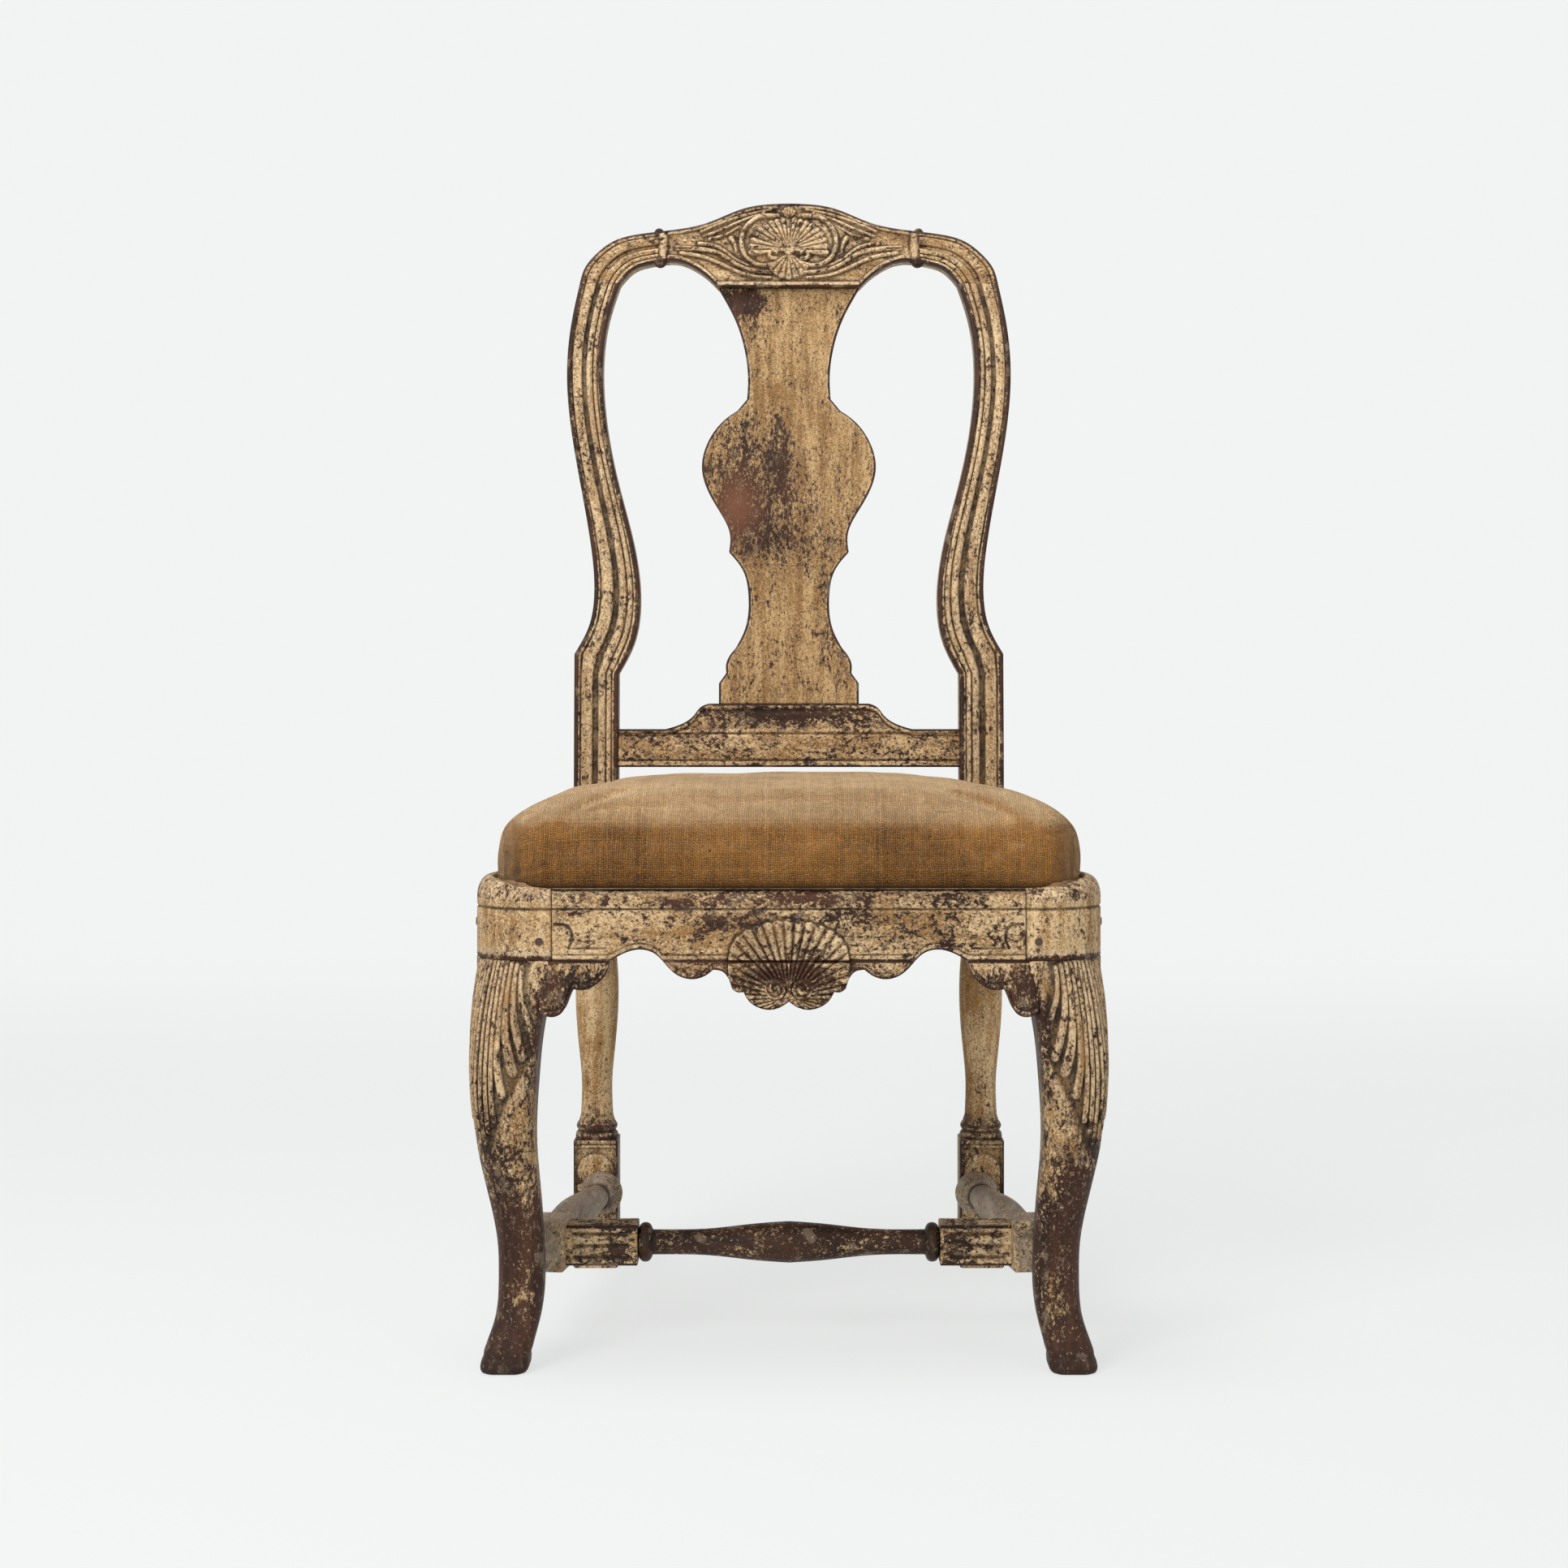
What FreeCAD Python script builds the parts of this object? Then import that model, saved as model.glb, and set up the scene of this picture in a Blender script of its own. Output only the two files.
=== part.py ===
# Rococo side chair: a joined, pegged and carved frame with a drop-in upholstered seat.
# Millimetres. X runs to the viewer's right, Y from the front of the chair to its back, Z up.
import FreeCAD, Part
import math
import os

from FreeCAD import Placement, Rotation, Vector

SIZES = (
    # seat frame
    ("seat_frame_height", 391, "floor to the top of the seat rails"),
    ("seat_front_width", 509, "over the front corners"),
    ("seat_rear_width", 410, "over the rear posts"),
    ("seat_depth", 400, "front rail face to rear post face"),
    ("corner_radius", 54, "rounding of the front corners in plan"),
    ("rail_height", 57.5, "seat rail, top to bottom"),
    ("rail_thickness", 26, "seat rail, face to back"),
    ("lip_width", 13, "edge of the rail left round the loose seat"),
    ("lip_rise", 9, "lip of the side rails over that of the front rail"),
    ("rebate_depth", 14, "recess for the loose seat"),
    ("rear_ledge", 12, "rear rail in front of the rear posts"),
    # front rail pattern and its carved drop
    ("arch_outer", 143.5, "centre to the outer end of the cut-out arch"),
    ("arch_inner", 101, "centre to the inner end of the cut-out arch"),
    ("arch_rise", 9.2, "arch above the rail bottom"),
    ("lobe_drop", 14.5, "side lobe below the rail bottom"),
    ("shell_width", 97, "carved shell, side to side"),
    ("shell_rise", 34, "shell above the rail bottom"),
    ("shell_drop", 39, "shell below the rail bottom"),
    ("shell_relief", 5, "shell in front of the rail face"),
    # front legs
    ("stump_size", 64.5, "square top of a front leg"),
    ("knee_bulge", 4.3, "knee beyond the corner of the seat frame"),
    ("knee_width", 58.6, "front leg at the knee"),
    ("ankle_width", 37.5, "front leg at the ankle"),
    ("ankle_inset", 18.5, "ankle behind the corner of the seat frame"),
    ("foot_width", 40, "front foot on the floor"),
    ("foot_inset", 4.5, "foot behind the corner of the seat frame"),
    ("bracket_length", 46.5, "knee bracket along the rail"),
    ("bracket_drop", 45, "knee bracket below the rail"),
    # rear posts
    ("post_width", 42, "square stock of a rear post"),
    ("foot_block_height", 122, "square foot of a rear post"),
    ("leg_ring_radius", 20.2, "turned ring over the square foot"),
    ("leg_neck_radius", 14.7, "thinnest turning of the rear leg"),
    ("leg_belly_radius", 20.6, "thickest turning of the rear leg"),
    ("leg_top_gap", 16, "square of the post below the seat rails"),
    ("stile_thickness", 30, "stile and crest, front to back"),
    ("bend_rise", 9, "start of the rake over the seat rails"),
    ("back_rake", 73, "lean of the back at the crest joint"),
    ("outer_kink_rise", 194, "outer shoulder of the stile over the seat rails"),
    ("inner_kink_rise", 175, "inner shoulder of the stile over the seat rails"),
    ("outer_waist", 18.3, "outer edge of the stile drawn in"),
    ("outer_swell", 10.6, "outer edge of the stile swelling out"),
    ("inner_waist", 20.3, "inner edge of the stile drawn in"),
    ("inner_swell", 18.3, "inner edge of the stile swelling out"),
    ("seam_width", 39, "stile at the crest joint"),
    # back
    ("back_rail_gap", 86, "seat rail tops to the lower back rail"),
    ("back_rail_height", 36, "lower back rail at its ends"),
    ("back_rail_thickness", 24, "lower back rail, front to back"),
    ("shoe_rise", 24.5, "shoe of the splat over the lower back rail"),
    ("shoe_width", 154, "flat top of the shoe"),
    ("splat_height", 407.5, "splat between shoe and crest"),
    ("splat_thickness", 12, "splat, front to back"),
    ("splat_foot_width", 134, "splat on the shoe"),
    ("splat_waist_width", 77.6, "splat at its lower waist"),
    ("splat_cusp_width", 115.4, "splat at the cusps below the belly"),
    ("splat_belly_width", 168.4, "splat at the belly"),
    ("splat_neck_width", 79.6, "splat at the neck"),
    ("splat_top_width", 138, "splat under the crest"),
    ("crest_height", 87, "crest at the centre"),
    ("seam_rise", 4, "crest joint over the underside of the crest"),
    ("crest_arch", 22.5, "underside of the crest over its joint"),
    # stretchers
    ("stretcher_front_height", 88, "side stretcher at the ankle"),
    ("stretcher_rear_height", 74, "side stretcher at the rear foot"),
    ("stretcher_front_inset", 6, "side stretcher inside the ankle centre"),
    ("stretcher_rear_inset", 8, "side stretcher inside the post centre"),
    ("stretcher_ball_radius", 20, "turned ball of a side stretcher"),
    ("stretcher_neck_radius", 12.4, "thin turning of a stretcher"),
    ("stretcher_swell_radius", 17.2, "thick turning of a stretcher"),
    ("stretcher_ring_radius", 16.4, "turned ring of a stretcher"),
    ("stretcher_block_size", 42, "square block of a side stretcher"),
    ("stretcher_block_length", 52, "block along the side stretcher"),
    ("stretcher_block_place", 54, "ankle end to the middle of the block"),
    ("cross_block_size", 34, "square end of the cross stretcher"),
    ("cross_block_length", 58, "square end along the cross stretcher"),
    ("cross_neck_radius", 10.4, "thin turning of the cross stretcher"),
    # joints
    ("tenon_thickness", 9, "flat tenon"),
    ("tenon_length", 20, "flat tenon in its mortise"),
    ("tenon_shoulder", 6, "wood above and below a flat tenon"),
    ("round_tenon_radius", 8, "turned tenon"),
    ("round_tenon_length", 17, "turned tenon in its hole"),
    ("tongue_depth", 9, "splat in its grooves"),
    ("tongue_thickness", 8, "splat tongue"),
    ("joint_clearance", 0.2, "free room round a tenon"),
    ("peg_radius", 3.2, "wooden peg"),
    ("peg_length", 22, "wooden peg"),
    # loose seat
    ("seat_clearance", 2, "loose seat inside the rail lip"),
    ("seat_gap", 0.3, "loose seat over its ledge"),
    ("cover_thickness", 1.2, "burlap cover"),
    ("cover_turn_in", 30, "cover folded under the slats"),
    ("crown_height", 86, "cushion over the seat rails"),
    ("cushion_side", 40, "upright side of the cushion over the seat rails"),
    ("slat_width", 46, "slat of the loose seat"),
    ("slat_thickness", 18, "slat of the loose seat"),
    ("strap_width", 50, "webbing strap"),
    ("strap_thickness", 1.5, "webbing strap"),
    ("strap_pitch", 96, "webbing strap to strap"),
    ("base_cloth_thickness", 1, "sackcloth over the webbing"),
    ("layer_gap", 0.3, "free room between layers of the loose seat"),
    ("tack_radius", 3, "tack head"),
    ("tack_length", 9, "tack"),
    ("tack_pitch", 52, "tack to tack"),
)

doc = FreeCAD.newDocument("rococo_chair")
sheet = doc.addObject("Spreadsheet::Sheet", "Sizes")
for row, (alias, value, note) in enumerate(SIZES, 1):
    sheet.set(f"A{row}", note)
    sheet.set(f"B{row}", str(value))
    sheet.setAlias(f"B{row}", alias)
doc.recompute()


def size(alias):
    """A driving size, read back from its cell."""
    return float(sheet.get(alias))


RAIL_TOP = size("seat_frame_height")
RAIL_BOTTOM = RAIL_TOP - size("rail_height")
LEDGE = RAIL_TOP - size("rebate_depth")
HALF_FRONT = size("seat_front_width") / 2
HALF_REAR = size("seat_rear_width") / 2
DEPTH = size("seat_depth")
STUMP = size("stump_size")
RAIL = size("rail_thickness")
LIP = size("lip_width")
SHOULDER_X = HALF_FRONT - STUMP
POST = size("post_width")
POST_INNER = HALF_REAR - POST
POST_MIDDLE = HALF_REAR - POST / 2
BEND = RAIL_TOP + size("bend_rise")
BACK_RAIL_BOTTOM = RAIL_TOP + size("back_rail_gap")
BACK_RAIL_TOP = BACK_RAIL_BOTTOM + size("back_rail_height")
SHOE_TOP = BACK_RAIL_TOP + size("shoe_rise")
CREST_BOTTOM = SHOE_TOP + size("splat_height")
SEAM = CREST_BOTTOM + size("seam_rise")
CREST_TOP = CREST_BOTTOM + size("crest_height")
SEAM_INNER = HALF_REAR - size("seam_width")
RAKE = size("back_rake")
BACK_RADIUS = ((SEAM - BEND) ** 2 + RAKE ** 2) / (2 * RAKE)
STILE = size("stile_thickness")
CLEAR = size("joint_clearance")
TENON = size("tenon_length")
TENON_THICK = size("tenon_thickness")
TENON_BOTTOM = RAIL_BOTTOM + size("tenon_shoulder")
TENON_HEIGHT = "Sizes.rail_height - Sizes.rebate_depth - 2 * Sizes.tenon_shoulder"
SIDE_SLOPE = math.atan2(HALF_FRONT - HALF_REAR, DEPTH - STUMP)
CORNER_LIMIT = STUMP * math.tan(math.pi / 4 - SIDE_SLOPE / 2) / math.cos(SIDE_SLOPE)
CORNER = min(size("corner_radius"), 0.97 * CORNER_LIMIT)
BITE = 2.0  # how far a fused part starts inside its neighbour

finished = []


def mix(start, end, share):
    """The value that lies a share of the way from start to end."""
    return start + (end - start) * share


def line(start, end):
    """A straight sketch edge between two points of the sketch plane."""
    return Part.LineSegment(Vector(*start, 0), Vector(*end, 0))


def arc(start, middle, end):
    """A circular sketch edge through three points of the sketch plane."""
    return Part.Arc(Vector(*start, 0), Vector(*middle, 0), Vector(*end, 0))


def spline(points):
    """A smooth sketch edge through points of the sketch plane."""
    curve = Part.BSplineCurve()
    curve.interpolate([Vector(*point, 0) for point in points])
    return curve


def edges(runs):
    """Sketch edges of an outline: a run of two points is straight, a longer one smooth."""
    return [line(*run) if len(run) == 2 else spline(run) for run in runs]


def closed(points):
    """Sketch edges of a straight-sided outline."""
    return [line(point, points[(at + 1) % len(points)]) for at, point in enumerate(points)]


def both_halves(runs):
    """A right-hand half outline, from top centre to bottom centre, with its mirror image."""
    left = [[(-x, z) for x, z in reversed(run)] for run in reversed(runs)]
    return edges(runs + left)


def sketch_in(body, name, curves, role):
    """A sketch of the given edges on one of the body's own origin planes."""
    outline = body.newObject("Sketcher::SketchObject", name)
    plane = [feature for feature in body.Origin.OriginFeatures if feature.Role == role][0]
    outline.AttachmentSupport = [(plane, "")]
    outline.MapMode = "FlatFace"
    outline.addGeometry(curves, False)
    return outline


def prism(name, curves, role, start, length):
    """A padded body: the outline on an origin plane, carried along +X, +Y or +Z from a start."""
    body = doc.addObject("PartDesign::Body", name)
    pad = body.newObject("PartDesign::Pad", name + "_pad")
    pad.Profile = sketch_in(body, name + "_outline", curves, role)
    pad.setExpression("Length", length)
    pad.Reversed = role == "XZ_Plane"
    body.Tip = pad
    body.Placement = Placement(start, Rotation())
    return body


def turned(name, runs, role, axis, place):
    """A lathe-turned body: a half profile turned about an axis of its sketch."""
    body = doc.addObject("PartDesign::Body", name)
    outline = sketch_in(body, name + "_profile", edges(runs), role)
    turning = body.newObject("PartDesign::Revolution", name + "_turning")
    turning.Profile = outline
    turning.ReferenceAxis = (outline, [axis])
    turning.Angle = 360
    body.Tip = turning
    body.Placement = place
    return body


def block(name, corner, length, width, height):
    """A box whose three sizes are expressions of the sheet."""
    box = doc.addObject("Part::Box", name)
    box.setExpression("Length", length)
    box.setExpression("Width", width)
    box.setExpression("Height", height)
    box.Placement = Placement(corner, Rotation())
    return box


def mortise(name, tenon):
    """The hollow for a tenon: its box with the joint clearance on every side."""
    hollow = doc.addObject("Part::Box", name)
    for side in ("Length", "Width", "Height"):
        hollow.setExpression(side, f"{tenon.Name}.{side} + 2 mm * Sizes.joint_clearance")
    hollow.Placement = Placement(tenon.Placement.Base - Vector(CLEAR, CLEAR, CLEAR), Rotation())
    return hollow


def rod(name, start, direction, radius, length):
    """A cylinder from a start point along a direction, its sizes expressions of the sheet."""
    cylinder = doc.addObject("Part::Cylinder", name)
    cylinder.setExpression("Radius", radius)
    cylinder.setExpression("Height", length)
    cylinder.Placement = Placement(start, Rotation(Vector(0, 0, 1), direction))
    return cylinder


def fuse(name, pieces):
    """One solid of several."""
    whole = doc.addObject("Part::MultiFuse", name)
    whole.Shapes = pieces
    whole.Refine = True
    return whole


def common(name, first, second):
    """What two patterns share, as a piece sawn to both."""
    shared = doc.addObject("Part::Common", name)
    shared.Base = first
    shared.Tool = second
    return shared


def cut(name, base, tools):
    """A solid less its hollows."""
    rest = doc.addObject("Part::Cut", name)
    rest.Base = base
    rest.Tool = tools[0] if len(tools) == 1 else fuse(name + "_hollows", tools)
    rest.Refine = True
    return rest


def group(name, pieces):
    """Like pieces that stay separate solids."""
    together = doc.addObject("Part::Compound", name)
    together.Links = pieces
    return together


def mirrored(name, source):
    """The left-hand twin of a right-hand piece."""
    twin = doc.addObject("Part::Mirroring", name)
    twin.Source = source
    twin.Normal = Vector(1, 0, 0)
    twin.Base = Vector(0, 0, 0)
    return twin


def finish(label, piece):
    """Name a finished sub-part for its file."""
    piece.Label = label
    finished.append(piece)
    return piece


def finish_pair(stem, right):
    """Name a right-hand piece and its left-hand twin."""
    finish(stem + "_right", right)
    finish(stem + "_left", mirrored(stem + "_twin", right))
    return right


def side_x(y, inset):
    """X of the right side of the seat frame at a depth, an inset measured square to that side."""
    return HALF_FRONT - inset / math.cos(SIDE_SLOPE) - (y - STUMP) * math.tan(SIDE_SLOPE)


def front_corner(inset, radius):
    """Tangent points and middle of the rounded right front corner of the seat plan."""
    tip = Vector(side_x(inset, inset), inset, 0)
    along = radius / math.tan((math.pi / 2 - SIDE_SLOPE) / 2)
    on_front = tip + Vector(-along, 0, 0)
    on_side = tip + Vector(-math.sin(SIDE_SLOPE), math.cos(SIDE_SLOPE), 0) * along
    centre = on_front + Vector(0, radius, 0)
    middle = centre + (tip - centre).normalize() * radius
    return [(point.x, point.y) for point in (on_front, middle, on_side)]


def rear_corner(inset, rear, radius):
    """Tangent points and middle of the rounded right rear corner of the seat plan."""
    tip = Vector(side_x(rear, inset), rear, 0)
    along = radius / math.tan((math.pi / 2 + SIDE_SLOPE) / 2)
    on_side = tip - Vector(-math.sin(SIDE_SLOPE), math.cos(SIDE_SLOPE), 0) * along
    on_rear = tip + Vector(-along, 0, 0)
    centre = on_rear - Vector(0, radius, 0)
    middle = centre + (tip - centre).normalize() * radius
    return [(point.x, point.y) for point in (on_side, middle, on_rear)]


def seat_plan(inset, rear, radius, rear_radius):
    """Closed plan of the seat: straight sides, rounded corners, symmetric about X = 0."""
    f0, f1, f2 = front_corner(inset, radius)
    r0, r1, r2 = rear_corner(inset, rear, rear_radius)
    flip = [(-x, y) for x, y in (f0, f1, f2, r0, r1, r2)]
    return [
        line(flip[0], f0), arc(f0, f1, f2), line(f2, r0), arc(r0, r1, r2),
        line(r2, flip[5]), arc(flip[5], flip[4], flip[3]), line(flip[3], flip[2]),
        arc(flip[2], flip[1], flip[0]),
    ]


def plan_section(name, curves, height):
    """A flat section of a loft at a height."""
    section = doc.addObject("Sketcher::SketchObject", name)
    section.addGeometry(curves, False)
    section.Placement = Placement(Vector(0, 0, height), Rotation())
    return section


def loft(name, sections, straight):
    """A solid through flat sections, smooth or straight from one section to the next."""
    skin = doc.addObject("Part::Loft", name)
    skin.Sections = sections
    skin.Solid = True
    skin.Ruled = straight
    return skin


def back_y(height, depth):
    """Y of the raked back at a height, a depth measured behind its front face."""
    radius = BACK_RADIUS - depth
    return DEPTH + BACK_RADIUS - math.sqrt(radius ** 2 - (height - BEND) ** 2)


def back_slab(name, depth, thickness, low, high):
    """Side pattern of the raked back between two heights: two concentric arcs, right across."""
    middle = (low + high) / 2
    front = [(back_y(height, depth), height) for height in (low, middle, high)]
    rear = [(back_y(height, depth + thickness), height) for height in (high, middle, low)]
    curves = [arc(*front), line(front[2], rear[0]), arc(*rear), line(rear[2], front[0])]
    start = Vector(-HALF_FRONT, 0, 0)
    return prism(name, curves, "YZ_Plane", start, "Sizes.seat_front_width")


def front_pattern(name, curves):
    """Front pattern of a back piece, deep enough to be sawn to the side pattern."""
    start = Vector(0, DEPTH - POST, 0)
    return prism(name, curves, "XZ_Plane", start, "4 * Sizes.back_rake + 2 * Sizes.post_width")


# Hollow of the loose seat, shared by the rails and the front legs.
def seat_hollow(name):
    """The recess that the loose seat drops into."""
    plan = seat_plan(LIP, DEPTH, CORNER - LIP, LIP / 2)
    return prism(name, plan, "XY_Plane", Vector(0, 0, LEDGE),
                 "2 * Sizes.rebate_depth + Sizes.lip_rise")


# Flat tenons of the seat rails; the same boxes, grown by the clearance, hollow their mortises.
front_tenon = block(
    "front_tenon", Vector(SHOULDER_X - BITE, (RAIL - TENON_THICK) / 2, TENON_BOTTOM),
    f"Sizes.tenon_length + {BITE}", "Sizes.tenon_thickness", TENON_HEIGHT)
side_tenon_front = block(
    "side_tenon_front",
    Vector(side_x(STUMP, RAIL / 2) - TENON_THICK / 2, STUMP - TENON, TENON_BOTTOM),
    "Sizes.tenon_thickness", f"Sizes.tenon_length + {BITE}", TENON_HEIGHT)
side_tenon_rear = block(
    "side_tenon_rear",
    Vector(side_x(DEPTH, RAIL / 2) - TENON_THICK / 2, DEPTH - BITE, TENON_BOTTOM),
    "Sizes.tenon_thickness", f"Sizes.tenon_length + {BITE}", TENON_HEIGHT)
rear_tenon = block(
    "rear_tenon", Vector(POST_INNER - BITE, DEPTH + (RAIL - TENON_THICK) / 2, TENON_BOTTOM),
    f"Sizes.tenon_length + {BITE}", "Sizes.tenon_thickness", TENON_HEIGHT)

# Tenons of the back.
back_rail_middle = (BACK_RAIL_BOTTOM + BACK_RAIL_TOP) / 2
back_rail_depth = (STILE - size("back_rail_thickness")) / 2
back_rail_tenon = block(
    "back_rail_tenon",
    Vector(POST_INNER - BITE, back_y(back_rail_middle, STILE / 2) - TENON_THICK / 2,
           BACK_RAIL_BOTTOM + size("tenon_shoulder")),
    f"Sizes.tenon_length + {BITE}", "Sizes.tenon_thickness",
    "Sizes.back_rail_height - 2 * Sizes.tenon_shoulder")
crest_tenon_x = (HALF_REAR + SEAM_INNER) / 2
crest_tenon_width = 16.0
crest_tenon = block(
    "crest_tenon",
    Vector(crest_tenon_x - crest_tenon_width / 2,
           back_y(SEAM + TENON / 2, STILE / 2) - TENON_THICK / 2, SEAM - BITE),
    f"{crest_tenon_width}", "Sizes.tenon_thickness", f"0.9 * Sizes.tenon_length + {BITE}")

# Pegs: their holes have the same axis and the joint clearance.
PEG_PROUD = 0.5  # a peg's head stands this far out of the wood
SIDE_PEG_LIFT = 12.0  # the side pegs pass over the front pegs
peg_height = RAIL_BOTTOM + 0.27 * size("rail_height")
front_peg_start = Vector(SHOULDER_X + TENON / 2, -PEG_PROUD, peg_height)
side_peg_y = STUMP - TENON / 2
side_peg_start = Vector(side_x(side_peg_y, 0) + PEG_PROUD, side_peg_y, peg_height + SIDE_PEG_LIFT)
post_peg_start = Vector(HALF_REAR + PEG_PROUD, DEPTH + TENON / 2, peg_height + SIDE_PEG_LIFT)
crest_peg_height = SEAM + 0.4 * TENON
crest_peg_start = Vector(
    crest_tenon_x, back_y(crest_peg_height, STILE) + PEG_PROUD, crest_peg_height)
back_peg_start = Vector(
    POST_INNER + TENON / 2, back_y(back_rail_middle, STILE) + PEG_PROUD, back_rail_middle)
INWARD = Vector(-1, 0, 0)
BACKWARD = Vector(0, 1, 0)
FORWARD = Vector(0, -1, 0)


def peg(name, start, direction):
    """A wooden peg driven in from a start point."""
    return rod(name, start, direction, "Sizes.peg_radius", "Sizes.peg_length")


def peg_hole(name, start, direction):
    """The bored hole of a peg."""
    return rod(name, start, direction, "Sizes.peg_radius + Sizes.joint_clearance / 2",
               "Sizes.peg_length + Sizes.joint_clearance")


# Side stretcher axis, from the ankle back and inward to the rear foot.
ankle_centre = HALF_FRONT - size("ankle_inset") - size("ankle_width") / 2
ankle_back = size("ankle_inset") + size("ankle_width")
ANKLE_ROOM = 1.4  # the turned end stands this far off the round ankle
stretcher_start = Vector(ankle_centre - size("stretcher_front_inset"), ankle_back + ANKLE_ROOM,
                         size("stretcher_front_height"))
stretcher_end = Vector(POST_MIDDLE - size("stretcher_rear_inset"), DEPTH,
                       size("stretcher_rear_height"))
stretcher_run = stretcher_end - stretcher_start
stretcher_length = stretcher_run.Length
stretcher_way = Vector(stretcher_run).normalize()
stretcher_place = Placement(stretcher_start, Rotation(Vector(1, 0, 0), stretcher_way))
cross_centre = stretcher_start + stretcher_way * size("stretcher_block_place")
ROUND_TENON = size("round_tenon_length")


def stretcher_rod(name, spare):
    """The turned tenons of a side stretcher as one rod, or their holes with spare room."""
    start = stretcher_start - stretcher_way * (ANKLE_ROOM + ROUND_TENON + spare)
    whole = stretcher_length + ANKLE_ROOM + 2 * ROUND_TENON + 2 * spare
    return rod(name, start, stretcher_way, f"Sizes.round_tenon_radius + {spare}", f"{whole}")


def cross_rod(name, spare):
    """The turned tenons of the cross stretcher as one rod, or their holes with spare room."""
    reach = cross_centre.x - size("stretcher_block_size") / 2 + ROUND_TENON + spare
    start = Vector(-reach, cross_centre.y, cross_centre.z)
    return rod(name, start, Vector(1, 0, 0), f"Sizes.round_tenon_radius + {spare}", f"{2 * reach}")


def rounded_section(name, outer_inset, width, radii, height):
    """A rounded square of a front leg: its outer faces lie an inset inside the frame corner.

    The radii are those of the outer corner, the two side corners and the inner corner.
    """
    outer, side, inner = (min(radius, limit * width) for radius, limit in zip(radii, (0.88, 0.48, 0.48)))
    x1 = HALF_FRONT - outer_inset
    x0 = x1 - width
    y0 = outer_inset
    y1 = y0 + width
    bend = 1 - math.sqrt(0.5)
    corners = (
        (x1, y0, -1, 1, outer), (x1, y1, -1, -1, side), (x0, y1, 1, -1, inner), (x0, y0, 1, 1, side),
    )
    curves = []
    last = None
    for at, (x, y, sx, sy, radius) in enumerate(corners):
        on_x = (x + sx * radius, y)
        on_y = (x, y + sy * radius)
        middle = (x + sx * radius * bend, y + sy * radius * bend)
        start, end = (on_x, on_y) if at % 2 == 0 else (on_y, on_x)
        if last:
            curves.append(line(last, start))
        else:
            first = start
        curves.append(arc(start, middle, end))
        last = end
    curves.append(line(last, first))
    return plan_section(name, curves, height)


def lip_waste(name):
    """Wood sawn off the leg's top across the corner: the lip climbs from the front rail to the side rail."""
    diagonal = math.sqrt(0.5)
    low = LIP * diagonal
    high = (side_x(STUMP, LIP) - SHOULDER_X + STUMP) * diagonal
    lift = RAIL_TOP + size("lip_rise")
    ramp = [(mix(low, high, along), mix(RAIL_TOP, lift, up)) for along, up in (
        (0, 0), (0.3, 0.2), (0.65, 0.75), (0.9, 0.95))]
    over = (mix(low, high, 1.25), mix(RAIL_TOP, lift, 1.25))
    waste = prism(name, edges([
        [(-STUMP, RAIL_TOP), ramp[0]],
        ramp,
        [ramp[-1], over],
        [over, (-STUMP, over[1])],
        [(-STUMP, over[1]), (-STUMP, RAIL_TOP)],
    ]), "XZ_Plane", Vector(0, 0, 0), "4 * Sizes.stump_size")
    reach = 2 * STUMP * diagonal
    waste.Placement = Placement(Vector(SHOULDER_X + reach, -reach, 0), Rotation(Vector(0, 0, 1), 45))
    return waste


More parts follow.
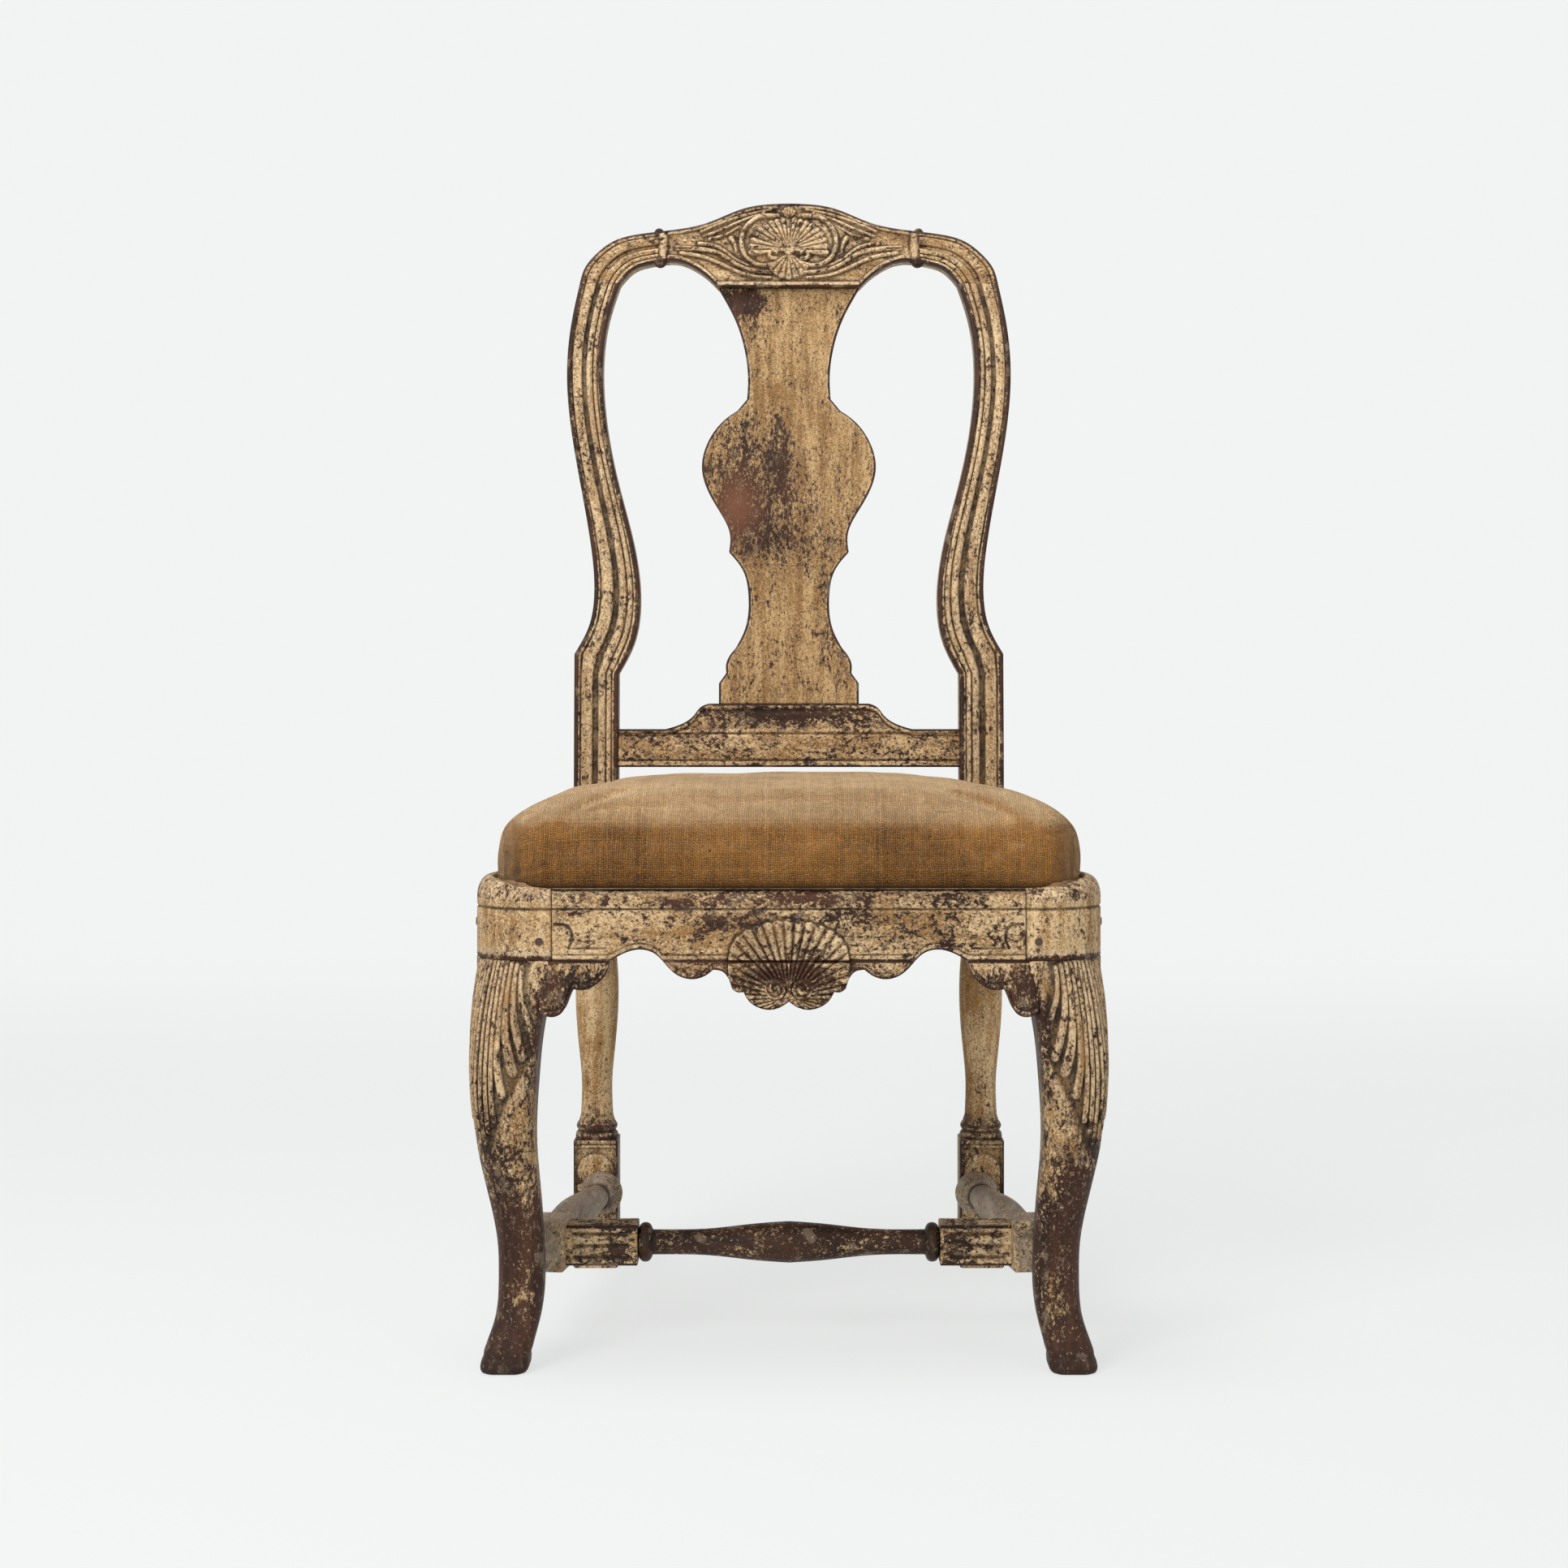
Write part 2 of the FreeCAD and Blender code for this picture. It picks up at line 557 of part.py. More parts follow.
def front_leg():
    """Cabriole front leg in one piece with its square, corner-rounded top."""
    foot, ankle, knee = size("foot_width"), size("ankle_width"), size("knee_width")
    foot_in, ankle_in, knee_in = size("foot_inset"), size("ankle_inset"), -size("knee_bulge")
    steps = (
        # share of the leg height, inset, width, radii
        (0.0, foot_in, foot, (13, 12, 9)),
        (0.04, mix(foot_in, ankle_in, 0.18), 0.97 * foot, (14, 13, 10)),
        (0.12, mix(foot_in, ankle_in, 0.8), mix(foot, ankle, 1.4), (15, 14, 12)),
        (0.22, ankle_in, ankle, (17, 16, 14)),
        (0.30, 0.97 * ankle_in, ankle, (17, 16, 14)),
        (0.42, mix(ankle_in, knee_in, 0.32), mix(ankle, knee, 0.2), (18, 16, 14)),
        (0.56, mix(ankle_in, knee_in, 0.74), mix(ankle, knee, 0.5), (21, 17, 13)),
        (0.70, mix(ankle_in, knee_in, 0.98), mix(ankle, knee, 0.83), (26, 18, 11)),
        (0.81, knee_in, knee, (34, 18, 8)),
        (0.91, 0.7 * knee_in, mix(knee, STUMP, 0.7), (44, 14, 5)),
        (1.0, 0.0, STUMP, (CORNER, 3, 3)),
    )
    sections = [
        rounded_section(f"leg_section_{at}", inset, width, radii, share * RAIL_BOTTOM)
        for at, (share, inset, width, radii) in enumerate(steps)
    ]
    on_front, middle, on_side = front_corner(0, CORNER)
    outline = [
        line((SHOULDER_X, 0), on_front), arc(on_front, middle, on_side),
        line(on_side, (HALF_FRONT, STUMP)), line((HALF_FRONT, STUMP), (SHOULDER_X, STUMP)),
        line((SHOULDER_X, STUMP), (SHOULDER_X, 0)),
    ]
    stump = prism("leg_stump", outline, "XY_Plane",
                  Vector(0, 0, RAIL_BOTTOM - size("bracket_drop")),
                  "Sizes.rail_height + Sizes.bracket_drop + Sizes.lip_rise")
    solid = fuse("front_leg_solid", [loft("leg_curve", sections, False), stump])
    return cut("front_leg", solid, [
        seat_hollow("leg_seat_hollow"),
        lip_waste("leg_lip_waste"),
        mortise("leg_front_mortise", front_tenon),
        mortise("leg_side_mortise", side_tenon_front),
        stretcher_rod("leg_stretcher_hole", CLEAR / 2),
        peg_hole("leg_front_peg_hole", front_peg_start, BACKWARD),
        peg_hole("leg_side_peg_hole", side_peg_start, INWARD),
    ])


finish_pair("front_leg", front_leg())


def rear_post():
    """Rear post: square foot, turned leg, square at the seat, raked and shaped stile."""
    outer_kink = RAIL_TOP + size("outer_kink_rise")
    inner_kink = RAIL_TOP + size("inner_kink_rise")
    outer_waist, outer_swell = size("outer_waist"), size("outer_swell")
    inner_waist, inner_swell = size("inner_waist"), size("inner_swell")
    outer = [
        (HALF_REAR - inset, mix(outer_kink, SEAM, share)) for share, inset in (
            (0.0, 0.0), (0.077, 0.77 * outer_waist), (0.146, outer_waist),
            (0.291, 0.8 * outer_waist), (0.508, 0.0), (0.742, -outer_swell),
            (0.879, -0.75 * outer_swell), (1.0, 0.0),
        )
    ]
    inner = [
        (POST_INNER - inset, mix(inner_kink, SEAM, share)) for share, inset in (
            (0.0, 0.0), (0.073, 0.69 * inner_waist), (0.18, inner_waist),
            (0.326, 0.665 * inner_waist), (0.49, -0.16 * inner_swell), (0.676, -0.88 * inner_swell),
            (0.78, -inner_swell), (0.914, -0.7 * inner_swell), (1.0, POST_INNER - SEAM_INNER),
        )
    ]
    pattern = front_pattern("stile_pattern", edges([
        [(POST_INNER, BEND), (HALF_REAR, BEND)],
        [(HALF_REAR, BEND), outer[0]],
        outer,
        [outer[-1], inner[-1]],
        inner[::-1],
        [inner[0], (POST_INNER, BEND)],
    ]))
    stile = common("stile", pattern, back_slab("stile_slab", 0, STILE, BEND, SEAM))
    square_bottom = RAIL_BOTTOM - size("leg_top_gap")
    square = prism("post_square", closed([
        (DEPTH, square_bottom), (DEPTH + POST, square_bottom), (DEPTH + POST, LEDGE),
        (DEPTH + STILE, BEND), (DEPTH, BEND),
    ]), "YZ_Plane", Vector(POST_INNER, 0, 0), "Sizes.post_width")
    foot_top = size("foot_block_height")
    foot = block("post_foot", Vector(POST_INNER, DEPTH, 0),
                 "Sizes.post_width", "Sizes.post_width", "Sizes.foot_block_height")
    ring, neck, belly = (size(f"leg_{part}_radius") for part in ("ring", "neck", "belly"))
    rise = square_bottom - foot_top
    turning = turned("post_turning", [
        [(0, foot_top - BITE), (ring, foot_top - BITE)],
        [(ring, foot_top - BITE), (ring, foot_top + 5)],
        [(ring, foot_top + 5), (0.92 * ring, foot_top + 7)],
        [(0.92 * ring, foot_top + 7), (0.99 * ring, foot_top + 11), (0.88 * ring, foot_top + 16)],
        [(0.88 * ring, foot_top + 16), (1.05 * neck, foot_top + 22)],
        [(1.05 * neck, foot_top + 22), (neck, foot_top + 0.29 * rise),
         (mix(neck, belly, 0.4), foot_top + 0.43 * rise), (belly, foot_top + 0.71 * rise),
         (mix(neck, belly, 0.75), foot_top + 0.88 * rise), (1.1 * neck, square_bottom + BITE)],
        [(1.1 * neck, square_bottom + BITE), (0, square_bottom + BITE)],
        [(0, square_bottom + BITE), (0, foot_top - BITE)],
    ], "XZ_Plane", "V_Axis", Placement(Vector(POST_MIDDLE, DEPTH + POST / 2, 0), Rotation()))
    solid = fuse("rear_post_solid", [stile, square, turning, foot, crest_tenon])
    return cut("rear_post", solid, [
        mortise("post_side_mortise", side_tenon_rear),
        mortise("post_rear_mortise", rear_tenon),
        mortise("post_back_mortise", back_rail_tenon),
        stretcher_rod("post_stretcher_hole", CLEAR / 2),
        peg_hole("post_side_peg_hole", post_peg_start, INWARD),
        peg_hole("post_crest_peg_hole", crest_peg_start, FORWARD),
        peg_hole("post_back_peg_hole", back_peg_start, FORWARD),
    ])


finish_pair("rear_post", rear_post())


def shell_face(name, runs, relief_start):
    """Raised outline of the carved shell, standing in front of the rail face."""
    return prism(name, both_halves(runs), "XZ_Plane", relief_start, f"Sizes.shell_relief + {BITE}")


SHELL_START = Vector(0, -size("shell_relief"), 0)
SHELL = size("shell_width") / 2


def front_rail():
    """Front seat rail: arched underside, upper half of the shell, tenons and seat rebate."""
    arch_out, arch_in, rise = size("arch_outer"), size("arch_inner"), size("arch_rise")
    board = prism("front_rail_board", both_halves([
        [(0, RAIL_TOP), (SHOULDER_X, RAIL_TOP)],
        [(SHOULDER_X, RAIL_TOP), (SHOULDER_X, RAIL_BOTTOM)],
        [(SHOULDER_X, RAIL_BOTTOM), (arch_out, RAIL_BOTTOM)],
        [(arch_out, RAIL_BOTTOM), (mix(arch_out, arch_in, 0.18), RAIL_BOTTOM + 0.47 * rise),
         (mix(arch_out, arch_in, 0.55), RAIL_BOTTOM + rise),
         (mix(arch_out, arch_in, 0.84), RAIL_BOTTOM + 0.66 * rise), (arch_in, RAIL_BOTTOM)],
        [(arch_in, RAIL_BOTTOM), (0, RAIL_BOTTOM)],
    ]), "XZ_Plane", Vector(0, 0, 0), "Sizes.rail_thickness")
    rise = size("shell_rise")
    shell = shell_face("shell_upper", [
        [(0, RAIL_BOTTOM + rise), (0.54 * SHELL, RAIL_BOTTOM + 0.84 * rise),
         (0.91 * SHELL, RAIL_BOTTOM + 0.48 * rise), (SHELL, RAIL_BOTTOM)],
        [(SHELL, RAIL_BOTTOM), (0, RAIL_BOTTOM)],
    ], SHELL_START)
    tenons = [front_tenon, mirrored("front_tenon_twin", front_tenon)]
    holes = [peg_hole("rail_peg_hole", front_peg_start, BACKWARD)]
    holes.append(mirrored("rail_peg_hole_twin", holes[0]))
    solid = fuse("front_rail_solid", [board, shell] + tenons)
    return cut("front_rail", solid, [seat_hollow("front_rail_hollow")] + holes)


finish("front_rail", front_rail())


def apron_drop():
    """Strip glued under the front rail: two lobes and the lower half of the shell."""
    lobe, drop, start = size("lobe_drop"), size("shell_drop"), size("arch_inner")
    shell_runs = [
        [(0.985 * SHELL, RAIL_BOTTOM - 0.38 * drop), (0.94 * SHELL, RAIL_BOTTOM - 0.56 * drop)],
        [(0.94 * SHELL, RAIL_BOTTOM - 0.56 * drop), (0.85 * SHELL, RAIL_BOTTOM - 0.64 * drop),
         (0.75 * SHELL, RAIL_BOTTOM - 0.635 * drop)],
        [(0.75 * SHELL, RAIL_BOTTOM - 0.635 * drop), (0.66 * SHELL, RAIL_BOTTOM - 0.82 * drop),
         (0.49 * SHELL, RAIL_BOTTOM - 0.96 * drop), (0.32 * SHELL, RAIL_BOTTOM - drop),
         (0.13 * SHELL, RAIL_BOTTOM - 0.94 * drop), (0, RAIL_BOTTOM - 0.83 * drop)],
    ]
    valley = (mix(SHELL, start, 0.23), RAIL_BOTTOM - 0.48 * lobe)
    board = prism("apron_board", both_halves([
        [(0, RAIL_BOTTOM), (start, RAIL_BOTTOM)],
        [(start, RAIL_BOTTOM), (mix(SHELL, start, 0.77), RAIL_BOTTOM - 0.79 * lobe),
         (mix(SHELL, start, 0.53), RAIL_BOTTOM - lobe),
         (mix(SHELL, start, 0.33), RAIL_BOTTOM - 0.76 * lobe), valley],
        [valley, (mix(SHELL, start, 0.09), RAIL_BOTTOM - 0.58 * lobe), shell_runs[0][0]],
    ] + shell_runs), "XZ_Plane", Vector(0, 0, 0), "Sizes.rail_thickness")
    shell = shell_face("shell_lower", [
        [(0, RAIL_BOTTOM), (SHELL, RAIL_BOTTOM)],
        [(SHELL, RAIL_BOTTOM), shell_runs[0][0]],
    ] + shell_runs, SHELL_START)
    return fuse("apron_drop", [board, shell])


finish("apron_drop", apron_drop())


def side_rail():
    """Side seat rail, narrowing the seat to the rear, with its tenons and seat rebate."""
    board = prism("side_rail_board", closed([
        (side_x(STUMP, 0), STUMP), (side_x(DEPTH, 0), DEPTH),
        (side_x(DEPTH, RAIL), DEPTH), (side_x(STUMP, RAIL), STUMP),
    ]), "XY_Plane", Vector(0, 0, RAIL_BOTTOM), "Sizes.rail_height + Sizes.lip_rise")
    solid = fuse("side_rail_solid", [board, side_tenon_front, side_tenon_rear])
    return cut("side_rail", solid, [
        seat_hollow("side_rail_hollow"),
        peg_hole("side_rail_front_hole", side_peg_start, INWARD),
        peg_hole("side_rail_rear_hole", post_peg_start, INWARD),
    ])


finish_pair("side_rail", side_rail())


def rear_rail():
    """Rear seat rail: an upright between the posts with a ledge for the loose seat."""
    ledge_front = DEPTH - size("rear_ledge")
    board = prism("rear_rail_board", closed([
        (ledge_front, RAIL_BOTTOM), (DEPTH + RAIL, RAIL_BOTTOM), (DEPTH + RAIL, RAIL_TOP),
        (DEPTH, RAIL_TOP), (DEPTH, LEDGE), (ledge_front, LEDGE),
    ]), "YZ_Plane", Vector(-POST_INNER, 0, 0), "Sizes.seat_rear_width - 2 * Sizes.post_width")
    return fuse("rear_rail", [board, rear_tenon, mirrored("rear_tenon_twin", rear_tenon)])


finish("rear_rail", rear_rail())


def bracket_runs(near, away):
    """Scrolled outline of a knee bracket, from the leg along the rail; away is +1 or -1."""
    length, drop = size("bracket_length"), size("bracket_drop")
    points = [(near + away * along * length, RAIL_BOTTOM - down * drop) for along, down in (
        (0, 0), (1, 0), (0.95, 0.2), (0.75, 0.43), (0.54, 0.52), (0.37, 0.5),
        (0.29, 0.68), (0.15, 0.945), (0, 1),
    )]
    return [points[0:2], points[1:6], points[5:9], [points[8], points[0]]]


front_bracket = prism("front_bracket", edges(bracket_runs(SHOULDER_X, -1)), "XZ_Plane",
                      Vector(0, 0, 0), "Sizes.rail_thickness")
finish_pair("front_bracket", front_bracket)


def side_bracket():
    """Knee bracket under a side rail, following the slope of that rail in plan."""
    reach = STUMP + size("bracket_length")
    pattern = prism("side_bracket_pattern", edges(bracket_runs(STUMP, 1)), "YZ_Plane",
                    Vector(HALF_FRONT - STUMP, 0, 0), "2 * Sizes.stump_size")
    strip = prism("side_bracket_strip", closed([
        (side_x(STUMP, 0), STUMP), (side_x(reach, 0), reach),
        (side_x(reach, RAIL), reach), (side_x(STUMP, RAIL), STUMP),
    ]), "XY_Plane", Vector(0, 0, RAIL_BOTTOM - size("bracket_drop")), "Sizes.bracket_drop")
    return common("side_bracket", pattern, strip)


finish_pair("side_bracket", side_bracket())


def lower_back_rail():
    """Lower back rail with the raised shoe that holds the foot of the splat."""
    shoe, rise = size("shoe_width") / 2, size("shoe_rise")
    ends = mix(shoe, POST_INNER, 0.48)
    pattern = front_pattern("back_rail_pattern", both_halves([
        [(0, SHOE_TOP), (shoe, SHOE_TOP)],
        [(shoe, SHOE_TOP), (mix(shoe, ends, 0.18), SHOE_TOP - 0.14 * rise),
         (mix(shoe, ends, 0.32), SHOE_TOP - 0.43 * rise),
         (mix(shoe, ends, 0.63), SHOE_TOP - 0.8 * rise), (ends, BACK_RAIL_TOP)],
        [(ends, BACK_RAIL_TOP), (POST_INNER, BACK_RAIL_TOP)],
        [(POST_INNER, BACK_RAIL_TOP), (POST_INNER, BACK_RAIL_BOTTOM)],
        [(POST_INNER, BACK_RAIL_BOTTOM), (0, BACK_RAIL_BOTTOM)],
    ]))
    board = common("back_rail_board", pattern, back_slab(
        "back_rail_slab", back_rail_depth, size("back_rail_thickness"), BACK_RAIL_BOTTOM, SHOE_TOP))
    tenons = [back_rail_tenon, mirrored("back_rail_tenon_twin", back_rail_tenon)]
    holes = [peg_hole("back_rail_peg_hole", back_peg_start, FORWARD)]
    holes.append(mirrored("back_rail_peg_hole_twin", holes[0]))
    solid = fuse("lower_back_rail_solid", [board] + tenons)
    return cut("lower_back_rail", solid, [mortise("shoe_groove", foot_tongue)] + holes)


splat_depth = (STILE - size("splat_thickness")) / 2
tongue_room = size("tongue_thickness") / 2
top_half = 0.44 * size("splat_top_width")
foot_half = 0.44 * size("splat_foot_width")
top_tongue = block(
    "top_tongue", Vector(-top_half, back_y(CREST_BOTTOM, STILE / 2) - tongue_room,
                         CREST_BOTTOM - BITE),
    "0.88 * Sizes.splat_top_width", "Sizes.tongue_thickness", f"Sizes.tongue_depth + {BITE}")
foot_tongue = block(
    "foot_tongue", Vector(-foot_half, back_y(SHOE_TOP, STILE / 2) - tongue_room,
                          SHOE_TOP - size("tongue_depth")),
    "0.88 * Sizes.splat_foot_width", "Sizes.tongue_thickness", f"Sizes.tongue_depth + {BITE}")
finish("lower_back_rail", lower_back_rail())


def splat():
    """Vase-shaped splat, curved with the rake, tongued into crest and shoe."""
    foot, waist, cusp, belly, neck, top = (
        size(f"splat_{part}_width") / 2
        for part in ("foot", "waist", "cusp", "belly", "neck", "top"))

    def at(half_width, share):
        return (half_width, mix(SHOE_TOP, CREST_BOTTOM, share))

    ledge = at(mix(waist, foot, 0.75), 0.072)
    step = at(mix(waist, foot, 0.43), 0.131)
    cusp_tip = at(cusp, 0.358)
    belly_end = at(mix(neck, belly, 0.23), 0.698)
    neck_start = at(mix(neck, top, 0.03), 0.726)
    half = [
        [at(0, 1), at(top, 1)],
        [at(top, 1), at(mix(neck, top, 0.473), 0.929), at(mix(neck, top, 0.12), 0.849),
         at(neck, 0.767), neck_start],
        [neck_start, belly_end],
        [belly_end, at(mix(neck, belly, 0.455), 0.681), at(mix(neck, belly, 0.86), 0.6245),
         at(belly, 0.56), at(mix(cusp, belly, 0.465), 0.4675), at(0.98 * cusp, 0.394), cusp_tip],
        [cusp_tip, at(mix(waist, cusp, 0.275), 0.313), at(waist, 0.252),
         at(mix(waist, foot, 0.13), 0.173), step],
        [step, at(mix(waist, foot, 0.645), 0.112), at(mix(waist, foot, 0.76), 0.092), ledge],
        [ledge, at(foot, 0.048)],
        [at(foot, 0.048), at(foot, 0)],
        [at(foot, 0), at(0, 0)],
    ]
    pattern = front_pattern("splat_pattern", both_halves(half))
    board = common("splat_board", pattern, back_slab(
        "splat_slab", splat_depth, size("splat_thickness"), SHOE_TOP, CREST_BOTTOM))
    return fuse("splat", [board, top_tongue, foot_tongue])


finish("splat", splat())


def crest_rail():
    """Serpentine crest rail over both stiles, grooved for the splat and mortised for the posts."""
    drop = CREST_TOP - SEAM
    arch = size("crest_arch")
    splat_corner = size("splat_top_width") / 2
    over = [(share * HALF_REAR, CREST_TOP - fall * drop) for share, fall in (
        (0, 0), (0.215, 0.06), (0.39, 0.24), (0.537, 0.325), (0.732, 0.39), (0.84, 0.47),
        (0.927, 0.64), (0.98, 0.82), (1, 1),
    )]
    under = [(mix(SEAM_INNER, splat_corner, share), SEAM + rise * arch) for share, rise in (
        (0, 0), (0.16, 0.71), (0.32, 0.93), (0.61, 1), (0.77, 0.69), (0.9, 0.27),
    )] + [(splat_corner, CREST_BOTTOM)]
    pattern = front_pattern("crest_pattern", both_halves([
        over,
        [over[-1], under[0]],
        under,
        [under[-1], (0, CREST_BOTTOM)],
    ]))
    board = common("crest_board", pattern,
                   back_slab("crest_slab", 0, STILE, CREST_BOTTOM, CREST_TOP))
    right_mortise = mortise("crest_mortise", crest_tenon)
    right_hole = peg_hole("crest_peg_hole", crest_peg_start, FORWARD)
    return cut("crest_rail", board, [
        right_mortise, mirrored("crest_mortise_twin", right_mortise),
        right_hole, mirrored("crest_peg_hole_twin", right_hole),
        mortise("crest_groove", top_tongue),
    ])


finish("crest_rail", crest_rail())


def stretcher_block(name):
    """Square block of a side stretcher, set on the sloping axis of the turning."""
    half = size("stretcher_block_size") / 2
    start = size("stretcher_block_place") - size("stretcher_block_length") / 2
    box = block(name, Vector(0, 0, 0), "Sizes.stretcher_block_length",
                "Sizes.stretcher_block_size", "Sizes.stretcher_block_size")
    box.Placement = stretcher_place.multiply(
        Placement(Vector(start, -half, -half), Rotation()))
    return box


def side_stretcher():
    """Turned side stretcher: ball, square block, swelling shaft, ring and ball."""
    ball, neck = size("stretcher_ball_radius"), size("stretcher_neck_radius")
    swell, ring = size("stretcher_swell_radius"), size("stretcher_ring_radius")
    middle, half = size("stretcher_block_place"), size("stretcher_block_length") / 2
    shaft_start = middle + half
    ball_start = stretcher_length - 1.4 * ball
    ring_start = ball_start - 0.7 * ring
    end = stretcher_length + 3
    runs = [
        [(0, 0), (0, 0.62 * ball)],
        [(0, 0.62 * ball), (0.45 * (middle - half), ball), (middle - half, 0.75 * ball)],
        [(middle - half, 0.75 * ball), (middle, neck)],
        [(middle, neck), (shaft_start + 4, neck)],
        [(shaft_start + 4, neck), (mix(shaft_start, ring_start, 0.28), 0.92 * swell),
         (mix(shaft_start, ring_start, 0.5), swell), (mix(shaft_start, ring_start, 0.78), 1.1 * neck),
         (ring_start, 0.9 * neck)],
        [(ring_start, 0.9 * neck), (mix(ring_start, ball_start, 0.5), ring), (ball_start, neck)],
        [(ball_start, neck), (stretcher_length - 0.7 * ball, ball), (end, 0.72 * ball)],
        [(end, 0.72 * ball), (end, 0)],
        [(end, 0), (0, 0)],
    ]
    shaft = turned("side_stretcher_turning", runs, "XY_Plane", "H_Axis", stretcher_place)
    foot = block("stretcher_end_plane", Vector(POST_INNER - POST, DEPTH, 0),
                 "3 * Sizes.post_width", "Sizes.post_width", "Sizes.foot_block_height")
    trimmed = cut("side_stretcher_trimmed", shaft, [foot])
    solid = fuse("side_stretcher_solid", [
        trimmed, stretcher_block("side_stretcher_block"), stretcher_rod("side_tenons", 0)])
    return cut("side_stretcher", solid, [cross_rod("cross_tenon_hole", CLEAR / 2)])


finish_pair("side_stretcher", side_stretcher())


def cross_stretcher():
    """Turned cross stretcher with square ends, let into the blocks of the side stretchers."""
    neck, swell = size("cross_neck_radius"), size("stretcher_swell_radius")
    ring = size("stretcher_ring_radius")
    block_start = cross_centre.x - size("stretcher_block_size") / 2 - size("cross_block_length")
    end = block_start + size("cross_block_length") / 2
    ring_start = block_start - 0.75 * ring
    half = [
        [(-0.95 * ring_start, neck), (-0.58 * ring_start, mix(neck, swell, 0.12)),
         (-0.25 * ring_start, mix(neck, swell, 0.7)), (0, swell),
         (0.25 * ring_start, mix(neck, swell, 0.7)),
         (0.58 * ring_start, mix(neck, swell, 0.12)), (0.95 * ring_start, neck)],
        [(0.95 * ring_start, neck), (ring_start, neck)],
        [(ring_start, neck), (mix(ring_start, block_start, 0.25), 0.95 * ring),
         (mix(ring_start, block_start, 0.5), ring), (mix(ring_start, block_start, 0.75), 0.95 * ring),
         (block_start, neck)],
        [(block_start, neck), (end, neck)],
        [(end, neck), (end, 0)],
        [(end, 0), (-end, 0)],
        [(-end, 0), (-end, neck)],
        [(-end, neck), (-block_start, neck)],
        [(-block_start, neck), (-mix(ring_start, block_start, 0.75), 0.95 * ring),
         (-mix(ring_start, block_start, 0.5), ring),
         (-mix(ring_start, block_start, 0.25), 0.95 * ring), (-ring_start, neck)],
        [(-ring_start, neck), (-0.95 * ring_start, neck)],
    ]
    place = Placement(Vector(0, cross_centre.y, cross_centre.z), Rotation())
    shaft = turned("cross_stretcher_turning", half, "XY_Plane", "H_Axis", place)
    side = size("cross_block_size") / 2
    right_end = block("cross_end", Vector(block_start, cross_centre.y - side, cross_centre.z - side),
                      "Sizes.cross_block_length + 6", "Sizes.cross_block_size",
                      "Sizes.cross_block_size")
    whole = fuse("cross_stretcher_whole", [shaft, right_end, mirrored("cross_end_twin", right_end)])
    stop = stretcher_block("cross_stop")
    trimmed = cut("cross_stretcher_trimmed", whole, [stop, mirrored("cross_stop_twin", stop)])
    return fuse("cross_stretcher", [trimmed, cross_rod("cross_tenons", 0)])


finish("cross_stretcher", cross_stretcher())


def pegs(stem, starts):
    """A group of pegs on the right, with their twins on the left."""
    right = [peg(f"{stem}_{at}", start, way) for at, (start, way) in enumerate(starts)]
    left = [mirrored(f"{piece.Name}_twin", piece) for piece in right]
    return finish(stem, group(stem, right + left))


pegs("front_rail_pegs", [(front_peg_start, BACKWARD)])
pegs("side_rail_pegs", [(side_peg_start, INWARD), (post_peg_start, INWARD)])
pegs("back_pegs", [(crest_peg_start, FORWARD), (back_peg_start, FORWARD)])

# Loose seat: slat frame, webbing, sackcloth, stuffing and burlap cover.
COVER = size("cover_thickness")
SEAT_INSET = LIP + size("seat_clearance")
SEAT_REAR = DEPTH - size("seat_clearance")
SEAT_RADIUS = CORNER - SEAT_INSET
REAR_RADIUS = 14.0
SEAT_BOTTOM = LEDGE + size("seat_gap")
GAP = size("layer_gap")
SLAT_BOTTOM = SEAT_BOTTOM + COVER
SLAT_TOP = SLAT_BOTTOM + size("slat_thickness")
SLAT_INSET = SEAT_INSET + COVER + GAP
SLAT_REAR = SEAT_REAR - COVER - GAP
SLAT = size("slat_width")
STRAP = size("strap_width")
STRAP_THICK = size("strap_thickness")
STRAP_RISE = STRAP_THICK + GAP
CLOTH_BOTTOM = SLAT_TOP + STRAP_RISE + STRAP_THICK + GAP
CLOTH_TOP = CLOTH_BOTTOM + size("base_cloth_thickness")


def slat_blank(name, half):
    """Seat plan at slat size: the full slat thickness, or only its lower or upper half."""
    start = SLAT_TOP - size("slat_thickness") / 2 if half == "upper" else SLAT_BOTTOM
    length = "Sizes.slat_thickness" if half == "full" else "Sizes.slat_thickness / 2"
    plan = seat_plan(SLAT_INSET, SLAT_REAR, SEAT_RADIUS - COVER - GAP, REAR_RADIUS)
    return prism(name, plan, "XY_Plane", Vector(0, 0, start), length)


def cross_band(name, y):
    """Band right across the seat, one slat wide from a depth back."""
    return block(name, Vector(-HALF_FRONT, y, SLAT_BOTTOM - BITE), "Sizes.seat_front_width",
                 "Sizes.slat_width", f"Sizes.slat_thickness + {2 * BITE}")


def side_band(name):
    """Band along the right side of the seat, one slat wide."""
    front, rear = SLAT_INSET - BITE, SLAT_REAR + BITE
    return prism(name, closed([
        (side_x(front, 0), front), (side_x(rear, 0), rear),
        (side_x(rear, SLAT_INSET + SLAT), rear), (side_x(front, SLAT_INSET + SLAT), front),
    ]), "XY_Plane", Vector(0, 0, SLAT_BOTTOM - BITE), f"Sizes.slat_thickness + {2 * BITE}")


def cross_slat(stem, y):
    """Front or rear slat, its ends halved below the side slats."""
    whole = common(stem + "_whole", slat_blank(stem + "_blank", "full"), cross_band(stem + "_band", y))
    right = common(stem + "_lap", slat_blank(stem + "_upper", "upper"), side_band(stem + "_side"))
    return finish(stem, cut(stem, whole, [right, mirrored(stem + "_lap_twin", right)]))


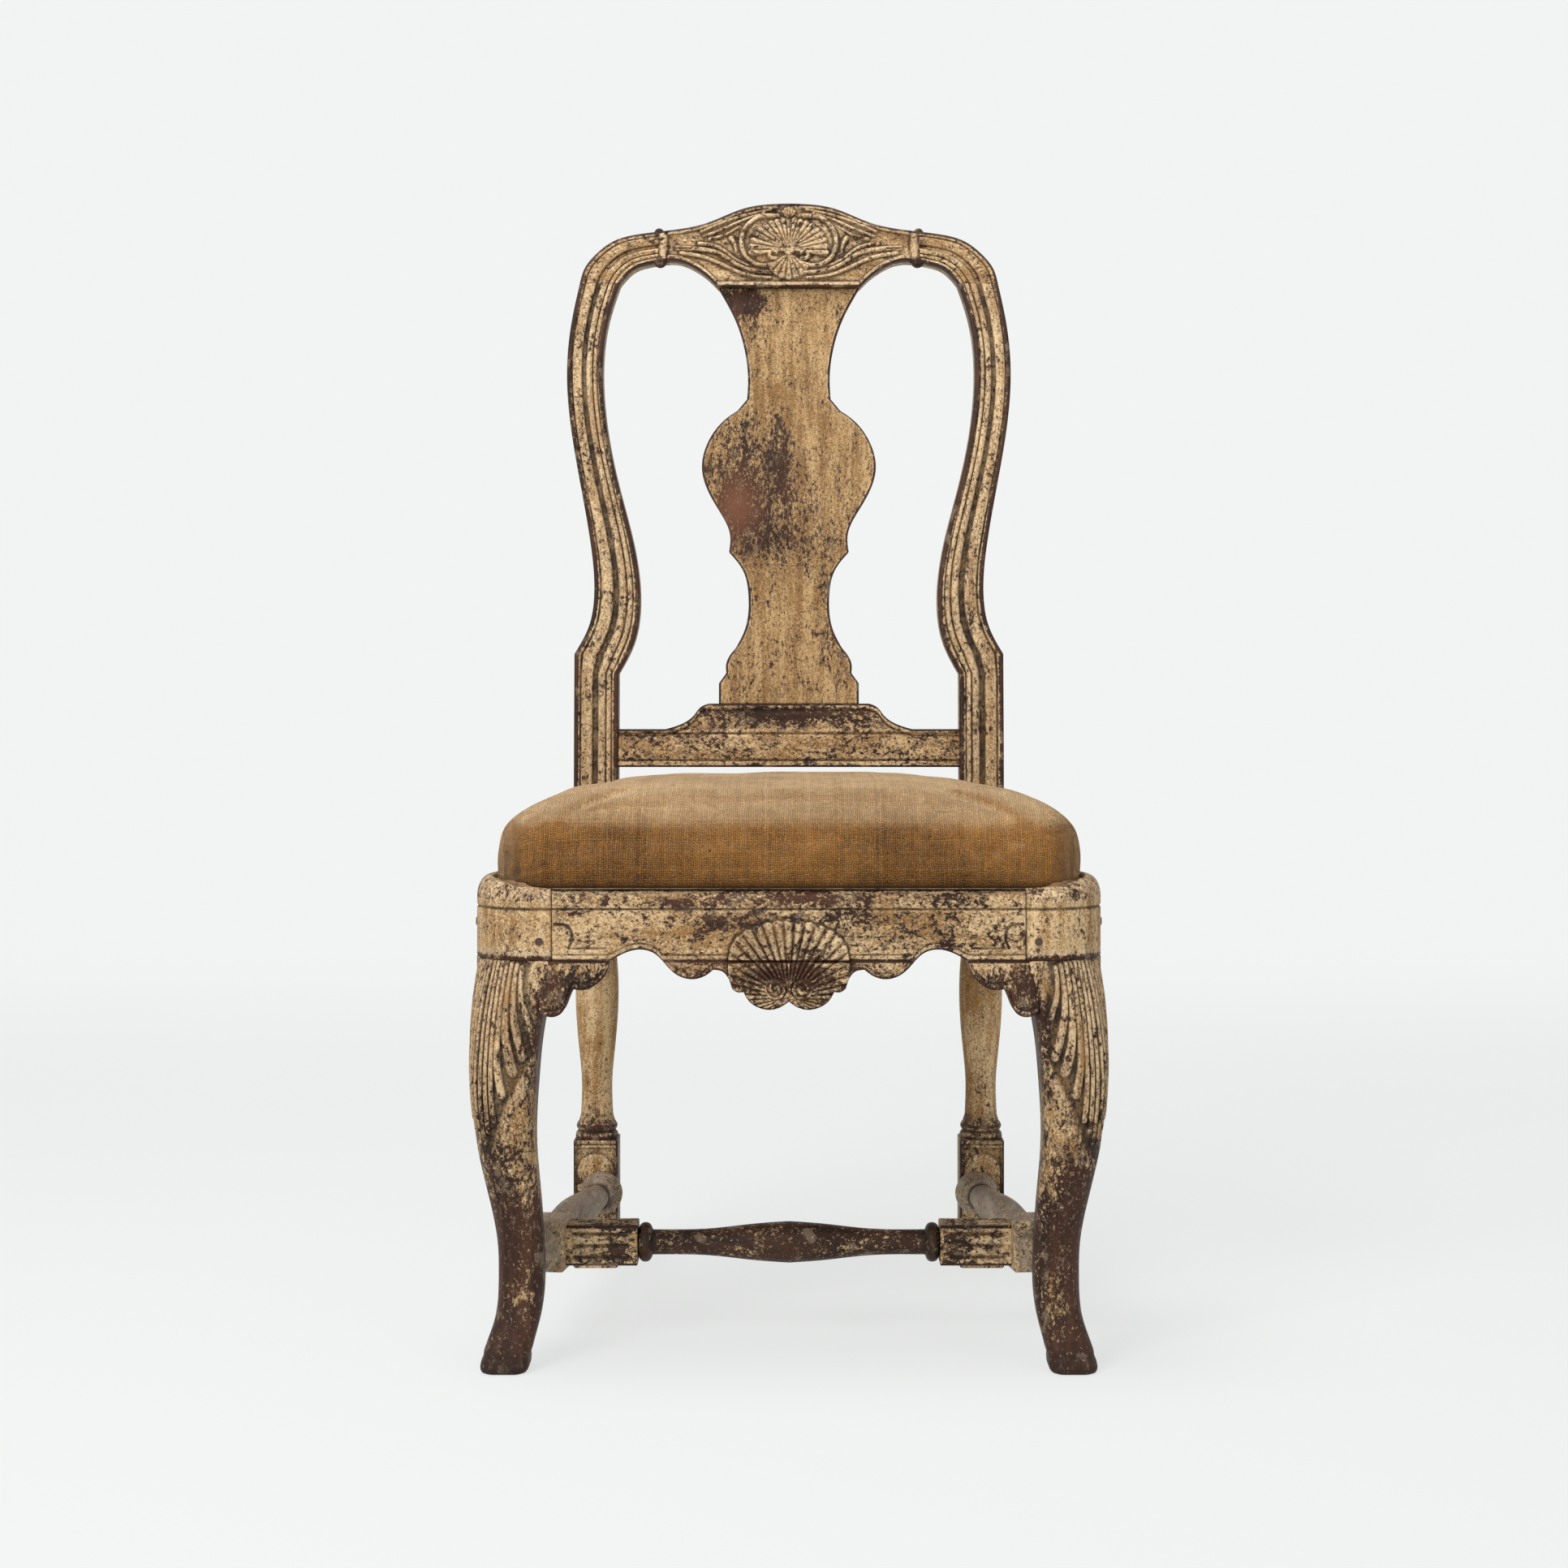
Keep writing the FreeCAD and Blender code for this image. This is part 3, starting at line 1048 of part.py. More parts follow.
def side_slat():
    """Side slat, its ends halved over the front and rear slats."""
    whole = common("side_slat_whole", slat_blank("side_slat_blank", "full"), side_band("side_slat_band"))
    laps = [
        common(f"side_slat_{end}_lap", slat_blank(f"side_slat_{end}_lower", "lower"),
               cross_band(f"side_slat_{end}_band", y))
        for end, y in (("front", SLAT_INSET), ("rear", SLAT_REAR - SLAT))
    ]
    return cut("side_slat", whole, laps)


cross_slat("seat_slat_front", SLAT_INSET)
cross_slat("seat_slat_rear", SLAT_REAR - SLAT)
finish_pair("seat_slat", side_slat())


def strap_profile(start, end, humps):
    """Side view of a strap, lying flat and rising over the straps that it crosses."""
    ramp = 3 * STRAP_RISE
    under = [(start, SLAT_TOP)]
    for middle in humps:
        under += [
            (middle - STRAP / 2 - ramp, SLAT_TOP), (middle - STRAP / 2 - GAP, SLAT_TOP + STRAP_RISE),
            (middle + STRAP / 2 + GAP, SLAT_TOP + STRAP_RISE), (middle + STRAP / 2 + ramp, SLAT_TOP),
        ]
    under.append((end, SLAT_TOP))
    return closed(under + [(along, height + STRAP_THICK) for along, height in reversed(under)])


seat_middle = (SLAT_INSET + SLAT_REAR) / 2
strap_steps = [step * size("strap_pitch") for step in (-1, 0, 1)]
lengthwise = []
crosswise = []
for at, step in enumerate(strap_steps):
    humps = [seat_middle + other for turn, other in enumerate(strap_steps) if (at + turn) % 2]
    ends = (SLAT_INSET + SLAT / 3, SLAT_REAR - SLAT / 3)
    lengthwise.append(prism(f"strap_long_{at}", strap_profile(*ends, humps), "YZ_Plane",
                            Vector(step - STRAP / 2, 0, 0), "Sizes.strap_width"))
    humps = [other for turn, other in enumerate(strap_steps) if (at + turn) % 2 == 0]
    reach = side_x(seat_middle + step + STRAP / 2, SLAT_INSET + SLAT / 3)
    crosswise.append(prism(f"strap_cross_{at}", strap_profile(-reach, reach, humps), "XZ_Plane",
                           Vector(0, seat_middle + step - STRAP / 2, 0), "Sizes.strap_width"))
finish("webbing_lengthwise", group("webbing_lengthwise", lengthwise))
finish("webbing_crosswise", group("webbing_crosswise", crosswise))

cloth_plan = seat_plan(SLAT_INSET + GAP, SLAT_REAR - GAP, SEAT_RADIUS - COVER - 2 * GAP, REAR_RADIUS)
finish("base_cloth", prism("base_cloth", cloth_plan, "XY_Plane", Vector(0, 0, CLOTH_BOTTOM),
                           "Sizes.base_cloth_thickness"))


def cushion(name, shrink, bottom):
    """Crowned cushion: upright sides drawn in to a low dome, shrunk all round by a distance."""
    side, crown = size("cushion_side"), size("crown_height")
    span = min(HALF_REAR - SEAT_INSET, (SEAT_REAR - SEAT_INSET) / 2)
    steps = (
        # height over the seat rails, share of the half span drawn in from the seat edge
        (0.55 * side, 0.0),
        (0.85 * side, 0.011),
        (mix(side, crown, 0.12), 0.037),
        (mix(side, crown, 0.33), 0.084),
        (mix(side, crown, 0.52), 0.158),
        (mix(side, crown, 0.7), 0.263),
        (mix(side, crown, 0.84), 0.4),
        (mix(side, crown, 0.95), 0.56),
        (crown, 0.72),
    )
    profile = [(bottom, 0.0)] + [(RAIL_TOP + height - shrink, drawn) for height, drawn in steps]
    sections = [
        plan_section(f"{name}_section_{at}", seat_plan(
            SEAT_INSET + shrink + drawn * span, SEAT_REAR - shrink - 0.8 * drawn * span,
            (SEAT_RADIUS - shrink) * (1 - 0.6 * drawn), REAR_RADIUS), height)
        for at, (height, drawn) in enumerate(profile)
    ]
    return loft(name, sections, True)


finish("seat_stuffing", cushion("seat_stuffing", COVER + GAP, CLOTH_TOP + GAP))


def seat_cover():
    """Burlap cover drawn over the stuffing, down the slats and under their edges."""
    skin = cut("cover_skin", cushion("cover_outside", 0, SEAT_BOTTOM),
               [cushion("cover_inside", COVER, SEAT_BOTTOM - BITE)])
    outside = prism("cover_fold_outside", seat_plan(SEAT_INSET, SEAT_REAR, SEAT_RADIUS, REAR_RADIUS),
                    "XY_Plane", Vector(0, 0, SEAT_BOTTOM), "Sizes.cover_thickness")
    turn_in = size("cover_turn_in")
    inside = prism("cover_fold_inside", seat_plan(
        SEAT_INSET + turn_in, SEAT_REAR - turn_in, SEAT_RADIUS, REAR_RADIUS),
        "XY_Plane", Vector(0, 0, SEAT_BOTTOM - BITE), f"Sizes.cover_thickness + {2 * BITE}")
    return fuse("seat_cover", [skin, cut("cover_fold", outside, [inside])])


finish("seat_cover", seat_cover())


def tack(name, x, y):
    """A tack driven up through the folded cover into a slat."""
    nail = doc.addObject("Part::Cone", name)
    nail.setExpression("Radius1", "Sizes.tack_radius")
    nail.setExpression("Radius2", "Sizes.tack_radius / 8")
    nail.setExpression("Height", "Sizes.tack_length")
    nail.Placement = Placement(Vector(x, y, SEAT_BOTTOM - 0.1), Rotation())
    return nail


tack_inset = RAIL + 8.0
pitch = size("tack_pitch")
tacks = []
for step in (-2, -1, 0, 1, 2):
    tacks.append(tack(f"tack_front_{step + 2}", step * pitch, tack_inset))
    rear = SEAT_REAR - 0.7 * size("cover_turn_in")
    tacks.append(tack(f"tack_rear_{step + 2}", 0.7 * step * pitch, rear))
    along = seat_middle + step * pitch
    right = tack(f"tack_side_{step + 2}", side_x(along, tack_inset), along)
    tacks += [right, mirrored(f"tack_side_{step + 2}_twin", right)]
finish("cover_tacks", group("cover_tacks", tacks))

doc.recompute()

# The origin lies on the floor under the middle of the chair's overall box.
boxes = [piece.Shape.optimalBoundingBox(False, False) for piece in finished]
low = min(box.YMin for box in boxes)
high = max(box.YMax for box in boxes)
to_origin = Placement(Vector(0, -(low + high) / 2, 0), Rotation())
for piece in finished:
    if piece.TypeId != "Part::Mirroring":
        piece.Placement = to_origin.multiply(piece.Placement)
doc.recompute()

for thing in doc.Objects:
    if "Invalid" in thing.State or "Error" in thing.State:
        raise RuntimeError(f"{thing.Name} did not compute")
os.makedirs("parts", exist_ok=True)
for piece in finished:
    if piece.Shape.isNull() or not piece.Shape.isValid():
        raise RuntimeError(f"{piece.Label} has no valid shape")
    piece.Shape.exportStep(os.path.join("parts", piece.Label + ".step"))
    box = piece.Shape.BoundBox
    print(f"{piece.Label}: {len(piece.Shape.Solids)} solid(s), "
          f"x {box.XMin:.1f}..{box.XMax:.1f}, y {box.YMin:.1f}..{box.YMax:.1f}, "
          f"z {box.ZMin:.1f}..{box.ZMax:.1f}, {piece.Shape.Volume / 1000:.1f} cm3")
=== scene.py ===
import logging
import math
from dataclasses import dataclass
from enum import Enum
from typing import Any, Callable, Optional, Sequence, Union

import bpy
import numpy as np
from bpy.types import Material, Mesh, Node, NodeSocket, NodeTree, Object
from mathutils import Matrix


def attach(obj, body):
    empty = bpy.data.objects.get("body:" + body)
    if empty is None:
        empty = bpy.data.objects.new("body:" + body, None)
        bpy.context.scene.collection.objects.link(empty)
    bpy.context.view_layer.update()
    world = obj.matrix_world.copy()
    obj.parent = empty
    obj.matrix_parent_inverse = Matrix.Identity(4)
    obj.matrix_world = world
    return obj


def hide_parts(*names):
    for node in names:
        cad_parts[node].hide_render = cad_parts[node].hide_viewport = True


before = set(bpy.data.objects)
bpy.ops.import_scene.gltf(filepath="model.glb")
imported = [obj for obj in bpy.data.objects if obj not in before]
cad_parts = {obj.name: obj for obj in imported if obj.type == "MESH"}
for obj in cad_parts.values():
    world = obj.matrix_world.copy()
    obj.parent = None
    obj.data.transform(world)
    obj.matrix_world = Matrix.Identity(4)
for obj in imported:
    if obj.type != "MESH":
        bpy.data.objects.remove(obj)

LOG = logging.getLogger("rococo_chair")
MILLIMETRE = 0.001
FRONT_FACE = 261.9
QUARTER = math.pi / 2.0
SPAN_SAMPLES = 24
STROKE_SAMPLES = 90
WEAR_VALUES = ("bare", "tint", "cavity", "edge")
Array = np.ndarray
Points = Sequence[tuple[float, float]]
Colour = tuple[int, int, int]
Stretch = tuple[float, float, float]
Term = Union["Value", float, tuple]
Placing = Callable[[Array, Array], Array]
Carving = Callable[[Array, Array, Array], Array]


class Body(Enum):
    """The two bodies that the pieces ride on."""

    FRAME = "chair_frame"
    SEAT = "drop_in_seat"


class Slot(Enum):
    """Names of the record's material slots, which each finish carries."""

    PAINT = "painted_wood"
    WORN = "worn_wood"
    SLAT = "slat_wood"
    WEBBING = "jute_webbing"
    SACKCLOTH = "sackcloth"
    BURLAP = "burlap"
    IRON = "iron_tacks"


def mix(start: float, end: float, share: float) -> float:
    """The value that lies a share of the way from start to end."""
    return start + (end - start) * share


def ease(low: float, high: float, value: Array) -> Array:
    """A smooth step t*t*(3 - 2t) from 0 at low to 1 at high."""
    share = np.clip((value - low) / (high - low), 0.0, 1.0)
    return share * share * (3.0 - 2.0 * share)


def bell(value: Array, middle: float, reach: float) -> Array:
    """A bell exp(-((v - middle) / reach)^2)."""
    return np.exp(-((value - middle) / reach) ** 2)


def lengths(curve: Array) -> Array:
    """The way along a curve to each of its points."""
    return np.concatenate([[0.0], np.cumsum(np.linalg.norm(np.diff(curve, axis=0), axis=1))])


def spline(points: Points) -> Array:
    """Natural cubic spline through points, by chord length; two points give a straight run.

    Between two knots the curve is (m0 a^3 + m1 b^3) / 6h + (p0/h - m0 h/6) a + (p1/h - m1 h/6) b,
    with a and b the distances to the knots and m the second derivatives, zero at the ends.

    Args:
        points: the points that the curve passes.
    Returns:
        The sampled curve, one row per sample.
    """
    knots = np.asarray(points, dtype=float)
    places = lengths(knots)
    step = np.diff(places)
    last = len(knots) - 1
    system = np.eye(last + 1)
    rows = np.arange(1, last)
    system[rows, rows - 1] = step[:-1]
    system[rows, rows] = 2.0 * (step[:-1] + step[1:])
    system[rows, rows + 1] = step[1:]
    right = np.zeros_like(knots)
    right[1:-1] = 6.0 * np.diff(np.diff(knots, axis=0) / step[:, None], axis=0)
    bend = np.linalg.solve(system, right)
    way = np.linspace(0.0, places[-1], SPAN_SAMPLES * last + 1)
    at = np.clip(np.searchsorted(places, way, side="right") - 1, 0, last - 1)
    span = step[at][:, None]
    to_end = (places[at + 1] - way)[:, None]
    from_start = (way - places[at])[:, None]
    cubic = (bend[at] * to_end ** 3 + bend[at + 1] * from_start ** 3) / (6.0 * span)
    straight = (knots[at] / span - bend[at] * span / 6.0) * to_end
    return cubic + straight + (knots[at + 1] / span - bend[at + 1] * span / 6.0) * from_start


def outline(*runs: Points) -> Array:
    """Smooth runs of an outline with a corner between them; a run starts where the last one ends."""
    joined = [list(runs[0])]
    for run in runs[1:]:
        joined.append([joined[-1][-1], *run])
    return np.concatenate([spline(run) for run in joined])


def read_off(curve: Array, at: Array, key: int = 0) -> Array:
    """The other coordinate of a curve where its key coordinate has the given values."""
    order = np.argsort(curve[:, key], kind="stable")
    return np.interp(at, curve[order, key], curve[order, 1 - key])


def even_steps(curve: Array, count: int) -> Array:
    """A curve sampled again in equal steps of its length."""
    way = lengths(curve)
    stops = np.linspace(0.0, way[-1], count)
    return np.stack([np.interp(stops, way, part) for part in curve.T], axis=-1)


def contour(x: Array, z: Union[Array, float]) -> Array:
    """Points of an edge from its x and z; z may be one height."""
    return np.stack(np.broadcast_arrays(x, z), 1)


def arc(middle: Sequence[float], radius: float, angles: Array) -> Array:
    """Points of a level arc at angles."""
    return np.asarray(middle) + radius * np.stack([np.cos(angles), np.sin(angles)], 1)


def placed(name: str, data: bpy.types.ID) -> Object:
    """A new object in the scene."""
    made = bpy.data.objects.new(name, data)
    bpy.context.scene.collection.objects.link(made)
    return made


def stacked(rings: Sequence[Array], heights: Sequence[float]) -> Array:
    """Level rings at heights, as loops of points."""
    return np.stack([np.insert(ring, 2, level, axis=1) for ring, level in zip(rings, heights)])


def vectors(items: bpy.types.bpy_prop_collection, label: str) -> Array:
    """The vectors that the items of a mesh hold under a label, one row each."""
    values = np.empty(len(items) * 3)
    items.foreach_get(label, values)
    return values.reshape(-1, 3)


def blur(values: Array, passes: int) -> Array:
    """A grid smoothed by repeated means of three neighbours in both directions."""
    for _ in range(passes):
        tall = np.pad(values, ((1, 1), (0, 0)), mode="edge")
        values = (tall[:-2] + tall[1:-1] + tall[2:]) / 3.0
        wide = np.pad(values, ((0, 0), (1, 1)), mode="edge")
        values = (wide[:, :-2] + wide[:, 1:-1] + wide[:, 2:]) / 3.0
    return values


@dataclass
class Shell:
    """One closed surface: points in millimetres, faces, and values for its material."""

    points: Array
    quads: Array
    caps: list[list[int]]
    values: dict[str, Array]

    def mirrored(self) -> "Shell":
        """The same surface on the other side of the chair, its faces turned outward again."""
        caps = [cap[::-1] for cap in self.caps]
        return Shell(self.points * (-1, 1, 1), self.quads[:, ::-1], caps, self.values)

    def worn(self, wear: "Wear") -> "Shell":
        """The surface with the bare and tinted patches of a wear map."""
        bare, tint = wear.at(self.points)
        self.values["bare"] = np.clip(self.values.get("bare", 0.0) + bare, 0.0, 1.0)
        self.values["tint"] = tint
        return self


def enclosed(points: Array, quads: Array, caps: Sequence[Array]) -> float:
    """Signed volume: the sum of p0 . (p1 x p2) / 6 over the faces' triangles."""
    triangles = [quads[:, [0, 1, 2]], quads[:, [0, 2, 3]]]
    corners = points[np.concatenate(triangles)]
    total = np.einsum("ij,ij->i", corners[:, 0], np.cross(corners[:, 1], corners[:, 2])).sum()
    for cap in caps:
        ring = points[cap]
        areas = np.cross(ring, np.roll(ring, -1, axis=0))
        total += areas.sum(axis=0) @ ring.mean(axis=0)
    return float(total) / 6.0


def tube(loops: Array, values: Optional[dict[str, Array]] = None, joined: bool = False) -> Shell:
    """A closed surface of closed loops laid one after another, with a cap at either end.

    Args:
        loops: points of shape (stations, points of a loop, 3), in millimetres.
        values: values for the material, of shape (stations, points of a loop).
        joined: the last loop joins the first one, so that there are no caps.
    Returns:
        The surface, its faces outward.
    """
    stations, around = loops.shape[:2]
    at = np.arange(stations * around).reshape(stations, around)
    ahead = np.roll(at, -1, axis=0) if joined else at[1:]
    here = at if joined else at[:-1]
    corners = [here, np.roll(here, -1, axis=1), np.roll(ahead, -1, axis=1), ahead]
    quads = np.stack(corners, axis=-1).reshape(-1, 4)
    caps = [] if joined else [at[0][::-1], at[-1]]
    points = loops.reshape(-1, 3)
    if enclosed(points - points.mean(axis=0), quads, caps) < 0.0:
        quads = quads[:, ::-1]
        caps = [cap[::-1] for cap in caps]
    flat = {name: np.broadcast_to(value, (stations, around)).reshape(-1).copy()
            for name, value in (values or {}).items()}
    return Shell(points, quads, [cap.tolist() for cap in caps], flat)


@dataclass(frozen=True)
class Spot:
    """A worn patch as seen from the front: its middle, its reach, and how bare and how red it is."""

    x: float
    z: float
    reach_x: float
    reach_z: float
    bare: float
    tint: float = 0.0


@dataclass(frozen=True)
class Wear:
    """Wear of a piece: a general share of bare wood, a lift with height, and patches."""

    general: float = 0.0
    low_z: float = 0.0
    low_bare: float = 0.0
    high_z: float = 1.0
    high_bare: float = 0.0
    spots: tuple[Spot, ...] = ()

    def at(self, points: Array) -> tuple[Array, Array]:
        """Bare share and tint at points: patches are exp(-(dx/rx)^2 - (dz/rz)^2).

        Args:
            points: points in millimetres.
        Returns:
            The bare share and the tint of each point.
        """
        rise = ease(self.low_z, self.high_z, points[:, 2])
        bare = self.general + mix(self.low_bare, self.high_bare, rise)
        tint = np.zeros(len(points))
        for spot in self.spots:
            away = ((points[:, 0] - spot.x) / spot.reach_x) ** 2
            away = away + ((points[:, 2] - spot.z) / spot.reach_z) ** 2
            bare = bare + spot.bare * np.exp(-away)
            tint = np.maximum(tint, spot.tint * np.exp(-away))
        return bare, tint


@dataclass(frozen=True)
class Stroke:
    """A carved rib along a curve: rise * sqrt(1 - (d / w)^n) at distance d; its half width w tapers."""

    points: Points
    width: float
    end_width: float
    rise: float
    flatness: float = 2.0

    def nearness(self, px: Array, pz: Array) -> Array:
        """How near pattern points lie to the rib's middle line.

        Args:
            px, pz: pattern coordinates.
        Returns:
            1 on the line, falling to zero at the rib's edge and off it.
        """
        curve = even_steps(spline(self.points), STROKE_SAMPLES)
        half = np.linspace(self.width, self.end_width, len(curve))
        low, high = curve.min(axis=0) - half.max(), curve.max(axis=0) + half.max()
        near = (px > low[0]) & (px < high[0]) & (pz > low[1]) & (pz < high[1])
        away = np.hypot(px[near][:, None] - curve[:, 0], pz[near][:, None] - curve[:, 1]) / half
        found = np.zeros_like(px)
        found[near] = np.clip(1.0 - away.min(axis=1), 0.0, 1.0)
        return found

    def height(self, near: Array) -> Array:
        """Height of the rib over the ground at a nearness."""
        return self.rise * np.sqrt(1.0 - (1.0 - near) ** self.flatness)

    def relief(self, px: Array, pz: Array) -> Array:
        """Height of the rib over the ground at pattern points, zero off the rib."""
        return self.height(self.nearness(px, pz))


def fan(px: Array, pz: Array, reach: tuple[float, float], spread: float, flutes: int,
        rise: float) -> Array:
    """Flutes that fan out upward from the origin: rise * |cos(n a)| inside a scalloped ellipse.

    Args:
        px, pz: distance to the right of the fan's foot and above it.
        reach: half width and height of the ellipse.
        spread: half angle of the fan, in radians.
        flutes, rise: number of flutes, and height of a ridge.
    Returns:
        The height, zero outside the fan.
    """
    angle = np.arctan2(px, pz)
    ridge = np.abs(np.cos(angle * flutes * math.pi / (2.0 * spread)))
    away = np.hypot(px / reach[0], pz / reach[1]) + 0.05 * (1.0 - ridge)
    inside = ease(1.02, 0.96, away) * ease(spread * 1.02, spread * 0.98, np.abs(angle))
    return inside * rise * (0.3 + 0.7 * ridge ** 0.7) * (0.75 + 0.25 * away)


@dataclass
class Board:
    """A shaped board between two contours, its front edges rounded and its face carved.

    At a station the section runs s = 0..W from the low to the high contour. Within the rounding r of
    an edge the depth is r (1 - sin a) at s = r (1 - cos a); carving moves the face along the depth.
    The back is a few points given as (share of W, offset, depth); the face lies `behind` the plane.
    """

    low: Array
    high: Array
    back: Sequence[tuple[float, float, float]]
    rounding: float = 3.0
    across: int = 40
    cavity_depth: float = 0.7
    passes: int = 12
    rubbed: float = 2.5
    behind: float = 0.0

    def shell(self, place: Placing, carving: Optional[Carving] = None) -> Shell:
        """The board as a closed surface.

        Args:
            place: puts pattern points and depths where the board stands.
            carving: relief in millimetres, outward positive, of the pattern point and share across.
        Returns:
            The surface with its values for the material.
        """
        most_bend, edge_steps, tiny = 0.45, 6, 1e-6
        run = self.high - self.low
        width = np.linalg.norm(run, axis=1)[:, None]
        bend = np.minimum(self.rounding, most_bend * width)
        turn = np.linspace(0.0, QUARTER, edge_steps)
        inner = np.linspace(0.0, 1.0, self.across + 2)[1:-1]
        edge_s = bend * (1.0 - np.cos(turn))
        edge_d = bend * (1.0 - np.sin(turn))
        face_s = bend + (width - 2.0 * bend) * inner
        front_s = np.concatenate([edge_s, face_s, width - edge_s[:, ::-1]], axis=1)
        front_d = np.concatenate([edge_d, 0.0 * face_s, edge_d[:, ::-1]], axis=1)
        back_s = np.concatenate([share * width + offset for share, offset, _ in self.back], axis=1)
        back_d = np.concatenate([0.0 * width + depth for _, _, depth in self.back], axis=1)
        share = np.concatenate([front_s, back_s], axis=1) / np.maximum(width, tiny)
        pattern = self.low[:, None] + run[:, None] * share[..., None]
        start = 0.4 * self.rounding
        edge = 1.0 - ease(start, start + self.rubbed, np.minimum(front_s, width - front_s))
        cavity = np.zeros_like(edge)
        if carving is not None:
            front = front_s.shape[1]
            relief = carving(pattern[:, :front, 0], pattern[:, :front, 1], share[:, :front])
            front_d = front_d - relief * (1.0 - front_d / np.maximum(bend, tiny))
            # Hollows of the carving get grime and painted shade; raised carving gets paler paint, partly a
            # painted highlight.
            hollow = (blur(relief, self.passes) - relief) / self.cavity_depth
            cavity = np.clip(hollow, 0.0, 1.0)
            edge = np.maximum(edge, 0.45 * np.clip(-hollow, 0.0, 1.0))
        depth = np.concatenate([front_d, back_d], axis=1) + self.behind
        margin = ((0, 0), (0, len(self.back)))
        values = {"cavity": np.pad(cavity, margin), "edge": np.pad(edge, margin)}
        return tube(place(pattern, depth), values)


def plain_back(thickness: float) -> list[tuple[float, float, float]]:
    """Back points of a board with slightly eased rear edges."""
    eased = 2.0
    return [(1.0, 0.0, thickness - eased), (1.0, -eased, thickness),
            (0.0, eased, thickness), (0.0, 0.0, thickness - eased)]


def upright(pattern: Array, depth: Array) -> Array:
    """Board points standing upright: x and z from the pattern, y from the depth."""
    return np.stack([pattern[..., 0], depth, pattern[..., 1]], axis=-1)


def lathe(profile: Array, start: Array, way: Array, around: int = 48) -> Shell:
    """A turned surface: circles of radius profile[:, 1] at distances profile[:, 0] along an axis.

    Args:
        profile: distance along the axis and radius, one row per station.
        start, way: start of the axis in millimetres, and its direction.
        around: points of a circle.
    Returns:
        The closed turning.
    """
    way = way / np.linalg.norm(way)
    side = np.cross(way, (0, 0, 1) if abs(way[2]) < 0.9 else (1, 0, 0))
    side = side / np.linalg.norm(side)
    angle = np.linspace(0.0, 2.0 * math.pi, around, endpoint=False)
    ring = np.cos(angle)[:, None] * side + np.sin(angle)[:, None] * np.cross(way, side)
    centre = start + profile[:, :1] * way
    radius = profile[:, 1]
    reach, grime_and_shade_depth, rubbed = 6, 1.2, 1.6
    window = np.ones(2 * reach + 1) / (2 * reach + 1)
    hollow = np.convolve(np.pad(radius, reach, mode="edge"), window, mode="valid") - radius
    # Grooves of the turning get grime and painted shade; the rings get wear and paler paint, partly a
    # painted highlight.
    values = {"cavity": np.clip(hollow / grime_and_shade_depth, 0.0, 1.0)[:, None],
              "edge": np.clip(-hollow / rubbed, 0.0, 0.8)[:, None]}
    return tube(centre[:, None] + radius[:, None, None] * ring, values)


def turning(*runs: Points) -> Array:
    """Half profile of a turning from runs, sampled about every millimetre."""
    curve, pitch = outline(*runs), 1.1
    return even_steps(curve, int(lengths(curve)[-1] / pitch))


def squared(centre: Array, axes: Array, half: Sequence[float], ease_by: float) -> Shell:
    """A squared block with eased edges: a rounded rectangle carried along the first axis.

    Args:
        centre: middle of the block, in millimetres.
        axes, half: three unit directions, the length first, and half sizes along them.
        ease_by: rounding of the edges.
    Returns:
        The closed block.
    """
    turn = np.linspace(0.0, QUARTER, 5)
    stations, worn_edge = 22, 0.55
    swing = np.concatenate([turn, turn + QUARTER, turn + math.pi, turn + 1.5 * math.pi])
    sign_b = np.repeat([1.0, -1.0, -1.0, 1.0], len(turn))
    sign_c = np.repeat([1.0, 1.0, -1.0, -1.0], len(turn))
    drawn = ease_by * (1.0 - np.sin(turn))
    along = np.concatenate([-half[0] + ease_by * (1.0 - np.cos(turn)),
                            np.linspace(-half[0] + ease_by, half[0] - ease_by, stations + 2)[1:-1],
                            half[0] - ease_by * (1.0 - np.cos(turn[::-1]))])
    inset = np.concatenate([drawn, np.zeros(stations), drawn[::-1]])[:, None]
    b = sign_b * (half[1] - ease_by) + ease_by * np.cos(swing) - inset * sign_b
    c = sign_c * (half[2] - ease_by) + ease_by * np.sin(swing) - inset * sign_c
    loops = along[:, None, None] * axes[0] + b[..., None] * axes[1] + c[..., None] * axes[2]
    return tube(centre + loops, {"edge": np.full(b.shape, worn_edge)})


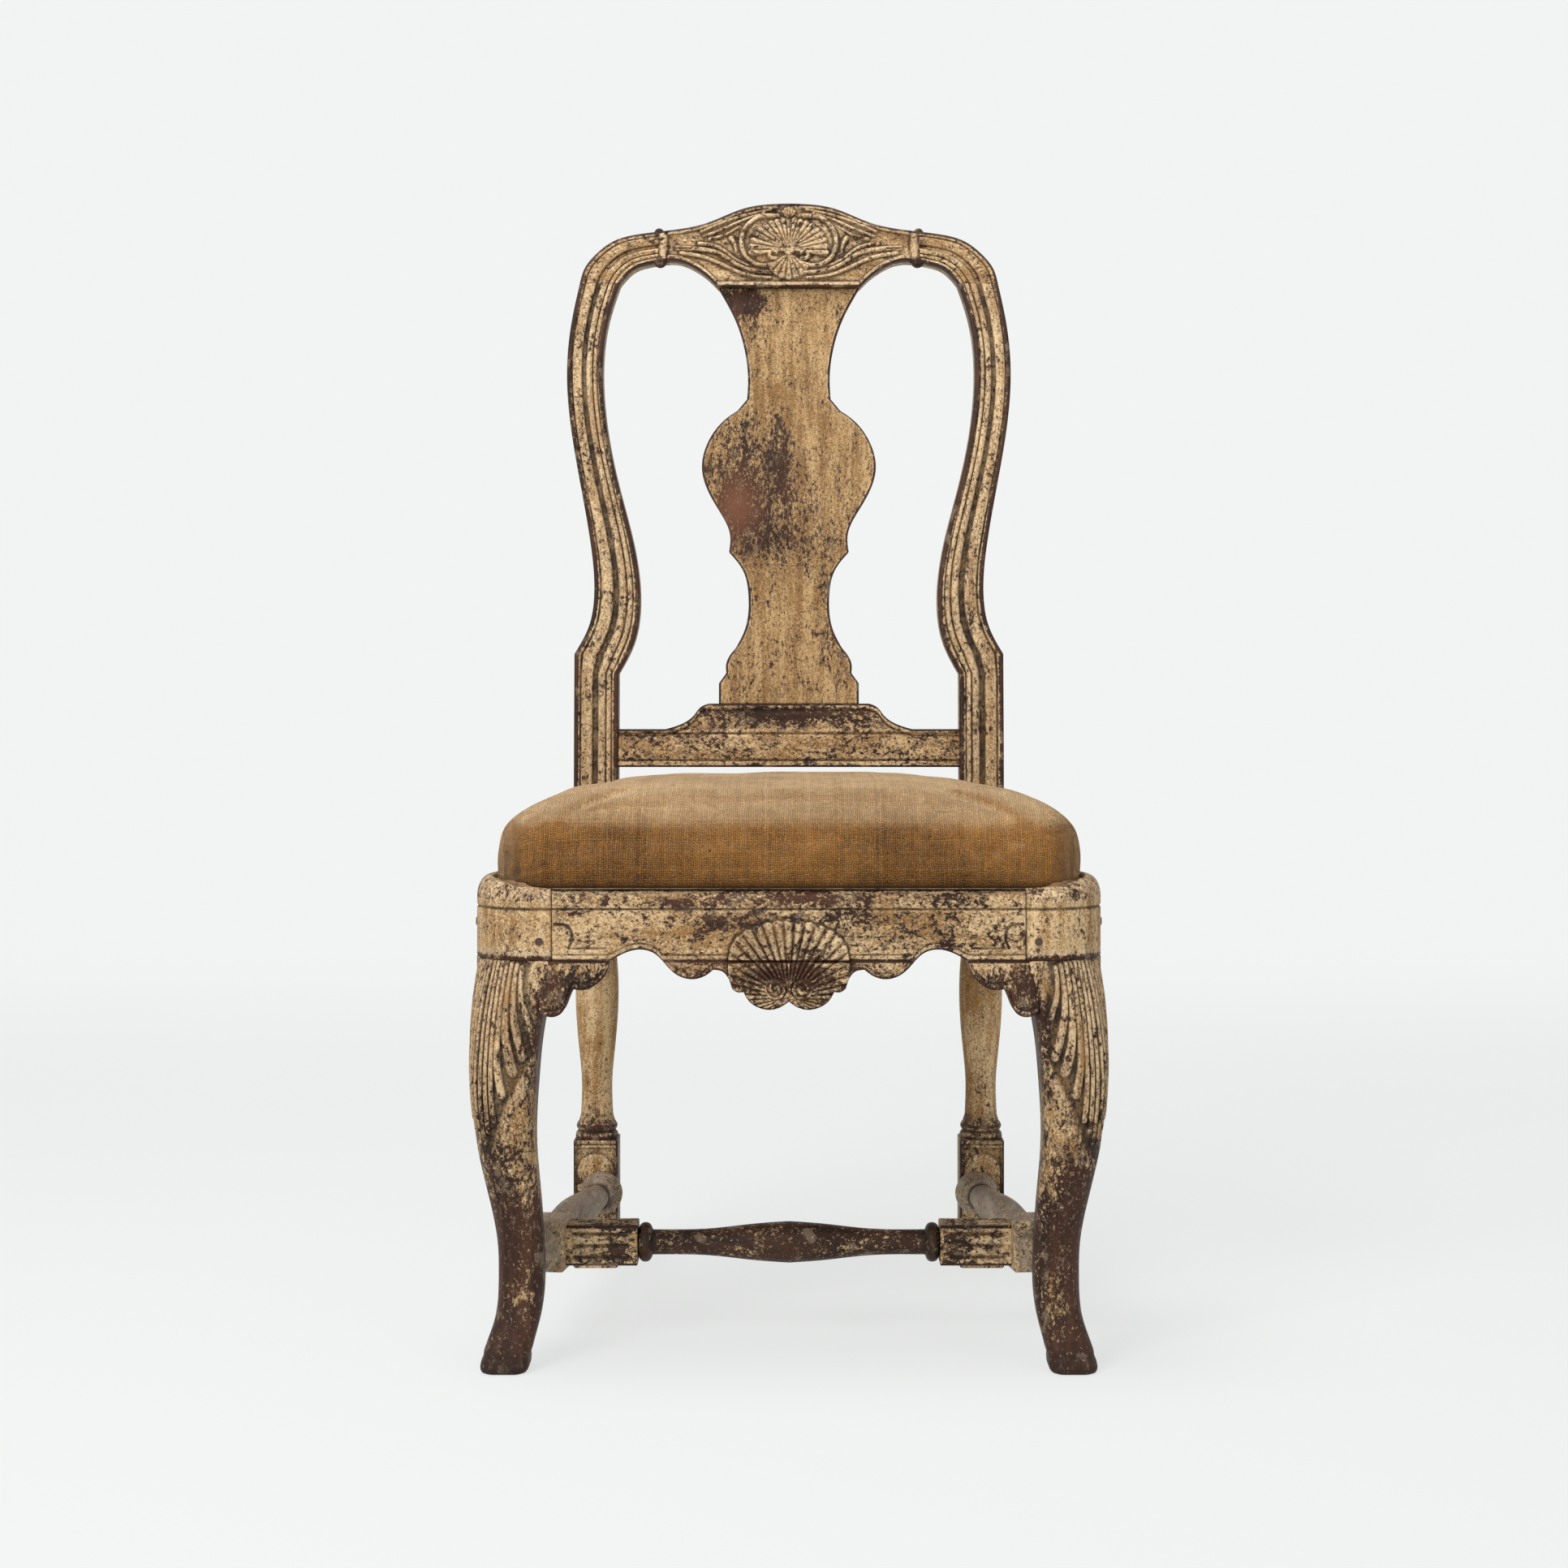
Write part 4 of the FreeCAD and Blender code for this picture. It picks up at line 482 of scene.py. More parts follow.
def fluted(centre: Array, reach: float, side: float) -> Shell:
    """A squared bar along x with flutes on each face: -depth exp(-((w - w0) / width)^2), w0 = -k, 0, k.

    Args:
        centre: middle of the bar, in millimetres.
        reach, side: half length and half thickness.
    Returns:
        The closed bar.
    """
    depth, width, bend, stations, end_scale = 1.7, 1.9, 3.0, 50, 0.96
    along = np.concatenate([[-reach], np.linspace(0.5 - reach, reach - 0.5, stations), [reach]])
    shrink = np.array([end_scale] + [1.0] * stations + [end_scale])[:, None]
    w = np.linspace(bend - side, side - bend, 44)
    turn = np.linspace(0.0, QUARTER, 7)[1:-1]
    pitch = side * 0.6 - 0.56
    flute = sum(bell(w, place, width) for place in (-pitch, 0.0, pitch))
    run = ease(3.0, 9.0, reach - np.abs(along))[:, None]
    corner = (len(along), len(turn))
    parts, cavity, edge = [], [], []
    for normal, way in (((0, -1), (1, 0)), ((1, 0), (0, 1)), ((0, 1), (-1, 0)), ((-1, 0), (0, -1))):
        normal, way = np.array(normal, float), np.array(way, float)
        out = (side - depth * run * flute)[..., None] * normal + w[:, None] * way
        bow = np.cos(turn)[:, None] * normal + np.sin(turn)[:, None] * way
        rounded = (side - bend) * (normal + way) + bend * bow
        parts += [out, np.broadcast_to(rounded, (len(along),) + rounded.shape)]
        # Flutes get grime and painted shade; the flats between them and the corners get paler paint, partly
        # a painted highlight, and wear.
        cavity += [run * np.clip(1.5 * flute - 0.4, 0.0, 1.0), np.zeros(corner)]
        edge += [0.4 * run * (flute < 0.25), np.full(corner, 0.7)]
    plan = np.concatenate(parts, axis=1) * shrink[..., None]
    x = np.broadcast_to(along[:, None, None], plan.shape[:2] + (1,))
    return tube(centre + np.concatenate([x, plan], axis=-1),
                {"cavity": np.concatenate(cavity, 1), "edge": np.concatenate(edge, 1)})


def swept(profile: Array, path: Array, inward: Array, values: dict[str, Array]) -> Shell:
    """A moulding: a closed profile (inward distance, height) carried along a level path.

    Args:
        profile: inward distance and height of the section, one row per point.
        path, inward: x and y of the path and unit direction into the chair, one row per station.
        values: values for the material at each point of the profile.
    Returns:
        The closed moulding.
    """
    level = path[:, None] + profile[None, :, :1] * inward[:, None]
    height = np.broadcast_to(profile[None, :, 1:], level.shape[:2] + (1,))
    spread = {name: value[None, :] for name, value in values.items()}
    return tube(np.concatenate([level, height], axis=-1), spread)


def srgb(red: int, green: int, blue: int) -> tuple[float, float, float, float]:
    """A screen colour as the linear colour of a socket."""
    parts = [value / 255.0 for value in (red, green, blue)]
    linear = [part / 12.92 if part <= 0.04045 else ((part + 0.055) / 1.055) ** 2.4 for part in parts]
    return (linear[0], linear[1], linear[2], 1.0)


@dataclass(frozen=True)
class Value:
    """An output in a shader tree; arithmetic with it places Math nodes."""

    graph: "Graph"
    socket: NodeSocket

    def __add__(self, other: Term) -> "Value":
        """The sum of two terms."""
        return self.graph.math("ADD", self, other)

    def __sub__(self, other: Term) -> "Value":
        """This value less another term."""
        return self.graph.math("SUBTRACT", self, other)

    def __rsub__(self, other: float) -> "Value":
        """A number less this value."""
        return self.graph.math("SUBTRACT", other, self)

    def __mul__(self, other: Term) -> "Value":
        """The product of two terms."""
        return self.graph.math("MULTIPLY", self, other)


@dataclass(frozen=True)
class Graph:
    """Short hand for placing and joining the nodes of one shader tree."""

    tree: NodeTree

    def feed(self, node: Node, inputs: dict) -> None:
        """Joins values to a node's inputs, or sets constants there.

        Args:
            node: the node.
            inputs: values or constants by socket name or number.
        """
        for key, value in inputs.items():
            if isinstance(value, Value):
                self.tree.links.new(value.socket, node.inputs[key])
            else:
                node.inputs[key].default_value = value

    def node(self, kind: str, inputs: Optional[dict] = None, **settings: Any) -> Node:
        """Places a node.

        Args:
            kind: type of the node.
            inputs: what feeds its inputs.
            settings: properties of the node.
        Returns:
            The node.
        """
        made = self.tree.nodes.new(kind)
        for name, value in settings.items():
            setattr(made, name, value)
        self.feed(made, inputs or {})
        return made

    def take(self, node: Node, key: Union[int, str] = 0) -> Value:
        """An output of a node."""
        return Value(self, node.outputs[key])

    def group(self, tree: NodeTree, inputs: dict) -> dict[str, Value]:
        """The outputs of a group by name."""
        made = self.node("ShaderNodeGroup", inputs, node_tree=tree)
        return {label: self.take(made, label) for label in made.outputs.keys()}

    def math(self, operation: str, *terms: Term) -> Value:
        """The result of a Math node on one, two or three terms."""
        return self.take(self.node("ShaderNodeMath", dict(enumerate(terms)), operation=operation))

    def most(self, first: Term, second: Term) -> Value:
        """The greater of two terms."""
        return self.math("MAXIMUM", first, second)

    def blend(self, share: Term, first: Term, second: Term, kind: str = "MIX") -> Value:
        """A colour that turns from first to second, or to first blended with second."""
        ends = {0: share, 6: first, 7: second}
        return self.take(self.node("ShaderNodeMix", ends, data_type="RGBA", blend_type=kind), 2)

    def step(self, value: Term, low: Term, high: Term) -> Value:
        """A smooth step of a value, from 0 at low to 1 at high."""
        ends = {0: value, 1: low, 2: high}
        return self.take(self.node("ShaderNodeMapRange", ends, interpolation_type="SMOOTHSTEP"))

    def noise(self, where: Value, scale: float, detail: float = 4.0, roughness: float = 0.55,
              distortion: float = 0.0) -> Value:
        """A cloudy value about one half."""
        return self.take(self.node("ShaderNodeTexNoise", {
            "Vector": where, "Scale": scale, "Detail": detail, "Roughness": roughness,
            "Distortion": distortion}))

    def bent(self, where: Value, by: Value, reach: float) -> Value:
        """A place moved by a colour or by another place, times a reach."""
        terms = {0: by, 1: (reach, reach, reach), 2: where}
        return self.take(self.node("ShaderNodeVectorMath", terms, operation="MULTIPLY_ADD"))

    def attribute(self, name: str) -> Value:
        """A value stored on the mesh."""
        return self.take(self.node("ShaderNodeAttribute", attribute_name=name), "Fac")

    def place(self) -> Value:
        """The place on the object."""
        return self.take(self.node("ShaderNodeTexCoord"), "Object")

    def scaled(self, place: Value, scale: Stretch) -> Value:
        """A place with its three directions scaled."""
        return self.take(self.node("ShaderNodeMapping", {"Vector": place, "Scale": scale}))


def shader_group(name: str, inputs: dict[str, str],
                 outputs: dict[str, str]) -> tuple[Graph, dict, Node]:
    """A new shader node group.

    Args:
        name: name of the group.
        inputs, outputs: kind of each socket by name.
    Returns:
        The graph to fill, the group's inputs by name, and the node that takes its outputs.
    """
    tree = bpy.data.node_groups.new(name, "ShaderNodeTree")
    for way, sockets in (("INPUT", inputs), ("OUTPUT", outputs)):
        for label, kind in sockets.items():
            tree.interface.new_socket(label, in_out=way, socket_type="NodeSocket" + kind)
    graph = Graph(tree)
    given = graph.node("NodeGroupInput")
    return graph, {label: graph.take(given, label) for label in inputs}, graph.node("NodeGroupOutput")


GREYED_WOOD = srgb(140, 121, 100)
RED_WOOD = srgb(124, 78, 54)
WOOD_PORES = srgb(170, 150, 130)
RIDGE_PAINT_AND_HIGHLIGHT = srgb(234, 212, 182)
# Paler paint on raised ridges, partly a painted highlight.
STAINED_PAINT = srgb(128, 92, 56)
PRIMER = srgb(184, 168, 146)
SPECKS = srgb(58, 42, 31)
# Grime and painted shade for the hollows of the carving.
GRIME_AND_SHADE = srgb(36, 24, 16)
# Dark cloth marks, and painted shade on the cushion's lower edge.
CLOTH_MARKS_AND_SHADE = srgb(48, 33, 20)
# Cloth colours where light is painted on the top and ends of the cushion.
LIT_CLOTH_DARK = srgb(120, 84, 48)
LIT_CLOTH_LIGHT = srgb(238, 202, 154)
BLACK_IRON = srgb(52, 48, 46)
RUST = srgb(112, 66, 40)
PALE_ROOM = srgb(241, 243, 242)


def wood_grain_group() -> NodeTree:
    """Grain of bare wood: long fibres and pores along the stretched direction."""
    graph, given, out = shader_group(
        "wood_grain", {"Fibre": "Vector"}, {"Tone": "Float", "Pores": "Float"})
    figure = graph.noise(given["Fibre"], 24.0, 5.0, 0.6, 0.6)
    threads = graph.noise(given["Fibre"], 150.0, 3.0, 0.6)
    pores = graph.noise(given["Fibre"], 260.0, 2.0, 0.5)
    graph.feed(out, {"Tone": graph.step(figure * 0.6 + threads * 0.4, 0.34, 0.66),
                     "Pores": graph.step(pores, 0.6, 0.72)})
    return graph.tree


def chipped_paint_group(grain: NodeTree) -> NodeTree:
    """Old cream paint that has flaked off dark wood, with grime and painted shade in the hollows of the
    carving.

    Args:
        grain: the wood grain group.
    Returns:
        The group.
    """
    graph, given, out = shader_group(
        "chipped_paint",
        {"Place": "Vector", "Fibre": "Vector", "Bare": "Float", "Tint": "Float", "Cavity": "Float",
         "Edge": "Float", "Paint dark": "Color", "Paint light": "Color", "Wood dark": "Color",
         "Wood light": "Color"},
        {"Colour": "Color", "Roughness": "Float", "Height": "Float"})
    place, fibre, edge = given["Place"], given["Fibre"], given["Edge"]
    drawn = graph.bent(graph.scaled(place, (1.4, 1.4, 1.4)), fibre, 0.6)
    clouds = graph.noise(place, 9.0, 4.0, 0.6)
    streaks = graph.noise(fibre, 60.0, 5.0, 0.65)
    blotch = graph.noise(place, 60.0, 4.0, 0.6)
    crumbs = graph.noise(place, 560.0, 3.0, 0.65)
    # Wood under the paint, greyed here and there and red where the tint says so.
    wood = graph.group(grain, {"Fibre": fibre})
    bare_wood = graph.blend(wood["Tone"], given["Wood dark"], given["Wood light"])
    greyed = graph.step(graph.noise(drawn, 34.0, 5.0, 0.65), 0.56, 0.64)
    bare_wood = graph.blend(greyed * 0.6, bare_wood, GREYED_WOOD)
    bare_wood = graph.blend(given["Tint"] * 0.85, bare_wood, RED_WOOD)
    # Chips: flakes break off above a level that falls as the surface gets barer.
    flake = graph.noise(drawn, 30.0, 9.0, 0.7, 0.4)
    small = graph.noise(drawn, 135.0, 6.0, 0.72, 0.3)
    broken = flake * 0.4 + small * 0.6
    rubbed = graph.step(clouds, 0.36, 0.62) * 0.5 + 0.35
    bare = given["Bare"] + graph.step(edge, 0.45, 0.95) * rubbed
    level = 0.655 - bare * 0.3
    left = graph.step(graph.noise(drawn, 210.0, 4.0, 0.7), 0.6, 0.615)
    chip = graph.step(broken, level, level + 0.009) * (1.0 - left)
    rim = graph.step(broken, level - 0.014, level)
    stain = graph.step(broken, level - 0.07, level)
    # Dark marks: specks, and cracks along the edges of bent cells.
    speck_level = 0.66 - bare * 0.24
    speck = graph.step(graph.noise(drawn, 250.0, 4.0, 0.72, 0.6), speck_level, speck_level + 0.03)
    bend = graph.node("ShaderNodeTexNoise", {"Vector": drawn, "Scale": 190.0, "Detail": 4.0})
    bent = graph.bent(drawn, graph.take(bend, "Color"), 0.009)
    split = graph.node("ShaderNodeTexVoronoi", {"Vector": bent, "Scale": 88.0}, feature="DISTANCE_TO_EDGE")
    crack = graph.step(graph.take(split, "Distance"), 0.045, 0.012) * graph.step(blotch, 0.47, 0.6)
    marks = graph.most(speck * 0.9, crack * 0.8)
    # Paint from its own tone to the grime and painted shade that lie over everything.
    tone = clouds * 0.3 + streaks * 0.7 + (blotch - 0.5) * 0.3 + (crumbs - 0.5) * 0.65
    colour = graph.blend(graph.step(tone, 0.35, 0.64), given["Paint dark"], given["Paint light"])
    # Raised ridges paler: partly cleaner paint, partly a painted highlight.
    ridge = graph.step(edge, 0.03, 0.4) * graph.step(edge, 0.8, 0.5)
    colour = graph.blend(ridge * 0.3, colour, RIDGE_PAINT_AND_HIGHLIGHT)
    colour = graph.blend(stain * 0.4, colour, STAINED_PAINT)
    colour = graph.blend(rim * 0.45, colour, PRIMER)
    colour = graph.blend(marks, colour, SPECKS)
    colour = graph.blend(chip, colour, bare_wood)
    # Hollows darker: partly grime, partly painted shade where shade falls in the carving.
    grime_and_shade = given["Cavity"] * (graph.step(blotch, 0.3, 0.7) * 0.4 + 0.6)
    graph.feed(out, {
        "Colour": graph.blend(graph.math("MINIMUM", grime_and_shade, 0.95), colour, GRIME_AND_SHADE),
        "Roughness": crumbs * 0.2 + 0.5 - chip * 0.08,
        "Height": crumbs * 0.25 - chip - marks * 0.6 + streaks * 0.4})
    return graph.tree


def weave_group() -> NodeTree:
    """Plain weave: at a crossing (i, j) the warp is on top where i + j is even.

    A thread is |sin(pi u)| high across itself, and the thread on top counts in full; slubs thicken some.
    """
    graph, given, out = shader_group(
        "weave", {"U": "Float", "V": "Float", "Place": "Vector"}, {"Tone": "Float", "Height": "Float"})
    place, wander = given["Place"], 2.4
    warp = given["U"] + (graph.noise(place, 90.0, 4.0, 0.6) - 0.5) * wander
    weft = given["V"] + (graph.noise(place, 130.0, 4.0, 0.6) - 0.5) * wander
    across_warp = graph.math("ABSOLUTE", graph.math("SINE", warp * math.pi))
    across_weft = graph.math("ABSOLUTE", graph.math("SINE", weft * math.pi))
    over = graph.math("PINGPONG", graph.math("FLOOR", warp) + graph.math("FLOOR", weft), 1.0)
    under = 1.0 - over
    height = graph.most(across_warp * over, across_weft * under) + (across_warp + across_weft) * 0.25
    warp_line, weft_line = [
        graph.take(graph.node("ShaderNodeTexNoise", {"W": graph.math("FLOOR", thread), "Scale": 1.7},
                              noise_dimensions="1D")) for thread in (warp, weft)]
    lines = warp_line * over + weft_line * under
    fuzz = graph.noise(place, 520.0, 3.0, 0.7)
    slub = graph.step(graph.noise(place, 70.0, 5.0, 0.7, 1.2), 0.4, 0.75)
    tone = height * 0.45 + lines * 0.8 - 0.36 + (fuzz - 0.5) * 0.9 + (slub - 0.4) * 0.3
    graph.feed(out, {"Tone": tone, "Height": height + slub * 0.5})
    return graph.tree


class Groups:
    """The shader groups that several finishes share, each built once."""

    def __init__(self) -> None:
        """Builds the groups."""
        self.grain = wood_grain_group()
        self.paint = chipped_paint_group(self.grain)
        self.weave = weave_group()


def new_material(name: str) -> tuple[Material, Graph, Node]:
    """An empty material with its Principled shader.

    Args:
        name: name of the material.
    Returns:
        The material, its graph and the shader node.
    """
    material = bpy.data.materials.new(name)
    material.use_nodes = True
    graph = Graph(material.node_tree)
    return material, graph, material.node_tree.nodes["Principled BSDF"]


@dataclass(frozen=True)
class PaintFinish:
    """Flaking cream paint over brown wood; the grain runs along the direction of least stretch."""

    name: str
    stretch: Stretch
    paint_dark: Colour = (154, 114, 66)
    paint_light: Colour = (228, 196, 150)
    wood_dark: Colour = (31, 18, 11)
    wood_light: Colour = (79, 48, 33)
    slot: Slot = Slot.PAINT

    def material(self, groups: Groups) -> Material:
        """The finish as a material.

        Args:
            groups: the shared shader groups.
        Returns:
            The material.
        """
        material, graph, shader = new_material(self.name)
        place = graph.place()
        coat = graph.group(groups.paint, {
            "Place": place, "Fibre": graph.scaled(place, self.stretch),
            "Paint dark": srgb(*self.paint_dark), "Paint light": srgb(*self.paint_light),
            "Wood dark": srgb(*self.wood_dark), "Wood light": srgb(*self.wood_light),
            **{label.title(): graph.attribute(label) for label in WEAR_VALUES}})
        bump = graph.node("ShaderNodeBump", {
            "Height": coat["Height"], "Strength": 0.55, "Distance": 0.0006})
        graph.feed(shader, {"Base Color": coat["Colour"], "Roughness": coat["Roughness"],
                            "Normal": graph.take(bump), "Specular IOR Level": 0.2})
        return material


@dataclass(frozen=True)
class WoodFinish:
    """Bare wood; the grain runs along the direction of least stretch."""

    name: str
    stretch: Stretch
    dark: Colour
    light: Colour
    slot: Slot

    def material(self, groups: Groups) -> Material:
        """The finish as a material.

        Args:
            groups: the shared shader groups.
        Returns:
            The material.
        """
        material, graph, shader = new_material(self.name)
        grain = graph.group(groups.grain, {"Fibre": graph.scaled(graph.place(), self.stretch)})
        colour = graph.blend(grain["Tone"], srgb(*self.dark), srgb(*self.light))
        colour = graph.blend(grain["Pores"], colour, WOOD_PORES, "MULTIPLY")
        graph.feed(shader, {"Base Color": colour, "Roughness": 0.7})
        return material


@dataclass(frozen=True)
class ClothFinish:
    """Coarse cloth: threads over and under each other, uneven in thickness and colour."""

    name: str
    dark: Colour
    light: Colour
    pitch: float
    follows_threads: bool
    slot: Slot

    def material(self, groups: Groups) -> Material:
        """The finish as a material.

        Args:
            groups: the shared shader groups.
        Returns:
            The material.
        """
        material, graph, shader = new_material(self.name)
        place = graph.place()
        if self.follows_threads:
            line_u, line_v = graph.attribute("thread_u"), graph.attribute("thread_v")
        else:
            split = graph.node("ShaderNodeSeparateXYZ", {0: place})
            line_u, line_v = graph.take(split, 0), graph.take(split, 1)
        threads = 1.0 / (self.pitch * MILLIMETRE)
        weave = graph.group(groups.weave, {"U": line_u * threads, "V": line_v * threads, "Place": place})
        clouds = graph.step(graph.noise(place, 11.0, 4.0, 0.6), 0.3, 0.7)
        # Painted light: the top and the ends of the cushion are painted lighter.
        painted_light = graph.attribute("painted_light")
        tone = weave["Tone"] * 0.75 + clouds * 0.25 + painted_light * 0.12
        low = graph.blend(painted_light, srgb(*self.dark), LIT_CLOTH_DARK)
        high = graph.blend(painted_light, srgb(*self.light), LIT_CLOTH_LIGHT)
        bend = graph.node("ShaderNodeTexNoise", {"Vector": place, "Scale": 38.0, "Detail": 5.0})
        bent = graph.bent(place, graph.take(bend, "Color"), 0.07)
        holes = graph.take(graph.node("ShaderNodeTexVoronoi", {"Vector": bent, "Scale": 36.0}), "Distance")
        mark = graph.step(holes, 0.1, 0.05) * graph.step(graph.noise(place, 19.0, 3.0), 0.46, 0.5)
        # Dark marks, and painted shade along the cushion's lower edge from its cavity values.
        shade = graph.most(graph.attribute("cavity") * 0.75, mark * 0.85)
        lumps = graph.node("ShaderNodeBump", {
            "Height": graph.noise(place, 24.0, 4.0, 0.6), "Strength": 0.35, "Distance": 0.006})
        bump = graph.node("ShaderNodeBump", {
            "Height": weave["Height"], "Strength": 0.8, "Distance": 0.0009, "Normal": graph.take(lumps)})
        graph.feed(shader, {
            "Base Color": graph.blend(shade, graph.blend(tone, low, high), CLOTH_MARKS_AND_SHADE),
            "Normal": graph.take(bump), "Roughness": 0.95, "Specular IOR Level": 0.1,
            "Sheen Weight": 0.08})
        return material


@dataclass(frozen=True)
class IronFinish:
    """Blackened iron with a little rust."""

    name: str
    slot: Slot = Slot.IRON

    def material(self, groups: Groups) -> Material:
        """The finish as a material.

        Args:
            groups: the shared shader groups.
        Returns:
            The material.
        """
        material, graph, shader = new_material(self.name)
        rust = graph.step(graph.noise(graph.place(), 420.0, 4.0, 0.6), 0.45, 0.65)
        colour = graph.blend(rust, BLACK_IRON, RUST)
        graph.feed(shader, {"Base Color": colour, "Metallic": 0.7, "Roughness": 0.55})
        return material


Finish = Union[PaintFinish, WoodFinish, ClothFinish, IronFinish]


class Workshop:
    """Turns surfaces into pieces of the chair, dressed and riding on their body."""

    def __init__(self, groups: Groups) -> None:
        """Keeps the shared groups and the materials made so far."""
        self.groups = groups
        self.materials: dict[str, Material] = {}

    def finish(self, finish: Finish) -> Material:
        """The material of a finish, made at its first use."""
        if finish.name not in self.materials:
            self.materials[finish.name] = finish.material(self.groups)
        return self.materials[finish.name]

    def piece(self, name: str, shells: Sequence[Shell], finish: Finish, body: Body,
              *nodes: str) -> Object:
        """A piece of one or more closed surfaces that stands for CAD nodes.

        Args:
            name, finish: its name and finish.
            shells: its surfaces, in millimetres.
            body, nodes: the body that it rides on, and the CAD nodes that it replaces.
        Returns:
            The piece.
        """
        starts = np.cumsum([0] + [len(shell.points) for shell in shells])
        points = np.concatenate([shell.points for shell in shells])
        faces = []
        for start, shell in zip(starts, shells):
            faces += (shell.quads + start).tolist()
            faces += [[int(start) + at for at in cap] for cap in shell.caps]
        mesh = bpy.data.meshes.new(name)
        mesh.from_pydata(((points - (0.0, FRONT_FACE, 0.0)) * MILLIMETRE).tolist(), [], faces)
        mesh.polygons.foreach_set("use_smooth", np.array([len(face) == 4 for face in faces]))
        for label in WEAR_VALUES:
            value = np.concatenate([
                shell.values.get(label, np.zeros(len(shell.points))) for shell in shells])
            mesh.attributes.new(label, "FLOAT", "POINT").data.foreach_set("value", value)
        mesh.update()
        made = placed(name, mesh)
        mesh.materials.append(self.finish(finish))
        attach(made, body.value)
        if nodes:
            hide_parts(*nodes)
        LOG.info("%s: %d points", name, len(points))
        return made

    def part(self, node: str, work: str, shells: Sequence[Shell], finish: Finish) -> None:
        """A piece of the frame that stands for one CAD node and is named after it and its work."""
        self.piece(f"{node}_{work}", shells, finish, Body.FRAME, node)

    def pair(self, node: str, work: str, right: Sequence[Shell], finish: Finish) -> None:
        """The right one of two like pieces of the frame, and its mirror image."""
        self.part(f"{node}_right", work, right, finish)
        self.part(f"{node}_left", work, [shell.mirrored() for shell in right], finish)

    def dress(self, finish: Finish, *nodes: str) -> None:
        """Gives CAD nodes their finish."""
        for node in nodes:
            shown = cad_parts[node]
            shown.data.materials.clear()
            shown.data.materials.append(self.finish(finish))


UPRIGHT_PAINT = PaintFinish("cream_paint_upright", (1.4, 1.4, 0.13))
SPLAT_PAINT = PaintFinish("cream_paint_splat", (2.4, 1, 0.1), (138, 102, 60), (200, 165, 117))
LEVEL_PAINT = PaintFinish("cream_paint_level", (0.16, 1, 1))
DEPTH_PAINT = PaintFinish("cream_paint_sides", (1, 0.16, 1))
GREY_WOOD = PaintFinish("grey_turned_wood", (1, 0.16, 1), wood_dark=(84, 68, 56),
                        wood_light=(186, 168, 146), slot=Slot.WORN)
DARK_WOOD = PaintFinish("dark_turned_wood", (0.16, 1, 1), wood_dark=(32, 20, 13),
                        wood_light=(76, 49, 34), slot=Slot.WORN)
PEG_WOOD = WoodFinish("peg_wood", (1, 1, 1), (50, 36, 28), (96, 70, 50), Slot.WORN)
SLAT_WOOD = WoodFinish("slat_wood", (0.3, 0.3, 1), (128, 98, 66), (176, 142, 100), Slot.SLAT)
BURLAP = ClothFinish("burlap", (50, 27, 10), (204, 145, 79), 1.8, True, Slot.BURLAP)
WEBBING = ClothFinish("jute_webbing", (120, 92, 56), (186, 150, 98), 2.4, False, Slot.WEBBING)
SACKCLOTH = ClothFinish("sackcloth", (140, 118, 86), (196, 174, 136), 1.6, False, Slot.SACKCLOTH)
IRON = IronFinish("iron_tacks")


